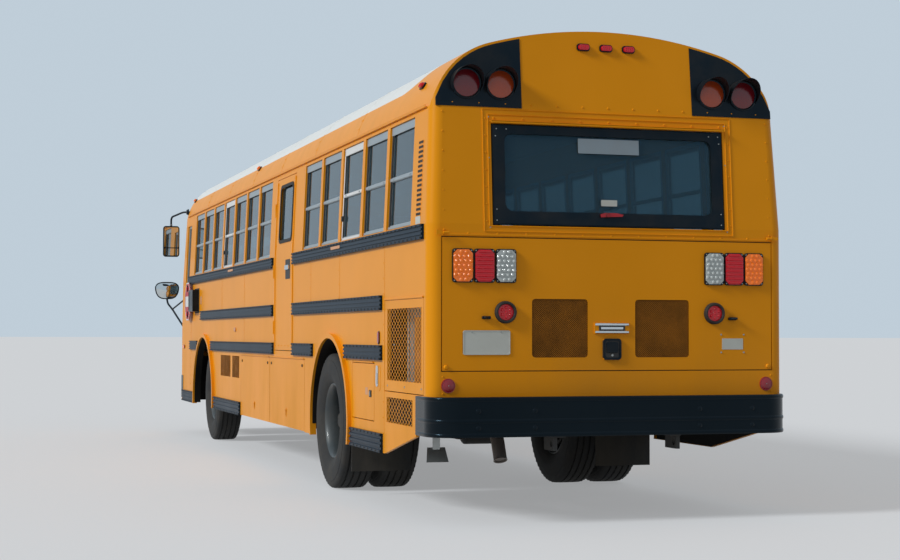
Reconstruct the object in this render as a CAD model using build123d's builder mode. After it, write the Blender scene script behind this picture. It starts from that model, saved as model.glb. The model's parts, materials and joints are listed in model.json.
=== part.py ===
"""A rear-engine school bus, 1:1, in millimetres.

x runs forward, y to the bus's left, z up from the road. Places along the bus are counted from the
engine door at the rear, and fwd() turns them into the model's x, whose zero is mid-way between the
rear bumper and the crossview mirrors.
"""

import os
from math import cos, radians, sin, sqrt

from build123d import *

# Body shell
BODY_WIDTH = 2438
HALF = BODY_WIDTH / 2
SKIRT_Z = 385
FLOOR_Z = 1040
FLOOR_T = 40
WINDSHIELD_Z = 1300
BELT_Z = 1880
EAVE_Z = 2600
SHOULDER_R = 550
CROWN_R = 2900
CROWN_DROP = 2355
WALL_T = 45
SKIRT_T = 20
DOOR_GAP = 6
REAR_POST_R = 75
FRONT_POST_R = 120
REAR_LEAN = 50
CAP_LEAN = 60
FRONT_LEAN = 150
FRONT_BOW = 120

# Bays along the side
WINDOW_PITCH = 686
FIRST_POST = 385
POST_W = 70
REAR_BAYS = 5
EXIT_BAYS = 2
FRONT_BAYS = 7
DRIVER_BAY = 941
LAST_POST = FIRST_POST + WINDOW_PITCH * (REAR_BAYS + EXIT_BAYS + FRONT_BAYS)
FRONT_CORNER = LAST_POST + DRIVER_BAY
FRONT_NOSE = FRONT_CORNER + FRONT_BOW
BAR_W = 30
WINDOW_TOP_Z = 2590
MID_RAIL_Z = 2230
FRAME_INSET = 16
FRAME_T = 28
PANE_INSET = 26
PANE_T = 5

# Axles and wheels
REAR_OVERHANG = 2800
FRONT_OVERHANG = 1830
REAR_AXLE = REAR_OVERHANG
FRONT_AXLE = FRONT_CORNER - FRONT_OVERHANG
TYRE_R = 521
TYRE_W = 280
RIM_R = 286
RIM_W = 210
DUAL_SPACING = 330
TYRE_SIDE_GAP = 9
FRONT_TYRE_TUCK = 80
HUB_Z = TYRE_R
KINGPIN_TUCK = 130

# Wheel arches
REAR_ARCH_R = 630
REAR_ARCH = REAR_AXLE - 120
REAR_ARCH_Z = 530
FRONT_ARCH_R = 700
FRONT_ARCH = FRONT_AXLE
FRONT_ARCH_Z = 456
FLARE_W = 35
FLARE_T = 30

# Bumpers and mirrors set the length of the whole
REAR_BUMPER = 120
REAR_BUMPER_WRAP = 273
REAR_BUMPER_Z = (555, 800)
FRONT_BUMPER = 130
FRONT_BUMPER_Z = (420, 690)
BUMPER_T = 12
CROSSVIEW_AHEAD = 450
CROSSVIEW_W = 290
CROSSVIEW_H = 210
CROSSVIEW_T = 90
CROSSVIEW_Y = HALF + 120
CROSSVIEW_Z = 1740

REAR_END = -REAR_BUMPER
FRONT_END = FRONT_NOSE + CROSSVIEW_AHEAD
MID = (REAR_END + FRONT_END) / 2

# Frame and running gear
RAIL_Y = 430
RAIL_FLANGE = 76
RAIL_T = 8
RAIL_Z = (680, 930)
RAIL_START = REAR_POST_R + 5
RAIL_END = FRONT_NOSE - 110

# Roof: the caps at each end are pieces of their own
CAP_REAR = 620
CAP_FRONT = FRONT_CORNER - 560
HATCH = 620
HATCH_CURB = 55


def fwd(x):
    """The model's x of a place counted from the engine door."""
    return x - MID


def circle_z(y, radius, across, up):
    """Height of a circle about (across, up) at y."""
    return up + sqrt(radius**2 - (y - across) ** 2)


# The shoulder arc meets the crown arc in tangency
SHOULDER_Y = HALF - 574
APEX_Z = circle_z(0, CROWN_R, 0, EAVE_Z - CROWN_DROP + 5)
CROWN_Z = APEX_Z - CROWN_R
SHOULDER_Z = CROWN_Z + sqrt((CROWN_R - SHOULDER_R) ** 2 - SHOULDER_Y**2)
EAVE_Y = SHOULDER_Y + sqrt(SHOULDER_R**2 - (EAVE_Z - SHOULDER_Z) ** 2)


def side_y(z):
    """Half width of the body at a height."""
    return HALF - max(0, z - BELT_Z) * (HALF - EAVE_Y) / (EAVE_Z - BELT_Z)


def rear_x(z):
    """Place of the rear face at a height."""
    above_eave = max(0, z - EAVE_Z) * CAP_LEAN / (APEX_Z - EAVE_Z)
    return max(0, min(z, EAVE_Z) - BELT_Z) * REAR_LEAN / (EAVE_Z - BELT_Z) + above_eave


def corner_x(z):
    """Place of the front corner at a height."""
    return FRONT_CORNER - max(0, z - WINDSHIELD_Z) * FRONT_LEAN / (EAVE_Z - WINDSHIELD_Z)


def block(x, y, z, mode=Mode.ADD):
    """A box between (low, high) pairs, x counted from the engine door."""
    with Locations((fwd((x[0] + x[1]) / 2), (y[0] + y[1]) / 2, (z[0] + z[1]) / 2)):
        Box(x[1] - x[0], y[1] - y[0], z[1] - z[0], mode=mode)


def plan_outline(z, inset, half_width):
    """The body seen from above at a height, its walls moved in by inset."""
    back = fwd(rear_x(z)) + inset
    front = fwd(corner_x(z)) - inset
    half = half_width - inset
    with BuildSketch(Plane.XY.offset(z)) as outline:
        with BuildLine():
            Polyline((front, half), (back, half), (back, -half), (front, -half))
            ThreePointArc((front, -half), (front + FRONT_BOW, 0), (front, half))
        make_face()
        corners = outline.vertices().sort_by(Axis.X)
        fillet(corners[:2], REAR_POST_R - inset)
        fillet(corners[2:], FRONT_POST_R - inset)
    return outline.sketch


def envelope(inset):
    """The body below the eaves as a solid, its walls moved in by inset."""
    with BuildPart() as body:
        heights = (SKIRT_Z, WINDSHIELD_Z, BELT_Z, EAVE_Z)
        loft([plan_outline(z, inset, side_y(z)) for z in heights], ruled=True)
    return body.part


def roof_envelope(inset):
    """The roof above the eaves as a solid, moved in by inset."""
    edge = SHOULDER_Y + sqrt((SHOULDER_R - inset) ** 2 - (EAVE_Z - SHOULDER_Z) ** 2)
    shrink = (CROWN_R - inset) / (CROWN_R - SHOULDER_R)
    joint = (SHOULDER_Y * shrink, CROWN_Z + (SHOULDER_Z - CROWN_Z) * shrink)
    bisect = radians(35)
    elbow = SHOULDER_R - inset
    mid = (SHOULDER_Y + elbow * cos(bisect), SHOULDER_Z + elbow * sin(bisect))
    with BuildPart() as roof:
        with BuildSketch(Plane.YZ.offset(fwd(-10))) as section:
            with BuildLine():
                Line((-edge, EAVE_Z), (edge, EAVE_Z))
                ThreePointArc((edge, EAVE_Z), mid, joint)
                ThreePointArc(joint, (0, APEX_Z - inset), (-joint[0], joint[1]))
                ThreePointArc((-joint[0], joint[1]), (-mid[0], mid[1]), (-edge, EAVE_Z))
            make_face()
        extrude(section.sketch, FRONT_NOSE + 20)
        with BuildPart(mode=Mode.PRIVATE) as ends:
            heights = (EAVE_Z, APEX_Z + 60)
            loft([plan_outline(z, inset, EAVE_Y) for z in heights], ruled=True)
        add(ends.part, mode=Mode.INTERSECT)
    return roof.part


SKIN = envelope(0)
CABIN = envelope(WALL_T)
SKIRT_INSIDE = envelope(SKIRT_T)
LAYERS = {0: SKIN, WALL_T: CABIN, SKIRT_T: SKIRT_INSIDE}


def layer(outer, inner):
    """The part of the body walls between two depths below the skin."""
    for depth in (outer, inner):
        if depth not in LAYERS:
            LAYERS[depth] = envelope(depth)
    with BuildPart() as walls:
        add(LAYERS[outer])
        add(LAYERS[inner], mode=Mode.SUBTRACT)
    return walls.part


def side_shape(outlines, sign, holes=()):
    """Prisms across one side of the body from (x0, x1, z0, z1) outlines, less their holes."""
    with BuildPart() as prisms:
        with BuildSketch(Plane.XZ.offset(-sign * (HALF - 200))) as openings:
            for rectangles, mode in ((outlines, Mode.ADD), (holes, Mode.SUBTRACT)):
                for x0, x1, z0, z1 in rectangles:
                    with Locations((fwd((x0 + x1) / 2), (z0 + z1) / 2)):
                        Rectangle(x1 - x0, z1 - z0, mode=mode)
        extrude(openings.sketch, -sign * 260)
    return prisms.part


def cut_layer(outer, inner, outlines, sign, holes=()):
    """Wall pieces between two depths, as wide and high as their outlines."""
    with BuildPart() as piece:
        add(layer(outer, inner))
        add(side_shape(outlines, sign, holes), mode=Mode.INTERSECT)
    return piece.part


def shrink(outline, gap):
    """An outline with a gap taken off every edge."""
    x0, x1, z0, z1 = outline
    return (x0 + gap, x1 - gap, z0 + gap, z1 - gap)


def post(bay):
    """Place of a window post, counted from the rear."""
    return FIRST_POST + WINDOW_PITCH * bay


def window(bay):
    """Outline of the opening ahead of a window post."""
    return (post(bay) + POST_W / 2, post(bay + 1) - POST_W / 2, BELT_Z + 10, WINDOW_TOP_Z)


def save(part, name):
    """Label a finished piece and write it."""
    part.label = name
    export_step(part, f"parts/{name}.step")


os.makedirs("parts", exist_ok=True)

ALL_BAYS = REAR_BAYS + EXIT_BAYS + FRONT_BAYS
LEFT_BAYS = [*range(REAR_BAYS), *range(REAR_BAYS + EXIT_BAYS, ALL_BAYS)]
RIGHT_BAYS = list(range(ALL_BAYS))

# Doors in the sides: x0, x1, z0, z1
EXIT_DOOR_X = post(REAR_BAYS) + 337
EXIT_DOOR = (EXIT_DOOR_X, EXIT_DOOR_X + 821, 1045, 2575)
EXIT_PANE = (EXIT_DOOR_X + 98, EXIT_DOOR_X + 648, 2005, 2500)
ENTRY_DOOR = (LAST_POST + 12, LAST_POST + 682, 400, 2400)
LUGGAGE_W = 1525
LUGGAGE_Z = (SKIRT_Z, 985)
LUGGAGE_X = REAR_ARCH + 980
LUGGAGE_REAR = (LUGGAGE_X, LUGGAGE_X + LUGGAGE_W, *LUGGAGE_Z)
LUGGAGE_FRONT = (LUGGAGE_X + LUGGAGE_W, LUGGAGE_X + 2 * LUGGAGE_W, *LUGGAGE_Z)
ENGINE_SIDE = (100, 1060, 805, 1422)
BATTERY_FRONT = REAR_ARCH - REAR_ARCH_R - FLARE_W - 20
BATTERY = (BATTERY_FRONT - 655, BATTERY_FRONT, 585, 990)
DRIVER_PANE = (LAST_POST + 340, FRONT_CORNER - 290, 1730, 2500)
ENGINE_SCREEN = (158, 990, 883, 1359)
SKIRT_SCREEN = (360, 1000, 600, 768)
SIDE_VENTS = [
    (LUGGAGE_FRONT[1] + 100, LUGGAGE_FRONT[1] + 510, 753, 971),
    (LUGGAGE_FRONT[1] + 630, LUGGAGE_FRONT[1] + 1240, 753, 971),
]

# Doors and windows in the rear: y half width, z0, z1
ENGINE_DOOR = (HALF - 83, 957, 1800)
REAR_EXIT = (HALF - 419, 1873, 2520)
REAR_PANE = (HALF - 449, 1908, 2485)

# Side walls
ARCHES = ((REAR_ARCH, REAR_ARCH_Z, REAR_ARCH_R), (FRONT_ARCH, FRONT_ARCH_Z, FRONT_ARCH_R))
REAR_CUT = ((-50, 0), (1048, 0), (1048, SKIRT_Z), (REAR_BUMPER_WRAP, 541))
REAR_CUT = (*REAR_CUT, (REAR_BUMPER_WRAP, REAR_BUMPER_Z[1]), (-50, REAR_BUMPER_Z[1]))


def side_region(sign):
    """The side as a prism between the corner posts, cut up at the rear of the skirt."""
    ahead = [(corner_x(z) - FRONT_POST_R, z) for z in (SKIRT_Z, WINDSHIELD_Z, EAVE_Z)]
    behind = [(rear_x(z) + REAR_POST_R, z) for z in (EAVE_Z, BELT_Z, SKIRT_Z)]
    with BuildPart() as region:
        with BuildSketch(Plane.XZ.offset(-sign * (HALF - 180))) as side:
            Polygon(*[(fwd(x), z) for x, z in ahead + behind], align=None)
            Polygon(*[(fwd(x), z) for x, z in REAR_CUT], align=None, mode=Mode.SUBTRACT)
        extrude(side.sketch, -sign * 230)
    return region.part


def arch_prism(x, z, radius, depth, sign):
    """A round prism for a wheel arch, reaching out past the skin by depth."""
    with BuildPart() as prism:
        with BuildSketch(Plane.XZ.offset(-sign * (HALF - 400))) as disc:
            with Locations((fwd(x), z)):
                Circle(radius)
        extrude(disc.sketch, -sign * (400 + depth))
    return prism.part


def side_wall(sign, bays, doors):
    """One side from the skirt to the eaves, with its windows, doors and arches open."""
    with BuildPart() as wall:
        add(layer(0, WALL_T))
        with BuildPart(mode=Mode.PRIVATE) as below:
            add(layer(SKIRT_T, WALL_T))
            block((-200, FRONT_END), (-HALF, HALF), (0, FLOOR_Z - FLOOR_T), Mode.INTERSECT)
        add(below.part, mode=Mode.SUBTRACT)
        add(side_region(sign), mode=Mode.INTERSECT)
        add(side_shape([window(bay) for bay in bays] + doors, sign), mode=Mode.SUBTRACT)
        for x, z, radius in ARCHES:
            with BuildPart(mode=Mode.PRIVATE) as flare:
                add(arch_prism(x, z, radius + FLARE_W, FLARE_T, sign))
                block((0, FRONT_END), (-HALF - 99, HALF + 99), (-999, SKIRT_Z), Mode.SUBTRACT)
                inner = sorted((0, sign * (HALF - SKIRT_T)))
                block((0, FRONT_END), inner, (0, EAVE_Z), Mode.SUBTRACT)
            add(flare.part)
            add(arch_prism(x, z, radius, FLARE_T + 10, sign), mode=Mode.SUBTRACT)
    return wall.part


LEFT_DOORS = [EXIT_DOOR, LUGGAGE_REAR, LUGGAGE_FRONT, ENGINE_SIDE, BATTERY, DRIVER_PANE, *SIDE_VENTS]
LEFT_DOORS.append(SKIRT_SCREEN)
RIGHT_DOORS = [(*ENTRY_DOOR[:2], SKIRT_Z - 10, ENTRY_DOOR[3]), LUGGAGE_REAR, LUGGAGE_FRONT, *SIDE_VENTS]

# Stop arm: its hinge and the housing behind it, which belongs to the left wall
ARM_HINGE = (LAST_POST - 89, HALF + 40)
ARM_Z = 1580
ARM_ACROSS = 450
ARM_LEAF = 60
HOUSING_L = 330
HOUSING_OUT = 72
with BuildPart() as left_wall:
    add(side_wall(1, LEFT_BAYS, LEFT_DOORS))
    housing_end = ARM_HINGE[0] - 22
    block((housing_end - HOUSING_L, housing_end), (HALF - 5, HALF + HOUSING_OUT), (ARM_Z - 125, ARM_Z + 125))
    for z in ((ARM_Z - ARM_LEAF - 24, ARM_Z - ARM_LEAF - 6), (ARM_Z + ARM_LEAF + 6, ARM_Z + ARM_LEAF + 24)):
        block((housing_end - 5, ARM_HINGE[0] + 14), (HALF - 5, ARM_HINGE[1] + 14), z)
save(left_wall.part, "left_side_wall")
save(side_wall(-1, RIGHT_BAYS, RIGHT_DOORS), "right_side_wall")

# Window frames and panes, both sides
with BuildPart() as window_frames:
    for sign, bays in ((1, LEFT_BAYS), (-1, RIGHT_BAYS)):
        outlines = [window(bay) for bay in bays]
        panes = []
        for x0, x1, z0, z1 in outlines:
            panes.append((x0 + BAR_W, x1 - BAR_W, z0 + BAR_W, MID_RAIL_Z - BAR_W / 2))
            panes.append((x0 + BAR_W, x1 - BAR_W, MID_RAIL_Z + BAR_W / 2, z1 - BAR_W))
        if sign == 1:
            outlines.append(DRIVER_PANE)
            panes.append(shrink(DRIVER_PANE, BAR_W))
        add(cut_layer(FRAME_INSET, FRAME_INSET + FRAME_T, outlines, sign, panes))
save(window_frames.part, "window_frames")

with BuildPart() as window_glass:
    for sign, bays in ((1, LEFT_BAYS), (-1, RIGHT_BAYS)):
        panes = []
        for x0, x1, z0, z1 in [window(bay) for bay in bays]:
            panes.append((x0 + BAR_W, x1 - BAR_W, z0 + BAR_W, MID_RAIL_Z - BAR_W / 2))
            panes.append((x0 + BAR_W, x1 - BAR_W, MID_RAIL_Z + BAR_W / 2, z1 - BAR_W))
        if sign == 1:
            panes.append(shrink(DRIVER_PANE, BAR_W))
        add(cut_layer(PANE_INSET, PANE_INSET + PANE_T, panes, sign))
save(window_glass.part, "window_glass")

# Rear wall with its corner posts, from the bumper to the eaves
with BuildPart() as rear_wall:
    add(layer(0, WALL_T))
    behind = [(rear_x(z) + REAR_POST_R, z) for z in (EAVE_Z, BELT_Z, REAR_BUMPER_Z[1])]
    outline = [(-50, REAR_BUMPER_Z[1]), (-50, EAVE_Z), *behind]
    with BuildPart(mode=Mode.PRIVATE) as posts:
        with BuildSketch(Plane.XZ) as side:
            Polygon(*[(fwd(x), z) for x, z in outline], align=None)
        extrude(side.sketch, HALF + 50, both=True)
    add(posts.part, mode=Mode.INTERSECT)
    for half, z0, z1 in (ENGINE_DOOR, REAR_EXIT):
        block((-10, REAR_POST_R + 60), (-half, half), (z0, z1), Mode.SUBTRACT)
save(rear_wall.part, "rear_wall")


def rear_panel(outer, inner, half, z0, z1):
    """A flat piece of the rear face between two depths."""
    with BuildPart() as panel:
        add(layer(outer, inner))
        block((-10, REAR_POST_R + 40), (-half, half), (z0, z1), Mode.INTERSECT)
    return panel.part


with BuildPart() as engine_door:
    half, z0, z1 = ENGINE_DOOR
    add(rear_panel(0, 30, half - DOOR_GAP, z0 + DOOR_GAP, z1 - DOOR_GAP))
    for side in (-1, 1):
        y = side * 351
        block((-5, 40), (y - 194, y + 194), (1038, 1420), Mode.SUBTRACT)
    block((-8, 0), (-120, 120), (1195, 1265))
    block((-10, 0), (-58, 58), (1032, 1161))
save(engine_door.part, "engine_door")

with BuildPart() as rear_exit_window:
    half, z0, z1 = REAR_EXIT
    add(rear_panel(0, 35, half - DOOR_GAP, z0 + DOOR_GAP, z1 - DOOR_GAP))
    half, z0, z1 = REAR_PANE
    block((-20, REAR_POST_R + 60), (-half, half), (z0, z1), Mode.SUBTRACT)
save(rear_exit_window.part, "rear_exit_window")
save(rear_panel(12, 18, *REAR_PANE), "rear_exit_glass")

# Front wall with its pillars and windshield
WINDSHIELD = (HALF - 130, 1340, 2480)
with BuildPart() as front_wall:
    add(layer(0, WALL_T))
    split = [(corner_x(z) - FRONT_POST_R, z) for z in (EAVE_Z, WINDSHIELD_Z, SKIRT_Z)]
    outline = [(FRONT_NOSE + 50, SKIRT_Z), (FRONT_NOSE + 50, EAVE_Z), *split]
    with BuildPart(mode=Mode.PRIVATE) as ahead:
        with BuildSketch(Plane.XZ) as side:
            Polygon(*[(fwd(x), z) for x, z in outline], align=None)
        extrude(side.sketch, HALF + 50, both=True)
    add(ahead.part, mode=Mode.INTERSECT)
    half, z0, z1 = WINDSHIELD
    block((FRONT_CORNER - 260, FRONT_NOSE + 60), (-half, half), (z0, z1), Mode.SUBTRACT)
    behind_bumper = (SKIRT_Z, FRONT_BUMPER_Z[1])
    block((FRONT_CORNER - 60, FRONT_NOSE + 60), (-600, 600), behind_bumper, Mode.SUBTRACT)
save(front_wall.part, "front_wall")

with BuildPart() as windshield:
    add(layer(15, 21))
    half, z0, z1 = WINDSHIELD
    block((FRONT_CORNER - 260, FRONT_NOSE + 60), (-half, half), (z0, z1), Mode.INTERSECT)
    block((FRONT_CORNER - 260, FRONT_NOSE + 60), (-10, 10), (z0, z1), Mode.SUBTRACT)
save(windshield.part, "windshield")

# Roof and its two caps
ROOF_SKIN = roof_envelope(0)
ROOF_INSIDE = roof_envelope(WALL_T)
HATCHES = (post(3), post(10))


def roof_piece(x0, x1):
    """The hollow roof between two places along the bus."""
    with BuildPart() as piece:
        add(ROOF_SKIN)
        add(ROOF_INSIDE, mode=Mode.SUBTRACT)
        block((x0, x1), (-HALF, HALF), (EAVE_Z, APEX_Z + 60), Mode.INTERSECT)
    return piece.part


save(roof_piece(-20, CAP_REAR), "rear_roof_cap")
save(roof_piece(CAP_FRONT, FRONT_END), "front_roof_cap")
CURB_T = 25
CURB_TOP = APEX_Z + HATCH_CURB
with BuildPart() as roof_shell:
    add(roof_piece(CAP_REAR, CAP_FRONT))
    for x in HATCHES:
        half = HATCH / 2
        block((x - half, x + half), (-half, half), (APEX_Z - 20, CURB_TOP))
        half -= CURB_T
        block((x - half, x + half), (-half, half), (APEX_Z - 100, CURB_TOP), Mode.SUBTRACT)
save(roof_shell.part, "roof_shell")
LID_Z = CURB_TOP + DOOR_GAP
LID_T = 30
for name, x in zip(("rear_roof_hatch", "front_roof_hatch"), HATCHES):
    with BuildPart() as lid:
        half = HATCH / 2 + 15
        block((x - half, x + half), (-half, half), (LID_Z, LID_Z + LID_T))
        fillet(lid.edges().filter_by(Axis.Z), 60)
        chamfer(lid.faces().sort_by(Axis.Z)[-1].edges(), 12)
    save(lid.part, name)

# Floor: plate, sills on the frame, wheel housings, engine cover and entry steps
HOUSING_Y = HALF - 729
HOUSINGS = (
    # place, half length, top
    (REAR_AXLE - 60, 700, 1215),
    (FRONT_AXLE, 730, 1215),
)
ENGINE_COVER = (1150, 1840)
COVER_T = 20
STEP_X = (ENTRY_DOOR[0] - 15, ENTRY_DOOR[1] + 15)
STEPS = 3
TREAD = 230
STEP_OUT = -(HALF - WALL_T - 5)
STEP_Y = STEP_OUT + STEPS * TREAD
RISE = (FLOOR_Z - SKIRT_Z - COVER_T) / STEPS
STEP_GAP = 1
with BuildPart() as floor_deck:
    add(CABIN)
    floor_z = (FLOOR_Z - FLOOR_T, FLOOR_Z)
    block((ENGINE_COVER[0] + COVER_T, FRONT_END), (-HALF, HALF), floor_z, Mode.INTERSECT)
    for bay in range(2, ALL_BAYS):
        x = post(bay)
        near = [abs(x - place) < half + 80 for place, half, top in HOUSINGS]
        if not any(near) and x + 30 < STEP_X[0]:
            block((x - 30, x + 30), (-HALF + 60, HALF - 60), (RAIL_Z[1], FLOOR_Z - FLOOR_T))
    for place, half, top in HOUSINGS:
        for side in (-1, 1):
            ys = sorted((side * HOUSING_Y, side * HALF))
            block((place - half, place + half), ys, (FLOOR_Z - FLOOR_T, FLOOR_Z), Mode.SUBTRACT)
    well_x = (STEP_X[0] - COVER_T - STEP_GAP, STEP_X[1] + COVER_T + STEP_GAP)
    block(well_x, (-HALF, STEP_Y + COVER_T), floor_z, Mode.SUBTRACT)
save(floor_deck.part, "floor_deck")

with BuildPart() as floor_covers:
    for place, half, top in HOUSINGS:
        for side in (-1, 1):
            ys = sorted((side * HOUSING_Y, side * (HALF - WALL_T)))
            block((place - half, place + half), ys, (FLOOR_Z - FLOOR_T, top))
            ys = sorted((side * (HOUSING_Y + COVER_T), side * (HALF - WALL_T)))
            x_in = (place - half + COVER_T, place + half - COVER_T)
            block(x_in, ys, (FLOOR_Z - FLOOR_T - 10, top - COVER_T), Mode.SUBTRACT)
    with BuildPart(mode=Mode.PRIVATE) as cover:
        add(CABIN)
        z_cover = (FLOOR_Z - FLOOR_T, ENGINE_COVER[1])
        block((0, ENGINE_COVER[0] + COVER_T), (-HALF, HALF), z_cover, Mode.INTERSECT)
        block((0, ENGINE_COVER[0]), (-HALF, HALF), (0, ENGINE_COVER[1] - COVER_T), Mode.SUBTRACT)
    add(cover.part)
save(floor_covers.part, "floor_covers")

with BuildPart() as entry_steps:
    for side_x in (STEP_X[0] - COVER_T - STEP_GAP, STEP_X[1] + STEP_GAP):
        block((side_x, side_x + COVER_T), (STEP_OUT, STEP_Y + COVER_T), (SKIRT_Z, FLOOR_Z))
    for step in range(STEPS):
        y = STEP_OUT + step * TREAD
        z = SKIRT_Z + step * RISE
        block(STEP_X, (y, y + TREAD + COVER_T), (z, z + COVER_T))
        block(STEP_X, (y + TREAD, y + TREAD + COVER_T), (z, z + RISE + COVER_T))
save(entry_steps.part, "entry_steps")

# Rub rails: x0, x1, z0, z1 for each side
RAIL_PROUD = 22
SKIRT_RAIL = (SKIRT_Z, 515)
FLOOR_RAIL = (1013, 1115)
SEAT_RAIL = (1355, 1455)
BELT_RAIL = (1785, BELT_Z)
ARCH_CLEAR = 20
REAR_HALF_LOW = REAR_ARCH_R + FLARE_W + ARCH_CLEAR - 15
FLOOR_REAR_REACH = sqrt((REAR_ARCH_R + FLARE_W) ** 2 - (FLOOR_RAIL[0] - REAR_ARCH_Z) ** 2) + ARCH_CLEAR
FLOOR_FRONT_REACH = sqrt((FRONT_ARCH_R + FLARE_W) ** 2 - (FLOOR_RAIL[0] - FRONT_ARCH_Z) ** 2) + ARCH_CLEAR
FRONT_HALF_LOW = FRONT_ARCH_R + FLARE_W + ARCH_CLEAR
DOOR_CLEAR = 25
BOTH_RAILS = [
    (1100, REAR_ARCH - REAR_HALF_LOW - 10, *SKIRT_RAIL),
    (LUGGAGE_FRONT[1] + 10, FRONT_ARCH - FRONT_HALF_LOW, *SKIRT_RAIL),
    (1120, REAR_ARCH - FLOOR_REAR_REACH, *FLOOR_RAIL),
]
LEFT_RAILS = [
    (FRONT_ARCH + FRONT_HALF_LOW, FRONT_CORNER - FRONT_POST_R - 5, *SKIRT_RAIL),
    (REAR_ARCH + FLOOR_REAR_REACH + 180, EXIT_DOOR[0] - DOOR_CLEAR, *FLOOR_RAIL),
    (EXIT_DOOR[1] + DOOR_CLEAR, FRONT_ARCH - FLOOR_FRONT_REACH, *FLOOR_RAIL),
    (FRONT_ARCH + FLOOR_FRONT_REACH, LAST_POST + 210, *FLOOR_RAIL),
    (1125, EXIT_DOOR[0] - DOOR_CLEAR, *SEAT_RAIL),
    (EXIT_DOOR[1] + DOOR_CLEAR + 30, LAST_POST - 640, *SEAT_RAIL),
    (100, EXIT_DOOR[0] - DOOR_CLEAR, *BELT_RAIL),
    (EXIT_DOOR[1] + DOOR_CLEAR + 30, LAST_POST + 280, *BELT_RAIL),
]
RIGHT_RAILS = [
    (REAR_ARCH + FLOOR_REAR_REACH + 180, FRONT_ARCH - FLOOR_FRONT_REACH, *FLOOR_RAIL),
    (1125, ENTRY_DOOR[0] - DOOR_CLEAR - 60, *SEAT_RAIL),
    (100, ENTRY_DOOR[0] - DOOR_CLEAR - 60, *BELT_RAIL),
]
RIBS = 3
RIB_DEPTH = 8
with BuildPart() as rub_rails:
    for sign, rails in ((1, BOTH_RAILS + LEFT_RAILS), (-1, BOTH_RAILS + RIGHT_RAILS)):
        for x0, x1, z0, z1 in rails:
            rib = (z1 - z0) / (2 * RIBS + 1)
            foot = sign * HALF
            low = sign * (HALF + RAIL_PROUD - RIB_DEPTH)
            high = sign * (HALF + RAIL_PROUD)
            section = [(foot, z1), (foot, z0)]
            for k in range(RIBS + 1):
                z = z0 + 2 * k * rib
                section += [(high, z), (high, z + rib)]
                if k < RIBS:
                    section += [(low, z + rib), (low, z + 2 * rib)]
            with BuildSketch(Plane.YZ.offset(fwd(x0))) as rail:
                Polygon(*section, align=None)
            extrude(rail.sketch, x1 - x0)
save(rub_rails.part, "rub_rails")

# Bumpers
with BuildPart() as rear_bumper:
    half = HALF + 5
    with BuildSketch(Plane.XY.offset(REAR_BUMPER_Z[0])) as outline:
        with BuildLine():
            back = fwd(REAR_END)
            front = fwd(REAR_BUMPER_WRAP)
            Polyline((front, half), (back, half), (back, -half), (front, -half), close=True)
        make_face()
        fillet(outline.vertices().sort_by(Axis.X)[:2], 190)
    extrude(outline.sketch, REAR_BUMPER_Z[1] - REAR_BUMPER_Z[0])
    with BuildSketch(Plane.XY.offset(REAR_BUMPER_Z[0])) as cavity:
        offset(outline.sketch, -BUMPER_T)
        with Locations((front, 0)):
            Rectangle(2 * BUMPER_T + 8, 2 * (half - BUMPER_T))
    extrude(cavity.sketch, REAR_BUMPER_Z[1] - REAR_BUMPER_Z[0] - BUMPER_T, mode=Mode.SUBTRACT)
    block((REAR_BUMPER_WRAP - 40, REAR_BUMPER_WRAP + 10), (-HALF + 10, HALF - 10), (500, 900), Mode.SUBTRACT)
    block((REAR_POST_R, REAR_BUMPER_WRAP), (-HALF + 20, HALF - 20), (700, 900), Mode.SUBTRACT)
save(rear_bumper.part, "rear_bumper")

with BuildPart() as front_bumper:
    half = HALF + 6
    with BuildSketch(Plane.XY.offset(FRONT_BUMPER_Z[0])) as outline:
        back = fwd(FRONT_CORNER - FRONT_POST_R + 10)
        front = fwd(FRONT_CORNER) + FRONT_BUMPER
        with BuildLine():
            Polyline((front, half), (back, half), (back, -half), (front, -half))
            ThreePointArc((front, -half), (front + FRONT_BOW, 0), (front, half))
        make_face()
        fillet(outline.vertices().sort_by(Axis.X)[2:], 150)
    extrude(outline.sketch, FRONT_BUMPER_Z[1] - FRONT_BUMPER_Z[0])
    add(SKIN, mode=Mode.SUBTRACT)
save(front_bumper.part, "front_bumper")

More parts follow.
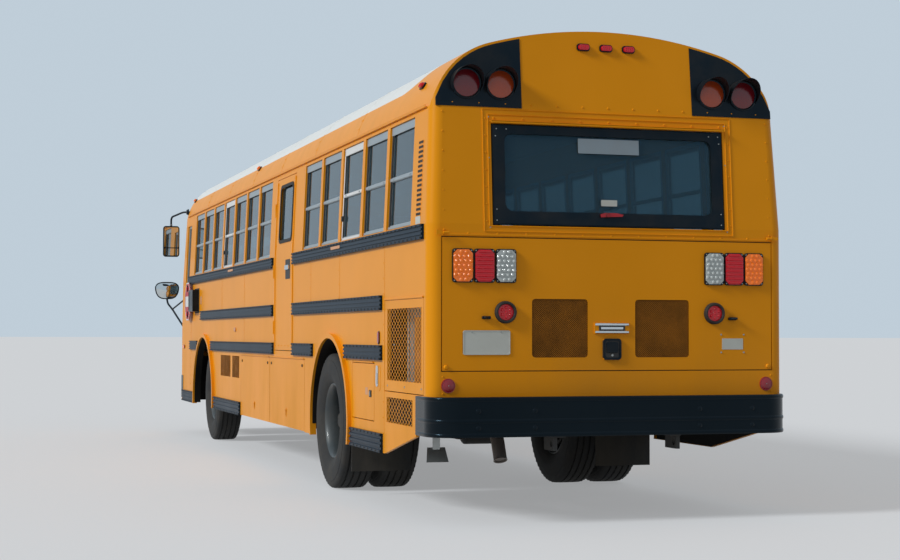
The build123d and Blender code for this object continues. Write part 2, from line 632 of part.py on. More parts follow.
# Frame: two channels and their cross members
EYE_R = 22
EYE_T = 25
EYE_Y = RAIL_Y - EYE_T / 2
TOW_EYES = [
    # x, y, z and where the plate meets its bracket
    (x, side * EYE_Y, z, x_root)
    for x, z, x_root in (
        (REAR_END + 70, REAR_BUMPER_Z[0] - 50, RAIL_START),
        (FRONT_NOSE + 60, FRONT_BUMPER_Z[0] - 50, RAIL_END - 100),
    )
    for side in (1, -1)
]
CROSS = (200, 2100, 3500, 4900, 6400, 7600, FRONT_AXLE - 650, FRONT_AXLE + 700, RAIL_END - 60)
with BuildPart() as frame_rails:
    for side in (-1, 1):
        ys = sorted((side * RAIL_Y, side * (RAIL_Y - RAIL_FLANGE)))
        block((RAIL_START, RAIL_END), ys, RAIL_Z)
        ys = sorted((side * (RAIL_Y - RAIL_T), side * (RAIL_Y - RAIL_FLANGE)))
        z_in = (RAIL_Z[0] + RAIL_T, RAIL_Z[1] - RAIL_T)
        block((RAIL_START, RAIL_END), ys, z_in, Mode.SUBTRACT)
    for x in CROSS[1:]:
        block((x - 30, x + 30), (-RAIL_Y + RAIL_T, RAIL_Y - RAIL_T), (RAIL_Z[0] + 110, RAIL_Z[1] - 20))
    for side in (-1, 1):
        ys = sorted((side * RAIL_Y, side * (RAIL_Y - RAIL_FLANGE)))
        block((REAR_END + BUMPER_T, RAIL_START + 200), ys, (REAR_BUMPER_Z[0] - 10, RAIL_Z[0] + RAIL_T))
        block((RAIL_END - 200, RAIL_END + 30), ys, (FRONT_BUMPER_Z[0] - 10, RAIL_Z[0] + RAIL_T))
    for x, y, z, x_root in TOW_EYES:
        xs = sorted((x_root, x + EYE_R * 2 * (1 if x > x_root else -1)))
        block(xs, (y - EYE_T / 2, y + EYE_T / 2), (z - 2 * EYE_R, z + 2 * EYE_R))
        with BuildSketch(Plane.XZ.offset(-y - EYE_T)) as bore:
            with Locations((fwd(x), z)):
                Circle(EYE_R)
        extrude(bore.sketch, 2 * EYE_T, mode=Mode.SUBTRACT)
save(frame_rails.part, "frame_rails")

# Engine, gearbox, shaft to the rear axle, and the radiator beside them
MOUNT_Z = (750, 800)
SHAFT_R = 50
with BuildPart() as powertrain:
    block((330, 1120), (-330, 330), (560, 1500))
    block((1120, 1700), (-220, 220), (600, 900))
    for x in (520, 980):
        block((x, x + 80), (-(RAIL_Y - RAIL_T), RAIL_Y - RAIL_T), MOUNT_Z)
    block((140, 1000), (HALF - 330, HALF - 130), (820, 1420))
    for x in (300, 800):
        block((x, x + 40), (RAIL_Y, HALF - 330), (850, 900))
    gearbox_end = Vector(fwd(1690), 0, 700)
    pinion = Vector(fwd(REAR_AXLE - 212), 0, 540)
    with BuildSketch(Plane(origin=gearbox_end, z_dir=pinion - gearbox_end)) as ring:
        Circle(SHAFT_R)
    extrude(ring.sketch, (pinion - gearbox_end).length)
save(powertrain.part, "powertrain")


def turned(x, y, profile):
    """A body turned about a wheel's axis from (across, radius) points, across counted outward."""
    with BuildPart() as body:
        with BuildSketch(Plane.YZ.offset(fwd(x))) as half:
            Polygon(*[(y + across, HUB_Z + radius) for across, radius in profile], align=None)
        revolve(half.sketch, Axis((fwd(x), 0, HUB_Z), (0, 1, 0)))
    return body.part


def tyre_profile(out):
    """Half section of a tyre as (across, radius), seated on the rim."""
    w = TYRE_W / 2
    r = TYRE_R
    right = [(w - 18, r), (w, r - 40), (RIM_W / 2, RIM_R + 1)]
    left = [(-across, radius) for across, radius in reversed(right)]
    return [(out * across, radius) for across, radius in right + left]


def rim_profile(out, dish, bore):
    """Half section of a disc wheel: barrel, dished disc and hub."""
    w = RIM_W / 2
    r = RIM_R
    points = [
        # barrel, disc, hub and its bore
        (-w, r), (-w, r - 36), (dish - 14, r - 36), (dish - 14, bore), (dish + 60, bore),
        (dish + 60, 95), (dish + 6, 130), (dish + 6, r - 36), (w, r - 36), (w, r),
    ]
    return [(out * across, radius) for across, radius in points]


# Front wheels and rear twins
FRONT_TYRE_Y = HALF - FRONT_TYRE_TUCK - TYRE_W / 2
REAR_TYRE_Y = HALF - TYRE_SIDE_GAP - TYRE_W / 2
KINGPIN_Y = FRONT_TYRE_Y - KINGPIN_TUCK
SPINDLE_R = 35
for side, hand in ((1, "left"), (-1, "right")):
    y = side * FRONT_TYRE_Y
    save(turned(FRONT_AXLE, y, tyre_profile(side)), f"front_tyre_{hand}")
    save(turned(FRONT_AXLE, y, rim_profile(side, 40, SPINDLE_R + 0.1)), f"front_wheel_{hand}")
    with BuildPart() as twins:
        for out in (0, -DUAL_SPACING):
            add(turned(REAR_AXLE, side * (REAR_TYRE_Y + out), tyre_profile(side)))
    save(twins.part, f"rear_tyres_{hand}")
    with BuildPart() as rims:
        r = RIM_R
        w = RIM_W / 2
        for out in (0, -DUAL_SPACING):
            barrel = [(-w, r), (-w, r - 34), (w, r - 34), (w, r)]
            barrel = [(side * across, radius) for across, radius in barrel]
            add(turned(REAR_AXLE, side * (REAR_TYRE_Y + out), barrel))
        face = -DUAL_SPACING / 2
        disc = [(face - 60, r - 34), (face - 12, 120), (face - 160, 120), (face - 160, 0)]
        disc += [(60, 0), (60, 80), (face + 12, 120), (face + 60, r - 34)]
        disc = [(side * across, radius) for across, radius in disc]
        add(turned(REAR_AXLE, side * REAR_TYRE_Y, disc))
    save(rims.part, f"rear_wheels_{hand}")

# Rear axle between the twins
AXLE_END = REAR_TYRE_Y - DUAL_SPACING / 2 - 160 - 8
with BuildPart() as rear_axle:
    outline = [(AXLE_END, 0), (AXLE_END, 70), (200, 80), (110, 200)]
    add(turned(REAR_AXLE, 0, [(-across, radius) for across, radius in outline] + outline[::-1]))
    for side in (-1, 1):
        ys = sorted((side * (RAIL_Y - 76), side * RAIL_Y))
        block((REAR_AXLE - 60, REAR_AXLE + 60), ys, (HUB_Z + 40, HUB_Z + 78))
save(rear_axle.part, "rear_axle")

# Front axle beam, with a boss for each kingpin, and the knuckles
BOSS_R = 45
BOSS_Z = (HUB_Z - 45, HUB_Z + 45)
PIN_R = 20
with BuildPart() as front_axle_beam:
    block((FRONT_AXLE - 45, FRONT_AXLE + 45), (-KINGPIN_Y, KINGPIN_Y), (HUB_Z - 40, HUB_Z + 40))
    for side in (-1, 1):
        xs = sorted((FRONT_AXLE + side * 15, FRONT_AXLE + side * 50))
        block(xs, (-KINGPIN_Y + 60, KINGPIN_Y - 60), (HUB_Z - 26, HUB_Z + 26), Mode.SUBTRACT)
    for side in (-1, 1):
        with BuildSketch(Plane.XY.offset(BOSS_Z[0])) as boss:
            with Locations((fwd(FRONT_AXLE), side * KINGPIN_Y)):
                Circle(BOSS_R)
        extrude(boss.sketch, BOSS_Z[1] - BOSS_Z[0])
        with BuildSketch(Plane.XY.offset(BOSS_Z[0])) as bore:
            with Locations((fwd(FRONT_AXLE), side * KINGPIN_Y)):
                Circle(PIN_R + 0.1)
        extrude(bore.sketch, BOSS_Z[1] - BOSS_Z[0], mode=Mode.SUBTRACT)
save(front_axle_beam.part, "front_axle_beam")

EAR_GAP = 3
for side, hand in ((1, "left"), (-1, "right")):
    with BuildPart() as knuckle:
        with BuildSketch(Plane.XY.offset(BOSS_Z[0] - 45)) as pin:
            with Locations((fwd(FRONT_AXLE), side * KINGPIN_Y)):
                Circle(PIN_R)
        extrude(pin.sketch, BOSS_Z[1] - BOSS_Z[0] + 90)
        for z in ((BOSS_Z[0] - 45, BOSS_Z[0] - EAR_GAP), (BOSS_Z[1] + EAR_GAP, BOSS_Z[1] + 45)):
            ys = sorted((side * (KINGPIN_Y - 36), side * (KINGPIN_Y + 90)))
            block((FRONT_AXLE - 40, FRONT_AXLE + 40), ys, z)
        ys = sorted((side * (KINGPIN_Y + 62), side * (KINGPIN_Y + 90)))
        block((FRONT_AXLE - 40, FRONT_AXLE + 40), ys, (BOSS_Z[0] - 45, BOSS_Z[1] + 45))
        with BuildSketch(Plane.XZ.offset(-side * (KINGPIN_Y + 80))) as spindle:
            with Locations((fwd(FRONT_AXLE), HUB_Z)):
                Circle(SPINDLE_R)
        extrude(spindle.sketch, -side * (KINGPIN_TUCK + 10))
    save(knuckle.part, f"steering_knuckle_{hand}")

# Leaf springs under the rails, one pair each end
SPRINGS = ((REAR_AXLE, 78), (FRONT_AXLE, 40))
with BuildPart() as leaf_springs:
    for x, top in SPRINGS:
        for side in (-1, 1):
            ys = sorted((side * (RAIL_Y - 76), side * RAIL_Y))
            z = HUB_Z + top
            block((x - 250, x + 250), ys, (z, z + 20))
            block((x - 500, x + 500), ys, (z + 20, z + 40))
            for end in (-1, 1):
                xs = sorted((x + end * 440, x + end * 500))
                block(xs, ys, (z + 40, RAIL_Z[0]))
save(leaf_springs.part, "leaf_springs")

# Fuel tank between the rails and the right skirt, exhaust, luggage boxes
TANK_X = (FRONT_ARCH - 2300, FRONT_ARCH - 900)
with BuildPart() as fuel_tank:
    block(TANK_X, (-(HALF - 60), -(RAIL_Y + 40)), (480, 900))
    fillet(fuel_tank.edges().filter_by(Axis.X), 60)
    for x in (TANK_X[0] + 200, TANK_X[1] - 280):
        block((x, x + 80), (-(RAIL_Y + 60), -RAIL_Y), (700, 820))
save(fuel_tank.part, "fuel_tank")

EXHAUST_Y = HALF - 608
MUFFLER_R = 110
PIPE_R = 45
PIPE_Z = RAIL_Z[0] - MUFFLER_R - 5
with BuildPart() as exhaust:
    with BuildSketch(Plane.YZ.offset(fwd(1300))) as ring:
        with Locations((EXHAUST_Y, PIPE_Z)):
            Circle(MUFFLER_R)
    extrude(ring.sketch, 850)
    for x in (1400, 1980):
        block((x, x + 50), (RAIL_Y - 50, EXHAUST_Y + 30), (PIPE_Z + 60, RAIL_Z[0]))
    route = [(fwd(x), EXHAUST_Y, z) for x, z in ((1310, PIPE_Z), (500, PIPE_Z), (410, 375))]
    with BuildLine() as line:
        FilletPolyline(*route, radius=90)
    with BuildSketch(Plane(origin=line.line @ 0, z_dir=line.line % 0)) as ring:
        Circle(PIPE_R)
    sweep(ring.sketch, path=line.line)
save(exhaust.part, "exhaust")
BOX_T = 10
BOX_TOP = RAIL_Z[1] - 5
with BuildPart() as luggage_boxes:
    for side in (-1, 1):
        for x0, x1, z0, z1 in (LUGGAGE_REAR, LUGGAGE_FRONT):
            out = HALF - SKIRT_T - DOOR_GAP
            ys = sorted((side * (RAIL_Y + 30), side * out))
            block((x0 + 30, x1 - 30), ys, (z0 + 25, BOX_TOP))
            ys = sorted((side * (RAIL_Y + 30 + BOX_T), side * (out + 5)))
            block((x0 + 30 + BOX_T, x1 - 30 - BOX_T), ys, (z0 + 25 + BOX_T, BOX_TOP - BOX_T), Mode.SUBTRACT)
            for x in (x0 + 250, x1 - 330):
                ys = sorted((side * RAIL_Y, side * (RAIL_Y + 32)))
                block((x, x + 80), ys, (RAIL_Z[0] + 20, RAIL_Z[1] - 30))
save(luggage_boxes.part, "luggage_boxes")

# Doors in the sides
with BuildPart() as side_exit_door:
    add(cut_layer(0, 40, [shrink(EXIT_DOOR, DOOR_GAP)], 1, [EXIT_PANE]))
save(side_exit_door.part, "side_exit_door")
save(cut_layer(15, 20, [EXIT_PANE], 1), "side_exit_glass")

ENTRY_MID = (ENTRY_DOOR[0] + ENTRY_DOOR[1]) / 2
MEETING_GAP = 18
LEAVES = (
    ("front", ENTRY_MID + MEETING_GAP / 2, ENTRY_DOOR[1] - DOOR_GAP),
    ("rear", ENTRY_DOOR[0] + DOOR_GAP, ENTRY_MID - MEETING_GAP / 2),
)
for name, x0, x1 in LEAVES:
    outline = (x0, x1, ENTRY_DOOR[2] + 10, ENTRY_DOOR[3] - DOOR_GAP)
    z_low = (outline[2] + 70, 1240)
    z_high = (1310, outline[3] - 60)
    panes = [(x0 + 50, x1 - 50, *z_low), (x0 + 50, x1 - 50, *z_high)]
    save(cut_layer(0, 35, [outline], -1, panes), f"entry_door_{name}")
    save(cut_layer(14, 20, panes, -1), f"entry_glass_{name}")

for name, outline, sign in (
    ("luggage_door_left_rear", LUGGAGE_REAR, 1),
    ("luggage_door_left_front", LUGGAGE_FRONT, 1),
    ("luggage_door_right_rear", LUGGAGE_REAR, -1),
    ("luggage_door_right_front", LUGGAGE_FRONT, -1),
    ("engine_side_door", ENGINE_SIDE, 1),
    ("battery_door", BATTERY, 1),
):
    holes = [ENGINE_SCREEN] if name == "engine_side_door" else []
    save(cut_layer(0, SKIRT_T, [shrink(outline, DOOR_GAP)], sign, holes), name)

# Stop arm, folded forward against the left side
BLADE_T = 8
BARREL_R = 11
with BuildPart() as stop_arm:
    with BuildSketch(Plane.XZ.offset(-(ARM_HINGE[1] - BLADE_T / 2))) as blade:
        with Locations((fwd(ARM_HINGE[0] + 45 + ARM_ACROSS / 2), ARM_Z)):
            RegularPolygon(ARM_ACROSS / 2, 8, major_radius=False, rotation=22.5)
    extrude(blade.sketch, -BLADE_T)
    ys = (ARM_HINGE[1] - BLADE_T / 2, ARM_HINGE[1] + BLADE_T / 2)
    block((ARM_HINGE[0], ARM_HINGE[0] + 120), ys, (ARM_Z - ARM_LEAF, ARM_Z + ARM_LEAF))
    with BuildSketch(Plane.XY.offset(ARM_Z - ARM_LEAF)) as ring:
        with Locations((fwd(ARM_HINGE[0]), ARM_HINGE[1])):
            Circle(BARREL_R)
    extrude(ring.sketch, 2 * ARM_LEAF)
save(stop_arm.part, "stop_arm")

# Mirrors: a flat head on an upper arm and a crossview on a lower one, each side
MIRROR_X = FRONT_NOSE + 60
MIRROR_Y = HALF + 120
MIRROR_Z = (2160, 2540)
ARM_R = 12
with BuildPart() as mirrors:
    for side in (-1, 1):
        ys = sorted((side * (MIRROR_Y - 100), side * (MIRROR_Y + 100)))
        block((MIRROR_X, MIRROR_X + 60), ys, MIRROR_Z)
        with BuildSketch(Plane.YZ.offset(fwd(FRONT_END - CROSSVIEW_T))) as oval:
            with Locations((side * CROSSVIEW_Y, CROSSVIEW_Z)):
                Ellipse(CROSSVIEW_W / 2, CROSSVIEW_H / 2)
        extrude(oval.sketch, CROSSVIEW_T)
        hang = (fwd(MIRROR_X + 30), side * MIRROR_Y, MIRROR_Z[1] + 110)
        head = (fwd(MIRROR_X + 30), side * MIRROR_Y, MIRROR_Z[1] - 5)
        routes = (
            [head, hang, (fwd(FRONT_CORNER - 220), side * (EAVE_Y - 30), 2690)],
            [
                (fwd(FRONT_END - CROSSVIEW_T + 5), side * CROSSVIEW_Y, CROSSVIEW_Z),
                (fwd(FRONT_END - 250), side * CROSSVIEW_Y, CROSSVIEW_Z - 160),
                (fwd(FRONT_CORNER - 10), side * (HALF - 60), 1230),
            ],
        )
        for route in routes:
            with BuildLine() as line:
                FilletPolyline(*route, radius=50)
            with BuildSketch(Plane(origin=line.line @ 0, z_dir=line.line % 0)) as ring:
                Circle(ARM_R)
            sweep(ring.sketch, path=line.line)
    add(ROOF_SKIN, mode=Mode.SUBTRACT)
    add(SKIN, mode=Mode.SUBTRACT)
save(mirrors.part, "mirrors")

# Lamps: tail clusters ride on the engine door, warning lamps sit in the roof caps
LAMP_Z = (1512, 1724)
LAMP_Y = (HALF - 574, HALF - 149)
with BuildPart() as tail_lamps:
    for side in (-1, 1):
        step = (LAMP_Y[1] - LAMP_Y[0]) / 3
        for k in range(3):
            y0 = LAMP_Y[0] + k * step
            ys = sorted((side * (y0 + 3), side * (y0 + step - 3)))
            block((-24, 0), ys, LAMP_Z)
        with BuildSketch(Plane.YZ) as round_lamp:
            with Locations((side * (HALF - 502), 1328)):
                Circle(71)
        with Locations((fwd(0), 0, 0)):
            add(extrude(round_lamp.sketch, -25, mode=Mode.PRIVATE))
save(tail_lamps.part, "tail_lamps")

WARNING_Z = EAVE_Z + 170
WARNING_Y = (HALF - 488, HALF - 262)
with BuildPart() as warning_lamps:
    for x_face, way in ((rear_x(WARNING_Z), -1), (corner_x(EAVE_Z) + 25, 1)):
        for side in (-1, 1):
            for y in WARNING_Y:
                with BuildSketch(Plane.YZ.offset(fwd(x_face + way * -30))) as lens:
                    with Locations((side * y, WARNING_Z)):
                        Circle(100)
                extrude(lens.sketch, way * 80)
    add(ROOF_SKIN, mode=Mode.SUBTRACT)
save(warning_lamps.part, "warning_lamps")

# Seats: a cushion and a back on a frame for each bench, in rows at the window pitch
BENCH_W = 990
BENCH_Y = HALF - WALL_T - 10
CUSHION_Z = (FLOOR_Z + 330, FLOOR_Z + 450)
CUSHION_L = 400
BACK_TOP = FLOOR_Z + 1010
BACK_T = 80
LEFT_ROWS = [k for k in range(2, 14) if k != 6]
RIGHT_ROWS = range(2, 13)
SEAT_SETBACK = 120


def benches():
    """Each bench's side and the place of its back."""
    for sign, rows in ((1, LEFT_ROWS), (-1, RIGHT_ROWS)):
        for row in rows:
            yield sign, post(row) - SEAT_SETBACK


BENCH_MID = BENCH_Y - BENCH_W / 2
with BuildPart() as seat_pads:
    back_h = BACK_TOP - CUSHION_Z[0]
    places = [(fwd(x + BACK_T / 2), sign * BENCH_MID, BACK_TOP - back_h / 2) for sign, x in benches()]
    with Locations(*places):
        Box(BACK_T, BENCH_W, back_h)
    middle = BACK_T + 2 + CUSHION_L / 2
    height = sum(CUSHION_Z) / 2
    places = [(fwd(x + middle), sign * BENCH_MID, height) for sign, x in benches()]
    with Locations(*places):
        Box(CUSHION_L, BENCH_W, CUSHION_Z[1] - CUSHION_Z[0])
save(seat_pads.part, "seat_pads")
LEG_W = 40
LEG_FROM_AISLE = 130
with BuildPart() as seat_frames:
    leg_y = BENCH_Y - BENCH_W + LEG_FROM_AISLE
    rail_top = CUSHION_Z[0]
    places = [(fwd(x + BACK_T + CUSHION_L / 2), sign * leg_y, rail_top - LEG_W / 2) for sign, x in benches()]
    with Locations(*places):
        Box(CUSHION_L + BACK_T, LEG_W, LEG_W)
    leg_h = rail_top - LEG_W - FLOOR_Z
    places = []
    for sign, x in benches():
        for ahead in (BACK_T + 40, CUSHION_L - 20):
            places.append((fwd(x + ahead), sign * leg_y, FLOOR_Z + leg_h / 2))
    with Locations(*places):
        Box(LEG_W, LEG_W, leg_h)
save(seat_frames.part, "seat_frames")

DRIVER_X = LAST_POST - 60
with BuildPart() as driver_seat:
    block((DRIVER_X, DRIVER_X + 110), (380, 880), (FLOOR_Z + 380, FLOOR_Z + 1150))
    block((DRIVER_X, DRIVER_X + 520), (380, 880), (FLOOR_Z + 330, FLOOR_Z + 430))
    block((DRIVER_X + 80, DRIVER_X + 420), (480, 780), (FLOOR_Z, FLOOR_Z + 330))
save(driver_seat.part, "driver_seat")
DASH_X = FRONT_CORNER - 300
WHEEL_R = 225
COLUMN_L = 460
with BuildPart() as dashboard:
    block((DASH_X, FRONT_CORNER - 60), (-300, HALF - 120), (1150, WINDSHIELD_Z))
    block((DASH_X - 30, DASH_X), (330, 930), (1220, WINDSHIELD_Z + 60))
    rim = Plane(origin=(fwd(DASH_X - 130), 630, 1660), z_dir=(-sin(radians(35)), 0, cos(radians(35))))
    with BuildSketch(rim) as column:
        Circle(28)
    extrude(column.sketch, -COLUMN_L)
    with BuildSketch(rim) as disc:
        Circle(WHEEL_R)
        Circle(WHEEL_R - 26, mode=Mode.SUBTRACT)
        for turn in (90, 210, 330):
            with Locations(Location((0, 0), turn)):
                with Locations((WHEEL_R / 2, 0)):
                    Rectangle(WHEEL_R - 8, 34)
        Circle(50)
    extrude(disc.sketch, 24)
save(dashboard.part, "dashboard")

# Mud flaps behind the rear wheels, hung on bars from the frame
FLAP_X = REAR_AXLE - TYRE_R - 160
with BuildPart() as mud_flaps:
    for side in (-1, 1):
        ys = sorted((side * (HALF - 480), side * (HALF - 30)))
        block((FLAP_X, FLAP_X + 10), ys, (180, 760))
        ys = sorted((side * RAIL_Y, side * (HALF - 60)))
        block((FLAP_X, FLAP_X + 35), ys, (760, 800))
save(mud_flaps.part, "mud_flaps")
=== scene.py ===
"""Looks of a rear-engine school bus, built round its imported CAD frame.

Metres, in the frame's own axes: x runs forward, y to the bus's left, z up from the road.
Places along the bus are counted from the engine door, and fwd() turns them into x.
"""

import json
import logging
import math
from collections.abc import Iterator, Sequence
from dataclasses import dataclass, field
from enum import Enum

import bpy
from mathutils import Matrix, Vector

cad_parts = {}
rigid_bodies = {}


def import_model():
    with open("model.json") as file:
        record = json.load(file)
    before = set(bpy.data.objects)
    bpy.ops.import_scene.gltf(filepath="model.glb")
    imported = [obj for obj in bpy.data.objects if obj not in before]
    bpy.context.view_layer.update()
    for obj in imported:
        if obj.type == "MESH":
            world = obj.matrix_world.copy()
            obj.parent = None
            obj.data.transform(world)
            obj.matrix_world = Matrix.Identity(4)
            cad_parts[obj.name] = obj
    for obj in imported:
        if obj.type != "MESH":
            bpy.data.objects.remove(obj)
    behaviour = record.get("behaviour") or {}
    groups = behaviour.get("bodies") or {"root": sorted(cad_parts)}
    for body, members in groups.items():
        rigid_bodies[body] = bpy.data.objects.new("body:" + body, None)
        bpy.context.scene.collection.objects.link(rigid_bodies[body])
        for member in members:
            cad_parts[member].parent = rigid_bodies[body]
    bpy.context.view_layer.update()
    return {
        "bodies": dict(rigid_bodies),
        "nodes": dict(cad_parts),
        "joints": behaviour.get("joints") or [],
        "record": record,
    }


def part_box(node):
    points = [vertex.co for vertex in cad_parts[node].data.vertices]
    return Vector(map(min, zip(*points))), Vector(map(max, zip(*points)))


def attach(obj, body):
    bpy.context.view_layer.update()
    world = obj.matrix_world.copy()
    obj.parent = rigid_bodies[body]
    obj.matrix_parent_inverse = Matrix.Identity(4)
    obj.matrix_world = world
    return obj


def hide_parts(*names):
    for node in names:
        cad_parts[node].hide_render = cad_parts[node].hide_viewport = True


LOG = logging.getLogger("school_bus")
Point = tuple[float, float, float]
Flat = tuple[float, float]
Coords = Sequence[float]
Faces = list[tuple[int, ...]]
Tree = bpy.types.NodeTree
Socket = bpy.types.NodeSocket

# Sizes shared with the CAD source, in metres
MID = 5.69
HALF = 1.219
BELT_Z = 1.88
EAVE_Z = 2.6
EAVE_Y = 1.18755
APEX_Z = 3.15
SHOULDER_Y = 0.645
SHOULDER_R = 0.55
SHOULDER_Z = 2.5098
CROWN_R = 2.9
CROWN_Z = 0.25
CROWN_FROM_Y = 0.796
LAST_POST = 9.989
FRONT_CORNER = 10.93
FIRST_POST = 0.385
PITCH = 0.686
REAR_AXLE = 2.8
FRONT_AXLE = 9.1
TYRE_R = 0.521
FLOOR_Z = 1.04


def fwd(x: float) -> float:
    """Turn a place counted from the engine door into the frame's x."""
    return x - MID


def side_y(z: float) -> float:
    """Give the half width of the body at a height."""
    return HALF - max(0.0, z - BELT_Z) * (HALF - EAVE_Y) / (EAVE_Z - BELT_Z)


def rear_x(z: float) -> float:
    """Give the place of the rear face at a height."""
    lean = max(0.0, min(z, EAVE_Z) - BELT_Z) * 0.05 / (EAVE_Z - BELT_Z)
    return lean + max(0.0, z - EAVE_Z) * 0.06 / (APEX_Z - EAVE_Z)


def corner_x(z: float) -> float:
    """Give the place of the front corner at a height."""
    return FRONT_CORNER - max(0.0, z - 1.3) * 0.15 / 1.3


def nose_x(y: float, z: float) -> float:
    """Give the place of the bowed front face at a side distance and a height."""
    bow = 0.12 * (1 - (y / HALF) ** 2)
    return corner_x(z) + bow


def roof_y(z: float) -> float:
    """Give the half width of the roof's shoulder at a height."""
    return SHOULDER_Y + math.sqrt(SHOULDER_R**2 - (z - SHOULDER_Z) ** 2)


def roof_z(y: float) -> float:
    """Give the roof's height at a distance from the middle."""
    if abs(y) > CROWN_FROM_Y:
        return SHOULDER_Z + math.sqrt(SHOULDER_R**2 - (abs(y) - SHOULDER_Y) ** 2)
    return CROWN_Z + math.sqrt(CROWN_R**2 - y**2)


def srgb(code: str, alpha: float = 1.0) -> tuple[float, float, float, float]:
    """Turn an sRGB hex colour into linear light.

    Args:
        code: Six hex digits after a hash sign.
        alpha: Opacity.

    Returns:
        Red, green and blue in linear light, and the opacity.
    """
    parts = [int(code[k : k + 2], 16) / 255 for k in (1, 3, 5)]
    linear = [c / 12.92 if c <= 0.04045 else ((c + 0.055) / 1.055) ** 2.4 for c in parts]
    return (linear[0], linear[1], linear[2], alpha)


def add_node(tree: Tree, kind: str, values: dict | None = None, links: dict | None = None,
        **settings: object) -> bpy.types.Node:
    """Add one shader node.

    Args:
        tree: The node tree that it joins.
        kind: Blender's name of the node type.
        values: Fixed values by socket name or number.
        links: Output sockets by the input that each feeds.
        **settings: The node's own options.

    Returns:
        The new node.
    """
    made = tree.nodes.new(kind)
    for name, value in settings.items():
        setattr(made, name, value)
    for socket, value in (values or {}).items():
        made.inputs[socket].default_value = value
    for socket, source in (links or {}).items():
        tree.links.new(source, made.inputs[socket])
    return made


class Pattern(Enum):
    """What breaks up the colour of a finish."""

    ROAD_FILM = "road film, thicker towards the road"
    DUST = "fine dust in patches"
    BRUSHED = "brush lines along the bus"
    CLEAN = "nothing but the grain"


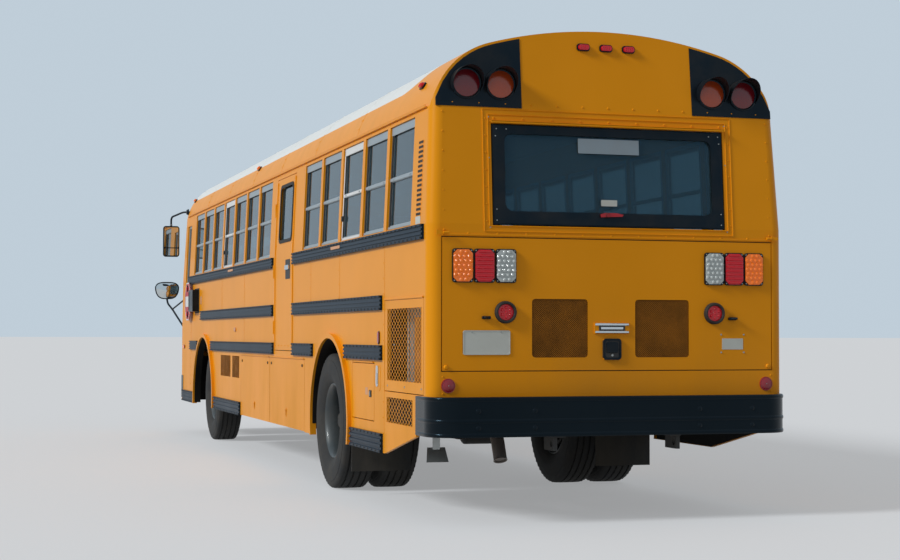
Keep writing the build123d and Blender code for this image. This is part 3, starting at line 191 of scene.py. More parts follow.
@dataclass(frozen=True)
class Finish:
    """One real material and how its surface was made, with any painted sky tint on its reflections and any
    painted glow.
    """

    name: str
    colour: str
    slot: str
    roughness: float = 0.5
    metallic: float = 0.0
    coat: float = 0.0
    transmission: float = 0.0
    grain_mm: float = 4.0
    grain_depth: float = 0.02
    pattern: Pattern = Pattern.DUST
    film: str = "#8a7457"
    film_share: float = 0.12
    ior: float = 1.5
    # strength of a painted glow, given to lenses of lamps that are not lit
    glow: float = 0.0
    # a painted sky colour that tints every reflection of the finish; white where no sky is painted
    sky: str = "#ffffff"

    def material(self) -> bpy.types.Material:
        """Make the material once and hand out the same one after that.

        Returns:
            The material.
        """
        found = bpy.data.materials.get(self.name)
        if found:
            return found
        made = bpy.data.materials.new(self.name)
        made.use_nodes = True
        tree = made.node_tree
        tree.nodes.clear()
        # Specular Tint takes the painted sky colour
        shader = add_node(tree, "ShaderNodeBsdfPrincipled", {"Metallic": self.metallic,
            "Coat Weight": self.coat, "Transmission Weight": self.transmission, "IOR": self.ior,
            "Specular Tint": srgb(self.sky)})
        # painted glow: the finish's own colour given off as light
        if self.glow:
            shader.inputs["Emission Color"].default_value = srgb(self.colour)
            shader.inputs["Emission Strength"].default_value = self.glow
        add_node(tree, "ShaderNodeOutputMaterial", links={"Surface": shader.outputs[0]})
        where = add_node(tree, "ShaderNodeTexCoord").outputs["Object"]
        self.dress(tree, shader, where)
        return made

    def dress(self, tree: Tree, shader: bpy.types.Node, where: Socket) -> None:
        """Feed the shader's colour, roughness and bump.

        Args:
            tree: The material's node tree.
            shader: Its Principled shader.
            where: The socket that gives a point's place in the frame.
        """
        base = self.base_colour(tree, where)
        share = self.film_mask(tree, where)
        colour = add_node(tree, "ShaderNodeMix", {"B": srgb(self.film)}, {"Factor": share, "A": base},
            data_type="RGBA")
        tree.links.new(colour.outputs["Result"], shader.inputs["Base Color"])
        rough = add_node(tree, "ShaderNodeMapRange", {"To Min": self.roughness,
            "To Max": min(0.95, self.roughness + 0.6)}, {"Value": share})
        tree.links.new(rough.outputs[0], shader.inputs["Roughness"])
        grain = add_node(tree, "ShaderNodeTexNoise", {"Scale": 1000 / self.grain_mm, "Detail": 2.0},
            {"Vector": where})
        bump = add_node(tree, "ShaderNodeBump", {"Strength": 1.0, "Distance": self.grain_depth * 0.001},
            {"Height": grain.outputs["Fac"]})
        tree.links.new(bump.outputs[0], shader.inputs["Normal"])

    def base_colour(self, tree: Tree, where: Socket) -> Socket:
        """Give the socket of the clean colour, with slow drifts of shade across it.

        Args:
            tree: The material's node tree.
            where: The socket that gives a point's place in the frame.

        Returns:
            The output socket of the colour.
        """
        drift = add_node(tree, "ShaderNodeTexNoise", {"Scale": 1.7, "Detail": 3.0}, {"Vector": where})
        clean = srgb(self.colour)
        faded = tuple(min(1.0, c * 1.06 + 0.006) for c in clean[:3]) + (1.0,)
        deep = tuple(c * 0.93 for c in clean[:3]) + (1.0,)
        mixed = add_node(tree, "ShaderNodeMix", {"A": deep, "B": faded}, {"Factor": drift.outputs["Fac"]},
            data_type="RGBA")
        return mixed.outputs["Result"]

    def film_mask(self, tree: Tree, where: Socket) -> Socket:
        """Give the socket that says how much dirt or dust covers a point, from 0 to 1.

        Args:
            tree: The material's node tree.
            where: The socket that gives a point's place in the frame.

        Returns:
            The output socket of the share.
        """
        stretch = {Pattern.ROAD_FILM: (1.6, 1.6, 0.5), Pattern.DUST: (6.0, 6.0, 6.0), Pattern.BRUSHED: (3.0,
            400.0, 400.0), Pattern.CLEAN: (2.0, 2.0, 2.0)}[self.pattern]
        placed = add_node(tree, "ShaderNodeMapping", {"Scale": stretch}, {"Vector": where})
        cloud = add_node(tree, "ShaderNodeTexNoise", {"Scale": 1.0, "Detail": 6.0, "Roughness": 0.6},
            {"Vector": placed.outputs[0]})
        patch = add_node(tree, "ShaderNodeMapRange", {"From Min": 0.35, "From Max": 0.75,
            "To Max": self.film_share}, {"Value": cloud.outputs["Fac"]})
        if self.pattern is not Pattern.ROAD_FILM:
            return patch.outputs[0]
        height = add_node(tree, "ShaderNodeSeparateXYZ", links={"Vector": where}).outputs["Z"]
        low = add_node(tree, "ShaderNodeMapRange", {"From Min": 1.5, "From Max": 0.3, "To Min": 0.15,
            "To Max": 1.6}, {"Value": height})
        film = add_node(tree, "ShaderNodeMath", links={0: patch.outputs[0], 1: low.outputs[0]},
            operation="MULTIPLY", use_clamp=True)
        return film.outputs[0]


@dataclass(frozen=True)
class TwoToneRoof(Finish):
    """Sprayed enamel with a white field masked off inside the yellow band."""

    field_colour: str = "#e9ecea"
    line_z: float = 2.82
    start: float = 0.64
    end: float = 10.8
    corner: float = 0.45

    def base_colour(self, tree: Tree, where: Socket) -> Socket:
        """Give white inside the masked field and yellow round it, as crisp as masking tape.

        Args:
            tree: The material's node tree.
            where: The socket that gives a point's place in the frame.

        Returns:
            The output socket of the colour.
        """
        parts = add_node(tree, "ShaderNodeSeparateXYZ", links={"Vector": where})
        inside = [self.measure(tree, parts.outputs["X"], fwd(self.start), 1.0),
            self.measure(tree, parts.outputs["Z"], self.line_z, 1.9)]
        short = []
        for depth in inside:
            lack = add_node(tree, "ShaderNodeMath", {0: self.corner}, {1: depth}, operation="SUBTRACT")
            short.append(add_node(tree, "ShaderNodeMath", {1: 0.0}, {0: lack.outputs[0]},
                operation="MAXIMUM").outputs[0])
        squares = [add_node(tree, "ShaderNodeMath", {1: 2.0}, {0: s}, operation="POWER").outputs[0]
            for s in short]
        total = add_node(tree, "ShaderNodeMath", links={0: squares[0], 1: squares[1]}, operation="ADD")
        white = add_node(tree, "ShaderNodeMath", {1: self.corner**2}, {0: total.outputs[0]},
            operation="LESS_THAN")
        ahead = add_node(tree, "ShaderNodeMath", {1: fwd(self.end)}, {0: parts.outputs["X"]},
            operation="LESS_THAN")
        both = add_node(tree, "ShaderNodeMath", links={0: white.outputs[0], 1: ahead.outputs[0]},
            operation="MULTIPLY")
        drift = super().base_colour(tree, where)
        mixed = add_node(tree, "ShaderNodeMix", {"B": srgb(self.field_colour)}, {"Factor": both.outputs[0],
            "A": drift}, data_type="RGBA")
        return mixed.outputs["Result"]

    @staticmethod
    def measure(tree: Tree, socket: Socket, start: float, scale: float) -> Socket:
        """Give how far a coordinate is past a start, times a scale."""
        past = add_node(tree, "ShaderNodeMath", {1: start}, {0: socket}, operation="SUBTRACT")
        return add_node(tree, "ShaderNodeMath", {1: scale}, {0: past.outputs[0]},
            operation="MULTIPLY").outputs[0]


@dataclass(frozen=True)
class VinylSeat(Finish):
    """Knit-backed vinyl, embossed with a leather grain by a hot roller."""

    cell_mm: float = 5.0

    def dress(self, tree: Tree, shader: bpy.types.Node, where: Socket) -> None:
        """Add the embossed cells over the plain dressing.

        Args:
            tree: The material's node tree.
            shader: Its Principled shader.
            where: The socket that gives a point's place in the frame.
        """
        super().dress(tree, shader, where)
        cells = add_node(tree, "ShaderNodeTexVoronoi", {"Scale": 1000 / self.cell_mm}, {"Vector": where},
            feature="DISTANCE_TO_EDGE")
        bump = add_node(tree, "ShaderNodeBump", {"Strength": 0.6, "Distance": 0.0006},
            {"Height": cells.outputs["Distance"]})
        tree.links.new(bump.outputs[0], shader.inputs["Normal"])


@dataclass(frozen=True)
class PrismLens(Finish):
    """Injection-moulded polycarbonate with rows of pillow optics behind a smooth face."""

    cell_mm: float = 16.0

    def dress(self, tree: Tree, shader: bpy.types.Node, where: Socket) -> None:
        """Paint shading on each pillow optic: lighter in its middle, darker at its edge.

        Args:
            tree: The material's node tree.
            shader: Its Principled shader.
            where: The socket that gives a point's place in the frame.
        """
        placed = add_node(tree, "ShaderNodeMapping", {"Scale": (0.2, 1.0, 1.0)}, {"Vector": where})
        cells = add_node(tree, "ShaderNodeTexVoronoi", {"Scale": 1000 / self.cell_mm, "Randomness": 0.12},
            {"Vector": placed.outputs[0]})
        # painted shading: each optic lighter in its middle, darker towards its edge
        deep = tuple(c * 0.7 for c in srgb(self.colour)[:3]) + (1.0,)
        painted_optic_shade = add_node(tree, "ShaderNodeMapRange", {"From Min": 0.1, "From Max": 0.55},
            {"Value": cells.outputs["Distance"]})
        colour = add_node(tree, "ShaderNodeMix", {"A": srgb(self.colour), "B": deep},
            {"Factor": painted_optic_shade.outputs[0]}, data_type="RGBA")
        tree.links.new(colour.outputs["Result"], shader.inputs["Base Color"])
        shader.inputs["Roughness"].default_value = self.roughness
        bump = add_node(tree, "ShaderNodeBump", {"Strength": 0.5, "Distance": 0.002},
            {"Height": cells.outputs["Distance"]}, invert=True)
        tree.links.new(bump.outputs[0], shader.inputs["Normal"])


# Sprayed two-pack enamel on galvanised sheet: warm, glossy, faintly orange-peeled, filmed low down
YELLOW = Finish("YellowEnamelOnSteel", "#f09a00", "body_yellow", roughness=0.34, ior=1.25, grain_mm=9,
    grain_depth=0.06, pattern=Pattern.ROAD_FILM, film="#9c7a45", film_share=0.22)
# The same enamel with the white field masked off: one coat, so the gloss runs on over the line
ROOF = TwoToneRoof("TwoToneRoofEnamel", "#f09a00", "roof_white", roughness=0.34, ior=1.25, grain_mm=9,
    grain_depth=0.06, film="#b9b09c", film_share=0.15)
# White enamel on the hatch lids: chalked a little by the sun
WHITE = Finish("WhiteHatchEnamel", "#e4e7e4", "hatch_white", roughness=0.45, film="#b9b09c", film_share=0.2)
# Roll-formed rails in semi-gloss black, with a blue cast and a sky-blue tint on their reflections: painted
# reflection of a blue sky, which the ribs show as blue-grey lines
RAIL_BLACK = Finish("SemiGlossBlackEnamelOnSteel", "#102434", "black_paint", roughness=0.34, ior=1.18,
    sky="#7fa8c2", pattern=Pattern.ROAD_FILM, film="#4c4a44")
# Bumper steel in gloss black: wet-looking corners, reflections tinted a painted sky blue, and a thin bloom
# of dust
BUMPER_BLACK = Finish("GlossBlackEnamelOnBumperSteel", "#090e12", "black_paint", roughness=0.2, ior=1.36,
    sky="#7fa8c2", grain_mm=60, grain_depth=0.3, pattern=Pattern.ROAD_FILM, film="#2a3238", film_share=0.08)
# Sprayed underseal inside skirts and arches: dead black and pebbly
UNDERSEAL = Finish("SprayedBitumenUnderseal", "#0c0c0c", "chassis_black", roughness=0.92, ior=1.3,
    grain_mm=8, grain_depth=0.6, film="#3c362c", film_share=0.25)
# Expanded steel mesh dipped in the body's enamel: darker and browner than the body, partly from dust in its
# diamonds and partly as painted shade for its dark openings
MESH = Finish("DippedExpandedSteelMesh", "#a8670c", "body_yellow", ior=1.33, film="#4c3313", film_share=0.6)
# Frosted vinyl label over the exit handle, blank: milky blue-grey
FROSTED = Finish("FrostedVinylLabel", "#8b9aa4", "hatch_white", roughness=0.6)
# Powder-coated chassis steel: dull, dusty, slightly rough
CHASSIS = Finish("PowderCoatedChassisSteel", "#1c1e1f", "chassis_black", roughness=0.7, grain_mm=5,
    grain_depth=0.15, film="#5f574a", film_share=0.35)
# Extruded and clear-anodised aluminium: soft metal shine with fine draw lines
ALUMINIUM = Finish("ClearAnodisedAluminiumExtrusion", "#b9c0c2", "window_aluminium", roughness=0.36,
    metallic=0.85, pattern=Pattern.BRUSHED, film="#8f979a", film_share=0.35)
# Body-tinted toughened float glass: dark blue, mirror smooth, its reflections tinted a painted sky blue
TINTED = Finish("TintedToughenedGlass", "#708c97", "tinted_glass", roughness=0.02, transmission=0.86,
    sky="#62a0c8", grain_mm=300, grain_depth=0.0, pattern=Pattern.CLEAN, film="#7c8c92", film_share=0.05)
# Clear laminated glass of the windshield and doors: pale green in its depth
CLEAR = Finish("ClearLaminatedGlass", "#a9c6cb", "clear_glass", roughness=0.02, transmission=0.92, ior=1.52,
    grain_mm=300, grain_depth=0.0, pattern=Pattern.CLEAN, film="#9aa6a8", film_share=0.04)
# Vulcanised tyre compound: dark warm grey, matt, with dried road dust
TYRE = Finish("VulcanisedTyreRubber", "#1d1e1f", "tyre_rubber", roughness=0.82, grain_mm=3,
    grain_depth=0.12, film="#5a544a", film_share=0.3)
# Spun steel discs in baked black enamel: polished glints on a dark dish
WHEEL = Finish("BakedEnamelWheelSteel", "#3a4245", "wheel_steel", roughness=0.38, metallic=0.35, coat=0.2,
    film="#6d665a", film_share=0.25)
# Zinc-plated nuts, screws and rivets: pale grey metal
ZINC = Finish("ZincPlatedSteel", "#a9aba8", "wheel_steel", roughness=0.35, metallic=0.9, film="#77736a",
    film_share=0.2)
# Sand-cast iron under thin black paint: coarse, dull and dusty
CAST = Finish("SandCastIron", "#2b2c2c", "cast_parts", roughness=0.75, metallic=0.3, grain_depth=0.3,
    film="#5f574a", film_share=0.35)
# Ribbed rubber flooring: charcoal, satin from shoes
FLOOR = Finish("RibbedRubberFlooring", "#2c2e30", "floor_rubber", roughness=0.6, grain_mm=3,
    grain_depth=0.2, film="#6a655c", film_share=0.25)
# Seat vinyl: navy, softly shining over its padding
VINYL = VinylSeat("EmbossedSeatVinyl", "#1d2c40", "seat_vinyl", roughness=0.45, film="#43505e",
    film_share=0.15)
# Powder-coated steel tube under the seats: dark satin
SEAT_STEEL = Finish("PowderCoatedSeatTube", "#30363a", "seat_steel", film_share=0.1)
# Moulded textured ABS: dark grey with a fine spark-eroded grain
ABS = Finish("SparkErodedMouldedABS", "#1e2022", "dash_plastic", roughness=0.55, grain_mm=2,
    grain_depth=0.12, film_share=0.08)
# Gloss-moulded black ABS of lamp housings and hoods: crisp reflections, tinted a painted sky blue
HOOD = Finish("GlossMouldedBlackABS", "#0d151c", "black_paint", roughness=0.3, ior=1.4, sky="#7fa8c2",
    film_share=0.06)
# EPDM gasket, extruded: matt black
GASKET = Finish("ExtrudedEPDMGasket", "#121415", "flap_rubber", roughness=0.75)
# Moulded rubber flap: browned by road dust towards its lower edge
FLAP = Finish("MouldedRubberFlap", "#1b1c1c", "flap_rubber", roughness=0.8, film="#6d665a", film_share=0.45,
    pattern=Pattern.ROAD_FILM)
# Aluminised exhaust tube: dulled and browned by heat
EXHAUST = Finish("AluminisedExhaustSteel", "#77706a", "exhaust_steel", metallic=0.8, film="#5b4434",
    film_share=0.5)
# Polished chrome plate on badges and latches: close to a mirror
CHROME = Finish("PolishedChromePlate", "#d4d8da", "window_aluminium", roughness=0.12, metallic=1.0,
    film_share=0.05)
# Lens modules in moulded polycarbonate: pillow optics, each painted lighter in its middle and darker at its
# edge, and on the red and amber ones a faint painted glow that stands in for daylight thrown back by the
# reflectors behind them; the lamps are unlit
RED_LENS = PrismLens("RedPillowLens", "#e00c24", "lamp_red", roughness=0.12, coat=0.15, glow=0.1)
AMBER_LENS = PrismLens("AmberPillowLens", "#ff7c10", "lamp_red", roughness=0.12, coat=0.15, glow=0.22)
CLEAR_LENS = PrismLens("ClearPillowLens", "#dfe8e6", "lamp_red", roughness=0.12, coat=0.5)
# Large warning lamps behind hoods: finer optics, each painted lighter in its middle and darker at its edge;
# unlit
RED_DOME = PrismLens("RedWarningDome", "#8e1220", "lamp_red", roughness=0.15, coat=0.4, cell_mm=9)
AMBER_DOME = PrismLens("AmberWarningDome", "#d4501c", "lamp_red", roughness=0.15, coat=0.4, cell_mm=9)
# Retroreflective sheeting on the arm: red field and white border, left blank
SIGN_RED = Finish("RedReflectiveSheeting", "#b71628", "sign_red", roughness=0.4, grain_depth=0.05,
    film_share=0.08)
SIGN_WHITE = Finish("WhiteReflectiveSheeting", "#dfe1e0", "sign_red", roughness=0.4, grain_depth=0.05,
    film_share=0.08)
# Moulded prism reflector: deep red, its fine prism cells painted lighter in the middle and darker at the
# edge as a painted sparkle
RED_REFLECTOR = PrismLens("RedPrismReflector", "#b3122a", "lamp_red", roughness=0.18, coat=0.4, cell_mm=6)
# Reflective tape on the belt rail: flat pale amber
AMBER_REFLECTOR = Finish("AmberReflectiveTape", "#d89a6a", "lamp_red", roughness=0.4)
# Enamelled aluminium plate and vinyl labels, blank: eggshell white
PLATE = Finish("EnamelledAluminiumPlate", "#c9cdc6", "hatch_white", roughness=0.4, film_share=0.15)
# Silvered mirror glass: reflects without blur
MIRROR = Finish("SilveredMirrorGlass", "#cfd6d8", "window_aluminium", roughness=0.02, metallic=1.0,
    grain_mm=400, grain_depth=0.0, pattern=Pattern.CLEAN, film_share=0.03)


POLE = 0.0001  # radius at which a turned form closes on its axis


class Hole(Enum):
    """How the holes of a screen were made."""

    PUNCHED = "round holes punched in rows"
    EXPANDED = "diamonds from slit and stretched sheet"


class Form:
    """A mesh put together from worked forms, in metres, and then handed to a body."""

    def __init__(self, name: str) -> None:
        """Start an empty form.

        Args:
            name: The piece's name in the table.
        """
        self.name = name
        self.points: list[Point] = []
        self.faces: Faces = []
        self.finish_of: list[int] = []
        self.finishes: list[Finish] = []

    def number(self, finish: Finish) -> int:
        """Give a finish's number on this form, adding it at its first use."""
        if finish not in self.finishes:
            self.finishes.append(finish)
        return self.finishes.index(finish)

    def patch(self, points: Sequence[Coords], faces: Sequence[Sequence[int]], finish: Finish) -> None:
        """Add points and the faces between them.

        Args:
            points: The points, in metres.
            faces: Faces as numbers of these points.
            finish: What they are made of.
        """
        start = len(self.points)
        self.points.extend((p[0], p[1], p[2]) for p in points)
        self.faces.extend(tuple(start + k for k in face) for face in faces)
        self.finish_of.extend([self.number(finish)] * len(faces))

    def slab(self, low: Coords, high: Coords, finish: Finish, edge: float = 0.002) -> None:
        """Add a plate with its twelve edges broken.

        Args:
            low: Its lowest corner.
            high: Its highest corner.
            finish: What it is made of.
            edge: Width of the broken edges.
        """
        middle = [(a + b) / 2 for a, b in zip(low, high)]
        half = [abs(b - a) / 2 for a, b in zip(low, high)]
        cut = min([edge, *[h * 0.45 for h in half]])
        points, faces, index = [], [], {}
        signs = [(i, j, k) for i in (-1, 1) for j in (-1, 1) for k in (-1, 1)]
        for corner in signs:
            for axis in range(3):
                index[corner, axis] = len(points)
                points.append([middle[a] + corner[a] * (half[a] - (cut if a != axis else 0))
                    for a in range(3)])
        for corner in signs:
            trio = [index[corner, a] for a in range(3)]
            faces.append(trio if math.prod(corner) > 0 else trio[::-1])
        for axis in range(3):
            one, two = [a for a in range(3) if a != axis]
            for way in (-1, 1):
                loop = []
                for i, j in ((-1, -1), (1, -1), (1, 1), (-1, 1)):
                    corner = [0, 0, 0]
                    corner[axis], corner[one], corner[two] = way, i, j
                    loop.append(index[tuple(corner), axis])
                turn = way * (1 if axis != 1 else -1)
                faces.append(loop if turn > 0 else loop[::-1])
            for i in (-1, 1):
                for j in (-1, 1):
                    ends = []
                    for way in (-1, 1):
                        corner = [0, 0, 0]
                        corner[axis], corner[one], corner[two] = way, i, j
                        ends.append(tuple(corner))
                    loop = [index[ends[0], one], index[ends[1], one], index[ends[1], two],
                        index[ends[0], two]]
                    turn = i * j * (1 if axis != 1 else -1)
                    faces.append(loop[::-1] if turn > 0 else loop)
        self.patch(points, faces, finish)

    def lathe(self, centre: Point, axis: Coords, profile: Sequence[Flat], finish: Finish, turns: int = 24,
            sweep: float = 360.0, start: float = 0.0) -> None:
        """Turn a profile about an axis.

        Args:
            centre: Where the profile's heights start.
            axis: Direction of the heights.
            profile: (radius, height) points, from the outside of the form to its inside.
            finish: What it is made of.
            turns: How many steps a full turn has.
            sweep: How far it turns, in degrees.
            start: Where it starts, in degrees from the up direction.
        """
        along = Vector(axis).normalized()
        one = upright(along)
        two = along.cross(one)
        steps = max(3, round(turns * sweep / 360))
        whole = sweep >= 360
        columns = steps if whole else steps + 1
        points = []
        for k in range(columns):
            angle = math.radians(start + sweep * k / steps)
            out = one * math.cos(angle) + two * math.sin(angle)
            points.extend(Vector(centre) + out * r + along * h for r, h in profile)
        faces = strips(columns, len(profile), around=whole)
        self.patch(points, faces, finish)

    def prism(self, outline: Sequence[Flat], origin: Point, across: Coords, up: Coords, depth: float,
            finish: Finish) -> None:
        """Push a flat outline out along the normal of its plane.

        Args:
            outline: (across, up) points, counter-clockwise seen from the outside.
            origin: Where (0, 0) lies.
            across: Direction of the first coordinate.
            up: Direction of the second.
            depth: How far it stands out.
            finish: What it is made of.
        """
        a, b = Vector(across), Vector(up)
        normal = a.cross(b).normalized()
        foot = [Vector(origin) + a * u + b * v for u, v in outline]
        points = foot + [p + normal * depth for p in foot]
        n = len(foot)
        caps = [tuple(range(n, 2 * n)), tuple(reversed(range(n)))]
        self.patch(points, caps + strips(2, n, closed=True), finish)

    def frame(self, outer: Sequence[Flat], inner: Sequence[Flat], origin: Point, across: Coords, up: Coords,
            depth: float, finish: Finish) -> None:
        """Push out the band between two outlines that have the same number of points.

        Args:
            outer: The band's outer outline.
            inner: Its inner outline.
            origin: Where (0, 0) lies.
            across: Direction of the first coordinate.
            up: Direction of the second.
            depth: How far it stands out.
            finish: What it is made of.
        """
        a, b = Vector(across), Vector(up)
        normal = a.cross(b).normalized()
        low = [Vector(origin) + a * u + b * v for u, v in [*outer, *inner]]
        n = len(outer)
        points = low + [p + normal * depth for p in low]
        faces = []
        for k in range(n):
            m = (k + 1) % n
            faces.append((2 * n + k, 2 * n + m, 3 * n + m, 3 * n + k))
            faces.append((k, m, 2 * n + m, 2 * n + k))
            faces.append((n + m, n + k, 3 * n + k, 3 * n + m))
        self.patch(points, faces, finish)

    def tube(self, path: Sequence[Coords], radius: float, finish: Finish, turns: int = 10,
            smooth: int = 6) -> None:
        """Run a round bar along a path, its corners eased.

        Args:
            path: The points that it passes.
            radius: Half its thickness.
            finish: What it is made of.
            turns: Sides of its section.
            smooth: Steps on each eased corner.
        """
        route = list(ease([Vector(p) for p in path], radius * 4, smooth))
        rings: list[Vector] = []
        last = None
        for k, point in enumerate(route):
            ahead = (route[min(k + 1, len(route) - 1)] - route[max(k - 1, 0)]).normalized()
            if last is None:
                last = upright(ahead)
            last = (last - ahead * last.dot(ahead)).normalized()
            other = ahead.cross(last)
            for t in range(turns):
                angle = 2 * math.pi * t / turns
                rings.append(point + (last * math.cos(angle) + other * math.sin(angle)) * radius)
        faces = strips(len(route), turns, closed=True)
        faces.append(tuple(reversed(range(turns))))
        faces.append(tuple(range((len(route) - 1) * turns, len(route) * turns)))
        self.patch(rings, faces, finish)

    def rivet(self, place: Coords, normal: Coords, finish: Finish, radius: float = 0.0075,
            height: float = 0.0045) -> None:
        """Set one low domed rivet on a surface."""
        self.lathe(tuple(place), normal, [(POLE, height), (radius * 0.6, height * 0.85), (radius, -0.001)],
            finish, turns=6)

    def bolt(self, place: Coords, axis: Coords, radius: float, height: float, finish: Finish = ZINC,
            turns: int = 6, flare: float = 0.001) -> None:
        """Set one bolt head or cap, its foot a flare wider than its top."""
        self.lathe(tuple(place), axis, [(POLE, height), (radius, height), (radius + flare, 0.0)], finish,
            turns)

    def row(self, start: Coords, end: Coords, pitch: float, normal: Coords, finish: Finish,
            radius: float = 0.0075) -> None:
        """Set rivets in a line, as near to a pitch as fits.

        Args:
            start: Place of the first rivet.
            end: Place of the last.
            pitch: Distance wanted between them.
            normal: Direction in which they stand out.
            finish: What they are made of.
            radius: Radius of their heads.
        """
        a, b = Vector(start), Vector(end)
        count = max(1, round((b - a).length / pitch))
        for k in range(count + 1):
            self.rivet(a.lerp(b, k / count), normal, finish, radius)

    def grille(self, origin: Point, across: Coords, up: Coords, size: Flat, cell: Flat, hole: Flat,
            finish: Finish, kind: Hole = Hole.PUNCHED, thick: float = 0.003) -> None:
        """Make sheet with staggered rows of holes through it.

        Args:
            origin: Its corner.
            across: Direction of its width.
            up: Direction of its height.
            size: Its width and height.
            cell: Distance between holes in a row, and between rows (of like columns, in expanded sheet).
            hole: Half width and half height of each hole.
            finish: What it is made of.
            kind: How the holes were made.
            thick: Thickness of the sheet.
        """
        a, b = Vector(across), Vector(up)
        normal = a.cross(b).normalized()
        width, height = size
        columns, rows = max(1, round(width / cell[0])), max(1, round(height / cell[1]))
        step_u, step_v = width / columns, height / rows
        if kind is Hole.EXPANDED:
            ring = [(0.0, 1.0), (1.0, 0.0), (0.0, -1.0), (-1.0, 0.0)]
            reach = (step_u / 2, step_v / 2)
            middles = [(c * step_u + (r % 2) * step_u / 2, r * step_v / 2) for r in range(2 * rows + 1)
                for c in range(columns + 1 - r % 2)]
        else:
            ring = [(math.sin(math.radians(60 * k)), math.cos(math.radians(60 * k))) for k in range(6)]
            reach = (step_u * 0.5774, step_v * 0.6667)
            middles = [((c + 0.5 + (0.25 if r % 2 else -0.25)) * step_u, (r + 0.5) * step_v)
                for r in range(rows) for c in range(columns)]
        points: list[Vector] = []
        faces: Faces = []
        turns = len(ring)
        for u, v in middles:
            start = len(points)
            for (du, dv), depth in ((reach, 0), (hole, 0), (hole, 1)):
                for x, y in ring:
                    pu = min(max(u + x * du, 0.0), width)
                    pv = min(max(v + y * dv, 0.0), height)
                    points.append(Vector(origin) + a * pu + b * pv - normal * thick * depth)
            for k in range(turns):
                m = (k + 1) % turns
                faces.append((start + m, start + k, start + turns + k, start + turns + m))
                faces.append((start + turns + m, start + turns + k, start + 2 * turns + k,
                    start + 2 * turns + m))
        self.patch(points, faces, finish)

    def place(self, slot: str | None = None, *replaces: str, body: str = "chassis_and_body",
            sharp: float = 35.0) -> bpy.types.Object:
        """Turn the form into a piece that rides on a body.

        Args:
            slot: The record's material slot, or the first finish's own.
            *replaces: CAD nodes that it stands for.
            body: The CAD body that carries it.
            sharp: Angle in degrees above which an edge stays crisp.

        Returns:
            The new object.
        """
        mesh = bpy.data.meshes.new(self.name)
        mesh.from_pydata(self.points, [], self.faces)
        for finish in self.finishes:
            mesh.materials.append(finish.material())
        mesh.polygons.foreach_set("material_index", self.finish_of)
        mesh.polygons.foreach_set("use_smooth", [True] * len(mesh.polygons))
        mesh.set_sharp_from_angle(angle=math.radians(sharp))
        mesh.update()
        made = bpy.data.objects.new(self.name, mesh)
        bpy.context.scene.collection.objects.link(made)
        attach(made, body)
        if replaces:
            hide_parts(*replaces)
        return made


def ease(path: Sequence[Vector], reach: float, steps: int) -> Iterator[Vector]:
    """Walk a path with its corners turned into short curves.

    Args:
        path: The corner points.
        reach: How far from a corner its curve starts.
        steps: Points on each curve.

    Yields:
        The points of the eased path.
    """
    yield path[0]
    for before, corner, after in zip(path, path[1:], path[2:]):
        near = min(reach, (corner - before).length / 2.2, (after - corner).length / 2.2)
        enter = corner + (before - corner).normalized() * near
        leave = corner + (after - corner).normalized() * near
        for k in range(steps + 1):
            t = k / steps
            yield enter * (1 - t) ** 2 + corner * 2 * t * (1 - t) + leave * t**2
    yield path[-1]


def upright(along: Vector) -> Vector:
    """Give the direction square to an axis that lies nearest to up, or ahead if the axis is upright."""
    up = Vector((0, 0, 1)) if abs(along.z) < 0.9 else Vector((1, 0, 0))
    return (up - along * up.dot(along)).normalized()


def circle(count: int, radius: float, start: float = 0.0) -> list[Flat]:
    """Give even steps round a circle as pairs of offsets, from a start in degrees."""
    angles = [math.radians(start + 360 * k / count) for k in range(count)]
    return [(radius * math.cos(angle), radius * math.sin(angle)) for angle in angles]


def strips(rows: int, columns: int, closed: bool = False, around: bool = False,
        flip: bool = False) -> Faces:
    """Give the quads between rows of points that follow one another.

    Args:
        rows: Number of rows.
        columns: Points in each row.
        closed: Whether each row runs round to its own start.
        around: Whether the last row joins the first.
        flip: Whether the quads look the other way.

    Returns:
        The quads as point numbers.
    """
    faces = []
    for r in range(rows if around else rows - 1):
        for k in range(columns if closed else columns - 1):
            a, b = r * columns, (r + 1) % rows * columns
            m = (k + 1) % columns
            quad = (a + k, a + m, b + m, b + k)
            faces.append(quad[::-1] if flip else quad)
    return faces


def oblong(half: float, tall: float, radius: float, steps: int = 5) -> list[Flat]:
    """Give the outline of a rounded rectangle by its half width and half height."""
    return rounded(-half, half, -tall, tall, radius, steps)


def rounded(x0: float, x1: float, y0: float, y1: float, radius: float, steps: int = 5) -> list[Flat]:
    """Give a rectangle's outline with round corners, counter-clockwise.

    Args:
        x0: Lowest first coordinate.
        x1: Highest first coordinate.
        y0: Lowest second coordinate.
        y1: Highest second coordinate.
        radius: Radius of the corners.
        steps: Steps on each corner.

    Returns:
        The outline's points.
    """
    outline = []
    corners = ((x1 - radius, y1 - radius, 0), (x0 + radius, y1 - radius, 90), (x0 + radius, y0 + radius,
        180), (x1 - radius, y0 + radius, 270))
    for cx, cy, first in corners:
        for k in range(steps + 1):
            angle = math.radians(first + 90 * k / steps)
            outline.append((cx + radius * math.cos(angle), cy + radius * math.sin(angle)))
    return outline


REARWARD = (-1.0, 0.0, 0.0)
ACROSS_REAR = (0.0, -1.0, 0.0)
UP = (0.0, 0.0, 1.0)
REAR = (ACROSS_REAR, UP)  # directions of a flat piece on the rear face
SIDES = ((1, "left"), (-1, "right"))


def rear_point(y: float, z: float, proud: float = 0.0) -> Point:
    """Give a point on the rear face, or a distance proud of it."""
    return (fwd(rear_x(z) - proud), y, z)


def side_point(x: float, z: float, sign: int = 1, proud: float = 0.0) -> Point:
    """Give a point on a side wall, or a distance proud of it."""
    return (fwd(x), sign * (side_y(z) + proud), z)


def side_axes(sign: int) -> tuple[Point, Point]:
    """Give the across and up directions of an upright side, seen from outside."""
    return ((-1.0 * sign, 0.0, 0.0), UP)


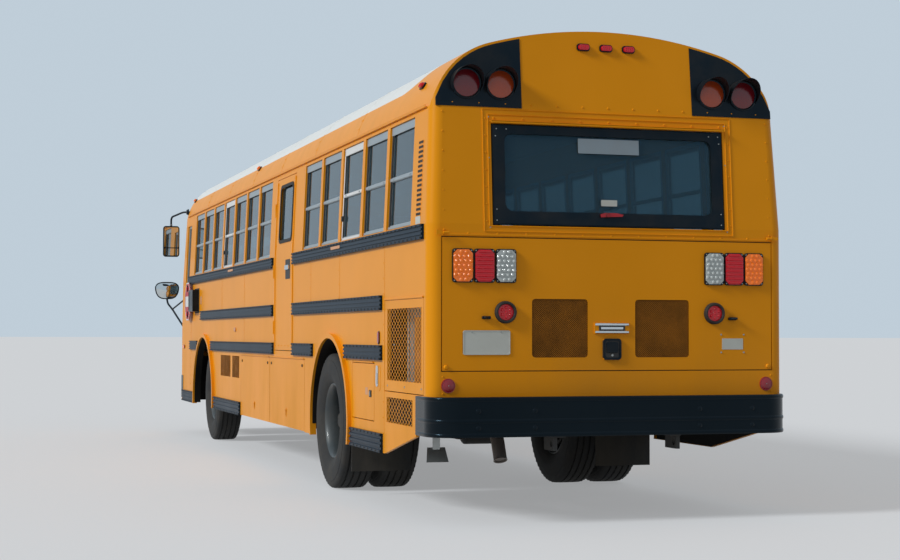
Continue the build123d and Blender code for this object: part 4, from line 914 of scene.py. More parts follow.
@dataclass
class Paintwork:
    """The finishes of the CAD nodes that stay in view."""

    names: tuple[tuple[Finish, str], ...] = ((YELLOW, "left_side_wall right_side_wall rear_wall "
        "rear_roof_cap front_wall engine_door engine_side_door battery_door luggage_door side_exit_door "
        "entry_door"), (ROOF, "roof_shell front_roof_cap"), (FLOOR, "floor_deck floor_covers entry_steps"),
        (CLEAR, "windshield entry_glass"), (TINTED, "window_glass rear_exit_glass side_exit_glass"),
        (ALUMINIUM, "window_frames"), (RAIL_BLACK, "rub_rails"), (BUMPER_BLACK,
        "front_bumper rear_bumper"), (CAST, "front_axle_beam rear_axle steering_knuckle"),
        (SEAT_STEEL, "seat_frames"), (FLAP, "mud_flaps"), (HOOD, "rear_exit_window"),
        (SIGN_RED, "stop_arm"), (WHITE, "rear_roof_hatch front_roof_hatch"))
    rest: Finish = CHASSIS

    def dress(self, nodes: dict[str, bpy.types.Object]) -> None:
        """Give each CAD node the finish whose list has the start of its name.

        Args:
            nodes: The CAD nodes by name.
        """
        for name, node in nodes.items():
            finish = next((f for f, starts in self.names if name.startswith(tuple(starts.split()))),
                self.rest)
            node.data.materials.clear()
            node.data.materials.append(finish.material())


@dataclass
class RearFace:
    """Mouldings, ledge, rivets and reflectors of the fixed rear face."""

    frame_y: float = 0.855
    frame_z: Flat = (1.835, 2.61)
    ledge_y: float = 0.805
    ledge_z: float = 2.535
    rivet_pitch: float = 0.19

    def build(self) -> None:
        """Make the rear face's pieces."""
        self.mouldings()
        self.rivets()
        self.reflectors()

    def mouldings(self) -> None:
        """Make the pressed groove's lips, the drip ledge and the engine door's hinge leaf."""
        form = Form("rear_mouldings")
        lip = 0.007
        z0, z1 = self.frame_z
        for inset in (0.0, 0.034):
            y, low, high = self.frame_y - inset, z0 + inset, z1 - inset
            for side in (-1, 1):
                form.tube([rear_point(side * y, low, 0.002), rear_point(side * y, BELT_Z, 0.002),
                    rear_point(side * y, high, 0.002)], lip / 2, YELLOW, turns=6, smooth=1)
            for z in (low, high):
                form.tube([rear_point(-y, z, 0.002), rear_point(y, z, 0.002)], lip / 2, YELLOW, turns=6)
        x = fwd(rear_x(self.ledge_z))
        for front, deep in ((0.004, 0.005), (-0.026, 0.014)):
            form.slab((x - 0.03, -self.ledge_y, self.ledge_z - deep), (x + front, self.ledge_y,
                self.ledge_z), YELLOW)
        form.slab((fwd(-0.004), -1.13, 1.806), (fwd(0.001), 1.13, 1.816), YELLOW)
        for side in (-1, 1):
            form.prism([(0.0, 0.0), (0.046, 0.01), (0.046, 0.026), (0.0, 0.036)],
                (fwd(-0.012), side * 1.15 + 0.023, 1.804), *REAR, 0.006, YELLOW)
            form.tube([(fwd(-0.02), side * 1.128, 1.822), (fwd(-0.02), side * 1.092, 1.822)], 0.008, YELLOW)
        form.place()
        seal = Form("engine_door_seal")
        low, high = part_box("engine_door")
        out, x = 0.003, fwd(0.014)
        corners = [(x, y, z) for y, z in ((low[1] - out, low[2] - out), (high[1] + out, low[2] - out),
            (high[1] + out, high[2] + out), (low[1] - out, high[2] + out))]
        for a, b in zip(corners, corners[1:] + corners[:1]):
            seal.tube([a, b], 0.0035, GASKET, turns=6)
        seal.place("flap_rubber")

    def rivets(self) -> None:
        """Set the rows and columns of rivets."""
        form = Form("rear_rivets")
        for half, z in ((0.78, 2.553), (0.96, 1.82)):
            form.row(rear_point(-half, z), rear_point(half, z), self.rivet_pitch, REARWARD, YELLOW, 0.009)
        form.row(rear_point(-1.05, 2.645), rear_point(1.05, 2.645), 0.175, REARWARD, YELLOW, 0.009)
        for side in (-1, 1):
            for y, z0, z1 in ((1.118, 1.84, 2.585), (0.838, 1.9, 2.55)):
                form.row(rear_point(side * y, z0), rear_point(side * y, z1), 0.118, REARWARD, YELLOW, 0.008)
            form.row(rear_point(side * 1.125, 0.82), rear_point(side * 1.125, 0.925), 0.09, REARWARD,
                YELLOW)
            for z in (1.86, 2.3, 2.56):
                form.rivet(rear_point(side * 0.815, z), REARWARD, ZINC, 0.006)
        form.place()

    def reflectors(self) -> None:
        """Make the two round reflectors over the bumper."""
        form = Form("rear_reflectors")
        for side in (-1, 1):
            centre = rear_point(side * 1.09, 0.87)
            form.lathe(centre, REARWARD, [(POLE, 0.011), (0.03, 0.01), (0.04, 0.006)], RED_REFLECTOR, 28)
            form.lathe(centre, REARWARD, [(0.04, 0.008), (0.044, 0.008), (0.046, 0.0)], RED_REFLECTOR, 28)
            form.rivet(rear_point(side * 1.09, 0.87, 0.011), REARWARD, ZINC, 0.004)
        form.place("lamp_red")


@dataclass
class EngineDoor:
    """Lamps, meshes, latch, plate and fittings that swing with the engine door."""

    lamp_y: Flat = (0.645, 1.07)
    lamp_z: Flat = (1.512, 1.724)
    round_y: float = 0.717
    round_z: float = 1.328
    body: str = "engine_door"

    def build(self) -> None:
        """Make the door's pieces."""
        self.clusters()
        self.round_lamps()
        self.meshes()
        self.latch()
        self.plate_and_label()
        self.fittings()

    def clusters(self) -> None:
        """Make the tail clusters: three lens modules in a black tray each side."""
        form = Form("tail_lamp_clusters")
        step = (self.lamp_y[1] - self.lamp_y[0]) / 3
        gap, lip = 0.003, 0.006
        half, tall = step / 2 - gap, (self.lamp_z[1] - self.lamp_z[0]) / 2
        for side in (-1, 1):
            for k, lens in enumerate((CLEAR_LENS, RED_LENS, AMBER_LENS)):
                middle = side * (self.lamp_y[0] + (k + 0.5) * step)
                origin = (fwd(0.0), middle, sum(self.lamp_z) / 2)
                form.prism(oblong(half, tall, 0.018), origin, *REAR, 0.014, HOOD)
                form.prism(oblong(half - lip, tall - lip, 0.024, 1), (origin[0] - 0.012, middle, origin[2]),
                    *REAR, 0.01, lens)
                self.optics(form, origin, half - lip, tall - lip, lens)
                for u in (-1, 1):
                    for v in (-1, 1):
                        form.rivet((fwd(-0.014), middle + u * (half - 0.012),
                            origin[2] + v * (tall - 0.012)), REARWARD, ZINC, 0.006)
        form.place("lamp_red", "tail_lamps", body=self.body)

    @staticmethod
    def optics(form: Form, origin: Point, half: float, tall: float, lens: Finish) -> None:
        """Set a field of pillow optics on a lens: dots on clear and amber, ribs on red.

        Args:
            form: The form that it joins.
            origin: The module's middle on the door.
            half: The lens's half width.
            tall: Its half height.
            lens: Its finish.
        """
        face = -0.0215
        if lens is RED_LENS:
            rows = 8
            for r in range(rows):
                z = origin[2] - tall + (r + 0.5) * 2 * tall / rows
                cut = half - (0.022 if r in (0, rows - 1) else 0.006)
                form.tube([(fwd(face), origin[1] - cut, z), (fwd(face), origin[1] + cut, z)], 0.0075, lens,
                    turns=6)
            return
        for r in range(7):
            for c in range(4):
                if r in (0, 6) and c in (0, 3):
                    continue
                y = origin[1] - half + (c + 0.5 + (0.15 if r % 2 else -0.15)) * 2 * half / 4
                z = origin[2] - tall + (r + 0.5) * 2 * tall / 7
                form.lathe((fwd(face), y, z), REARWARD, [(POLE, 0.009), (0.008, 0.007), (0.014, 0.0)], lens,
                    turns=8)

    def round_lamps(self) -> None:
        """Make the round lamps: a black rubber grommet round seven red cells."""
        form = Form("round_stop_lamps")
        for side in (-1, 1):
            centre = (fwd(0.0), side * self.round_y, self.round_z)
            form.lathe(centre, REARWARD, [(0.05, 0.016), (0.056, 0.03), (0.064, 0.03), (0.07, 0.02),
                (0.071, 0.0)], GASKET, 36)
            form.lathe(centre, REARWARD, [(POLE, 0.021), (0.04, 0.019), (0.051, 0.015)], RED_LENS, 36)
            for u, v in [*circle(6, 0.03, 30), (0.0, 0.0)]:
                form.lathe((fwd(-0.019), centre[1] + u, centre[2] + v), REARWARD,
                    [(POLE, 0.007), (0.007, 0.005), (0.011, 0.0)], RED_LENS, 10)
        form.place("lamp_red", body=self.body)

    def meshes(self) -> None:
        """Make the two expanded meshes over the engine's air openings, in their pressed frames, with a dark
        sheet behind each as painted shade.
        """
        form = Form("engine_door_meshes")
        for side in (-1, 1):
            middle = side * 0.351
            form.grille((fwd(0.004), middle + 0.194, 1.038), *REAR, (0.388, 0.382), (0.0145, 0.0125),
                (0.0048, 0.004), MESH, Hole.EXPANDED)
            form.frame(oblong(0.196, 0.193, 0.001), oblong(0.188, 0.185, 0.022),
                (fwd(0.001), middle, 1.229), *REAR, 0.0012, YELLOW)
            # dark sheet behind the mesh, where the open bay would show: painted shade that keeps the holes
            # dark
            form.prism(oblong(0.198, 0.195, 0.01), (fwd(0.03), middle, 1.229), *REAR, 0.001, UNDERSEAL)
        form.place(body=self.body)

    def latch(self) -> None:
        """Make the paddle latch in its black dish, and the bare badge rail over it."""
        form = Form("engine_door_latch")
        x = fwd(0.0)
        form.prism(oblong(0.062, 0.068, 0.022), (x, 0.0, 1.0965), *REAR, 0.011, ABS)
        form.frame(oblong(0.062, 0.068, 0.022), oblong(0.048, 0.054, 0.014), (x - 0.01, 0.0, 1.0965), *REAR,
            0.006, HOOD)
        form.prism(rounded(-0.04, 0.04, -0.018, 0.046, 0.012), (x - 0.01, 0.0, 1.0965), *REAR, 0.007, HOOD)
        form.slab((x - 0.022, -0.036, 1.074), (x - 0.014, 0.036, 1.086), HOOD, 0.003)
        form.bolt((x - 0.011, 0.0, 1.058), REARWARD, 0.007, 0.004, ZINC, 16, 0.002)
        form.place("dash_plastic", body=self.body)
        rail = Form("engine_door_badge_rail")
        for half, z0, z1, proud, finish in ((0.116, 1.247, 1.262, 0.015, CHROME),
                (0.09, 1.214, 1.247, 0.0115, ABS), (0.078, 1.221, 1.24, 0.0125, CHROME),
                (0.116, 1.198, 1.213, 0.015, CHROME)):
            rail.slab((x - proud, -half, z0), (x + 0.001, half, z1), finish, 0.003)
        rail.place("window_aluminium", body=self.body)

    def plate_and_label(self) -> None:
        """Make the blank licence plate and the blank label with its four screws."""
        form = Form("rear_plates")
        x = fwd(0.0)
        centre = (x, 0.84, 1.138)
        form.prism(oblong(0.155, 0.076, 0.012), centre, *REAR, 0.004, PLATE)
        form.frame(oblong(0.155, 0.076, 0.012), oblong(0.149, 0.07, 0.009), centre, *REAR, 0.006, PLATE)
        for u in (-0.095, 0.095):
            form.rivet((x - 0.004, 0.84 + u, 1.202), REARWARD, ZINC, 0.006)
        form.prism(oblong(0.075, 0.036, 0.003), (x, -0.85, 1.13), *REAR, 0.0015, PLATE)
        for u in (-0.081, 0.081):
            for v in (-0.06, 0.056):
                form.rivet((x, -0.85 + u, 1.135 + v), REARWARD, ZINC, 0.008)
        form.place("hatch_white", body=self.body)

    def fittings(self) -> None:
        """Make the plate lamps and the corner bumpers."""
        form = Form("engine_door_fittings")
        x = fwd(0.0)
        for side in (-1, 1):
            y = side * 0.845
            form.slab((x - 0.022, y - 0.028, 1.284), (x, y + 0.028, 1.304), HOOD, 0.006)
            form.tube([(x - 0.018, y - side * 0.01, 1.294), (x - 0.044, y + side * 0.02, 1.296)], 0.007,
                HOOD, turns=8)
            form.lathe((x, side * 1.105, 0.985), REARWARD, [(POLE, 0.012), (0.01, 0.011), (0.014, 0.005),
                (0.015, 0.0)], YELLOW, 16)
        form.place(body=self.body)


@dataclass
class RearExit:
    """Border, handle and bolts that swing with the rear exit window."""

    half: float = 0.788
    z0: float = 1.885
    z1: float = 2.508
    body: str = "rear_exit_window"

    def build(self) -> None:
        """Make the window's pieces."""
        form = Form("rear_exit_fittings")
        lean = Vector((0.05, 0.0, EAVE_Z - BELT_Z)).normalized()
        middle = (self.z0 + self.z1) / 2
        origin = (fwd(rear_x(middle)), 0.0, middle)
        tall = (self.z1 - self.z0) / 2
        form.frame(oblong(self.half, tall, 0.012), rounded(-self.half + 0.075, self.half - 0.075,
            -tall + 0.08, tall - 0.05, 0.05), origin, ACROSS_REAR, lean, 0.0045, HOOD)
        for y in (-0.765, -0.7, 0.7, 0.765):
            form.rivet(rear_point(y, self.z1 - 0.022, 0.004), REARWARD, ZINC, 0.006)
        for side in (-1, 1):
            for z in (1.905, 1.975, 2.44):
                form.rivet(rear_point(side * 0.772, z, 0.004), REARWARD, ZINC, 0.006)
        form.place("black_paint", body=self.body)
        grip = Form("rear_exit_handle")
        x = fwd(rear_x(1.95))
        grip.prism([(-0.075, -0.012), (0.07, -0.006), (0.078, 0.006), (0.03, 0.016), (-0.05, 0.016),
            (-0.078, 0.006)], (x - 0.012, 0.0, 1.95), *REAR, 0.01, SIGN_RED)
        grip.lathe((x - 0.002, 0.03, 1.95), REARWARD, [(0.014, 0.024), (0.018, 0.01), (0.018, 0.0)], ABS,
            18)
        grip.prism(oblong(0.055, 0.02, 0.004), (x - 0.0035, 0.015, 2.03), *REAR, 0.001, PLATE)
        grip.place("sign_red", body=self.body)
        label = Form("rear_exit_blank_label")
        xl = fwd(rear_x(2.405))
        label.prism(rounded(-0.215, 0.205, -0.048, 0.048, 0.004), (xl - 0.0005, 0.0, 2.395), ACROSS_REAR,
            lean, 0.0015, FROSTED)
        label.place("hatch_white", body=self.body)


@dataclass
class RoofLamps:
    """Lamp panels, hooded warning lamps and marker lamps on the roof caps."""

    panel_y: Flat = (0.59, 1.158)
    warning: tuple[tuple[float, Finish], ...] = ((0.731, AMBER_DOME), (0.957, RED_DOME))
    warning_z: float = 2.77
    panel_low: float = 2.622
    panel_proud: float = 0.004
    margin: float = 0.013
    rim: float = 0.014

    def build(self) -> None:
        """Make the lamp pieces at both ends."""
        self.ends()
        self.markers()

    def face_x(self, y: float, z: float, end: int) -> float:
        """Give the cap's face at a point: end is -1 for the rear and 1 for the front."""
        if end < 0:
            return rear_x(z)
        return nose_x(y, EAVE_Z)

    def ends(self) -> None:
        """Make each end's panels, lenses and hoods."""
        panels = Form("lamp_panels")
        lamps = Form("warning_lamp_units")
        for end in (-1, 1):
            for side in (-1, 1):
                self.panel(panels, end, side)
                for y, dome in self.warning:
                    x = self.face_x(y, self.warning_z, end) + end * 0.006
                    self.unit(lamps, (fwd(x), side * y, self.warning_z), end, dome)
        panels.place("black_paint")
        lamps.place("lamp_red", "warning_lamps")

    def panel(self, form: Form, end: int, side: int) -> None:
        """Make one black panel whose upper edge follows the roof, kept a finger's width inside it.

        Args:
            form: The form that it joins.
            end: -1 for the rear and 1 for the front.
            side: 1 on the left side, -1 on the right.
        """
        points, columns = [], 12
        for k in range(columns + 1):
            y = self.panel_y[0] + (self.panel_y[1] - self.panel_y[0]) * k / columns
            top = max(self.panel_low + 0.05, roof_z(min(y + 0.01, 1.17)) - self.margin)
            for z in (self.panel_low, top):
                points.append((fwd(self.face_x(y, z, end) + end * self.panel_proud), side * y, z))
        faces = strips(columns + 1, 2, flip=side * end > 0)
        count = len(points)
        rim = [2 * k for k in range(columns + 1)] + [2 * k + 1 for k in reversed(range(columns + 1))]
        points += [(points[k][0] - end * self.rim, points[k][1], points[k][2]) for k in rim]
        for k in range(len(rim)):
            m = (k + 1) % len(rim)
            faces.append((rim[k], rim[m], count + m, count + k))
        form.patch(points, faces, HOOD)

    @staticmethod
    def unit(form: Form, centre: Point, end: int, dome: Finish) -> None:
        """Make one lamp: bezel, domed lens and a hood over its upper half.

        Args:
            form: The form that it joins.
            centre: The lamp's middle on the panel.
            end: -1 for the rear and 1 for the front.
            dome: Finish of the lens.
        """
        axis = (float(end), 0.0, 0.0)
        form.lathe(centre, axis, [(0.086, 0.012), (0.094, 0.018), (0.1, 0.014), (0.101, 0.0)], HOOD, 40)
        form.lathe(centre, axis, [(POLE, 0.024), (0.03, 0.023), (0.06, 0.019), (0.088, 0.01)], dome, 40)
        points, steps = [], 26
        for k in range(steps + 1):
            angle = math.radians(-118 + 236 * k / steps)
            reach = 0.02 + 0.105 * max(0.0, math.cos(angle * 0.72)) ** 1.2
            for radius, depth in ((0.103, 0.0), (0.103, reach), (0.099, reach), (0.099, 0.0)):
                points.append((centre[0] + end * depth, centre[1] + radius * math.sin(angle),
                    centre[2] + radius * math.cos(angle)))
        form.patch(points, strips(steps + 1, 4, flip=end < 0), HOOD)

    def markers(self) -> None:
        """Make the small marker lamps: three at each end's middle and more along the sides."""
        form = Form("marker_lamps")
        for end in (-1, 1):
            lens = RED_LENS if end < 0 else AMBER_LENS
            for y in (-0.157, 0.0, 0.157):
                z = 3.04
                x = self.face_x(y, z, end)
                self.marker(form, (fwd(x), y, z), (float(end), 0.0, 0.0), (0.0, float(end), 0.0), lens,
                    0.044)
        for x, z, lens in ((0.49, 2.8, RED_LENS), (6.33, 2.81, AMBER_LENS), (10.64, 2.82, AMBER_LENS)):
            for side in (-1, 1):
                y = roof_y(z)
                out = Vector((0.0, side * (y - SHOULDER_Y), z - SHOULDER_Z)).normalized()
                self.marker(form, (fwd(x), side * y, z), out, (-1.0 * side, 0.0, 0.0), lens, 0.045)
        form.place("lamp_red")

    @staticmethod
    def marker(form: Form, centre: Point, out: Coords, along: Coords, lens: Finish, half: float) -> None:
        """Make one marker lamp: a black base and a raised ribbed lens.

        Args:
            form: The form that it joins.
            centre: The lamp's middle on the body.
            out: Direction in which it stands out.
            along: Direction of its length.
            lens: Finish of the lens.
            half: Half its length.
        """
        normal = Vector(out).normalized()
        across = Vector(along)
        up = normal.cross(across)
        form.prism(oblong(half, 0.024, 0.018), centre, across, up, 0.012, HOOD)
        seat = Vector(centre) + normal * 0.011
        form.prism(oblong(half - 0.008, 0.017, 0.014), seat, across, up, 0.014, lens)
        for k in range(5):
            u = -half + 0.018 + k * (2 * half - 0.036) / 4
            foot = seat + across * u + normal * 0.014
            form.tube([foot - up * 0.012, foot + up * 0.012], 0.003, lens, turns=6)


@dataclass
class SidePanels:
    """Rivets, seam strips, louvres and reflectors of the fixed sides."""

    rail_z: tuple[Flat, ...] = ((0.385, 0.515), (1.013, 1.115), (1.355, 1.455), (1.785, 1.88))
    rail_x: dict[str, tuple[tuple[Flat, ...], ...]] = field(default_factory=lambda: {"left": (((1.1, 1.985),
        (6.72, 8.345), (9.855, 10.805)), ((1.12, 2.202), (3.338, 4.127), (4.998, 8.588)),
        ((1.125, 4.127), (5.028, 9.349)), ((0.1, 4.127), (5.028, 10.269))),
        "right": (((1.1, 1.985), (6.72, 8.345)), ((1.12, 2.202), (3.338, 8.588)), ((1.125, 9.916),),
        ((0.1, 9.916),))})
    door_gap: Flat = (4.1, 5.05)
    proud: float = 0.022
    rivet_pitch: float = 0.1
    seams: tuple[tuple[float, float, float], ...] = ((1.107, 0.52, 1.78), (2.445, 1.46, 1.78),
        (3.47, 1.46, 1.78), (6.568, 1.12, 1.78), (7.94, 1.46, 1.78), (10.205, 0.6, 1.72))

    def build(self) -> None:
        """Make the pieces of both sides."""
        for sign, hand in SIDES:
            self.rivets(sign, hand)
        self.vents()
        self.reflectors()

    def rivets(self, sign: int, hand: str) -> None:
        """Set one side's rivets: along each rail, up each panel seam and under the eaves.

        Args:
            sign: 1 on the left side, -1 on the right.
            hand: The side's name.
        """
        form = Form(f"side_rivets_{hand}")
        normal = (0.0, float(sign), 0.0)
        y = sign * (HALF + self.proud)
        spans = [(x0, x1, z) for ends, runs in zip(self.rail_z, self.rail_x[hand]) for x0, x1 in runs
            for z in (ends[0] + 0.009, ends[1] - 0.009)]
        for x0, x1, z in spans:
            form.row((fwd(x0 + 0.02), y, z), (fwd(x1 - 0.02), y, z), self.rivet_pitch, normal, GASKET,
                0.009)
        for x, z0, z1 in self.seams:
            form.row((fwd(x - 0.018), sign * HALF, z0), (fwd(x - 0.018), sign * HALF, z1), 0.105, normal,
                YELLOW, 0.006)
            axes = side_axes(sign)
            form.prism([(-0.0215, z0 - 0.9), (0.0215, z0 - 0.9), (0.0215, z1 - 0.9), (-0.0215, z1 - 0.9)],
                (fwd(x - 0.018), sign * HALF, 0.9), *axes, 0.0012, YELLOW)
        form.row(side_point(0.2, 2.612, sign, -0.002), side_point(10.62, 2.612, sign, -0.002), 0.171,
            normal, YELLOW, 0.0055)
        for bay in range(15):
            x = FIRST_POST + PITCH * bay
            if sign > 0 and self.door_gap[0] < x < self.door_gap[1]:
                continue
            for z in (1.93, 2.09, 2.25, 2.41, 2.56):
                form.rivet(side_point(x, z, sign), normal, YELLOW, 0.0045, 0.002)
        form.place()

    def vents(self) -> None:
        """Make the column of pressed louvres at the rear corner, with its blank label below."""
        form = Form("rear_corner_louvres")
        for sign in (1, -1):
            axes = side_axes(sign)
            for k in range(16):
                z = 1.95 + k * 0.0305
                y = side_y(z)
                form.prism(oblong(0.054, 0.0085, 0.0082, 4), (fwd(0.24), sign * y, z), *axes, 0.0014,
                    GASKET)
                form.frame(rounded(-0.058, 0.058, -0.0125, 0.0115, 0.0115, 4), oblong(0.054, 0.0085, 0.0082,
                    4), (fwd(0.24), sign * y, z), *axes, 0.0024, YELLOW)
            form.prism(oblong(0.055, 0.024, 0.003), (fwd(0.245), sign * side_y(1.905), 1.912), *axes, 0.001,
                PLATE)
        form.place()

    def reflectors(self) -> None:
        """Make the side reflectors and the reflective patches on the belt rail."""
        form = Form("side_reflectors")
        for sign in (1, -1):
            axes = side_axes(sign)
            y = sign * HALF
            form.prism(oblong(0.019, 0.04, 0.017), (fwd(1.215), y, 1.166), *axes, 0.01, RED_REFLECTOR)
            form.prism(oblong(0.024, 0.045, 0.02), (fwd(1.215), y, 1.166), *axes, 0.005, HOOD)
            form.prism(oblong(0.045, 0.019, 0.015), (fwd(7.05), y, 1.24), *axes, 0.01, AMBER_REFLECTOR)
            for x in (2.47, 7.25):
                form.prism(oblong(0.15, 0.011, 0.002), (fwd(x), sign * (HALF + self.proud), 1.846), *axes,
                    0.001, AMBER_REFLECTOR)
        form.place("lamp_red")


@dataclass
class SideWindows:
    """Glazing beads, latches and push-out frames of the fixed windows."""

    push_out: tuple[int, ...] = (2, 10)
    bays_left: tuple[int, ...] = (0, 1, 2, 3, 4, 7, 8, 9, 10, 11, 12, 13)
    opening: Flat = (0.035, 0.651)
    z0: float = 1.89
    z1: float = 2.59
    mid: float = 2.23

    def build(self) -> None:
        """Make both sides' window trim."""
        for sign, hand, bays in ((1, "left", self.bays_left), (-1, "right", tuple(range(14)))):
            trim = Form(f"window_trim_{hand}")
            for bay in bays:
                self.window(trim, bay, sign)
            trim.place("window_aluminium")

    def window(self, form: Form, bay: int, sign: int) -> None:
        """Make one window's header, rails, glazing rubber and latches.

        Args:
            form: The form that it joins.
            bay: Number of the window, counted from the rear.
            sign: 1 on the left side, -1 on the right.
        """
        x0 = FIRST_POST + PITCH * bay + self.opening[0]
        x1 = FIRST_POST + PITCH * bay + self.opening[1]
        pushed = bay in self.push_out
        metal = SIGN_WHITE if pushed else ALUMINIUM
        self.bar(form, (x0 + 0.004, x1 - 0.004), (self.z1 - 0.058, self.z1 - 0.004), sign, metal)
        self.bar(form, (x0 + 0.004, x1 - 0.004), (self.mid - 0.011, self.mid + 0.011), sign, metal)
        self.bar(form, (x0 + 0.004, x1 - 0.004), (self.z0 + 0.004, self.z0 + 0.022), sign, metal)
        for edge, inward in ((x0, 1), (x1, -1)):
            rubber = sorted((edge + inward * (0.026 if pushed else 0.012), edge + inward * 0.04))
            for low, high in ((self.z0 + 0.022, self.mid - 0.011), (self.mid + 0.011, self.z1 - 0.058)):
                self.bar(form, (rubber[0], rubber[1]), (low, high), sign, GASKET, -0.0125)
            if pushed:
                bright = sorted((edge + inward * 0.004, edge + inward * 0.026))
                self.bar(form, (bright[0], bright[1]), (self.z0, self.z1), sign, SIGN_WHITE)
        for x in (x0 + 0.1, x1 - 0.1):
            place = side_point(x, self.mid, sign, -0.009)
            form.slab((place[0] - 0.012, place[1] - 0.004, place[2] - 0.005),
                (place[0] + 0.012, place[1] + 0.004, place[2] + 0.006), ALUMINIUM)
        if pushed:
            place = side_point(x1 - 0.018, 2.06, sign, -0.009)
            form.slab((place[0] - 0.012, place[1] - 0.008, place[2] - 0.02),
                (place[0] + 0.012, place[1] + 0.008, place[2] + 0.02), ABS, 0.003)

    @staticmethod
    def bar(form: Form, along: Flat, tall: Flat, sign: int, finish: Finish, proud: float = -0.01) -> None:
        """Lay one flat bar with a rounded front on the window frame.

        Args:
            form: The form that it joins.
            along: Its ends, counted from the engine door.
            tall: Its foot and its head.
            sign: 1 on the left side, -1 on the right.
            finish: What it is made of.
            proud: How far its face stands off the wall's skin.
        """
        lip = min(0.002, (tall[1] - tall[0]) / 4, (along[1] - along[0]) / 4)
        rings = [[side_point(x, z, sign, out) for x, z in ((along[0] + inset, tall[0] + inset),
            (along[1] - inset, tall[0] + inset), (along[1] - inset, tall[1] - inset),
            (along[0] + inset, tall[1] - inset))] for inset, out in ((0.0, -0.019), (0.0, proud - 0.0015),
            (lip, proud))]
        faces = strips(3, 4, closed=True, flip=sign > 0) + [(8, 9, 10, 11)[::-sign]]
        form.patch([p for ring in rings for p in ring], faces, finish)


@dataclass
class Liners:
    """Undersealed sheets inside the wheel arches and the rear skirts."""

    arches: tuple[tuple[float, float, float, float], ...] = ((2.68, 0.53, 0.634, 0.25),
        (9.1, 0.456, 0.704, 0.062))

    def build(self) -> None:
        """Make the arch rolls and the skirt sheets of both sides."""
        form = Form("undersealed_liners")
        skirt = [(0.275, 0.545), (1.048, 0.39), (2.0, 0.39), (2.0, 0.8), (0.275, 0.8)]
        for sign in (-1, 1):
            for x, z, radius, deep in self.arches:
                self.roll(form, (x, z), radius - 0.006, deep, sign)
            y = sign * (HALF - 0.022)
            form.patch([(fwd(px), y, pz) for px, pz in skirt], [(0, 1, 2, 3, 4)], UNDERSEAL)
            for x0, x1 in ((6.73, 8.38), (9.82, 9.96 if sign < 0 else 10.78)):
                form.slab((fwd(x0), min(sign * 1.17, sign * 1.173), 0.392),
                    (fwd(x1), max(sign * 1.17, sign * 1.173), 0.925), UNDERSEAL, 0.0005)
        for y0, y1 in ((-0.375, 0.375), (0.44, 1.165)):
            form.slab((fwd(10.648), y0, 0.392), (fwd(10.652), y1, 0.925), UNDERSEAL, 0.0005)
        form.place("chassis_black")

    @staticmethod
    def roll(form: Form, middle: Flat, radius: float, deep: float, sign: int) -> None:
        """Roll one sheet round the inside of an arch.

        Args:
            form: The form that it joins.
            middle: The arch's middle, counted from the engine door, and its height.
            radius: Radius of the sheet.
            deep: How far it goes in from the skin.
            sign: 1 on the left side, -1 on the right.
        """
        steps = 40
        points = []
        for k in range(steps + 1):
            angle = math.radians(-5 + 190 * k / steps)
            x, z = middle[0] + radius * math.cos(angle), middle[1] + radius * math.sin(angle)
            points += [(fwd(x), sign * (HALF + 0.01), z), (fwd(x), sign * (HALF - deep), z)]
        form.patch(points, strips(steps + 1, 2), UNDERSEAL)


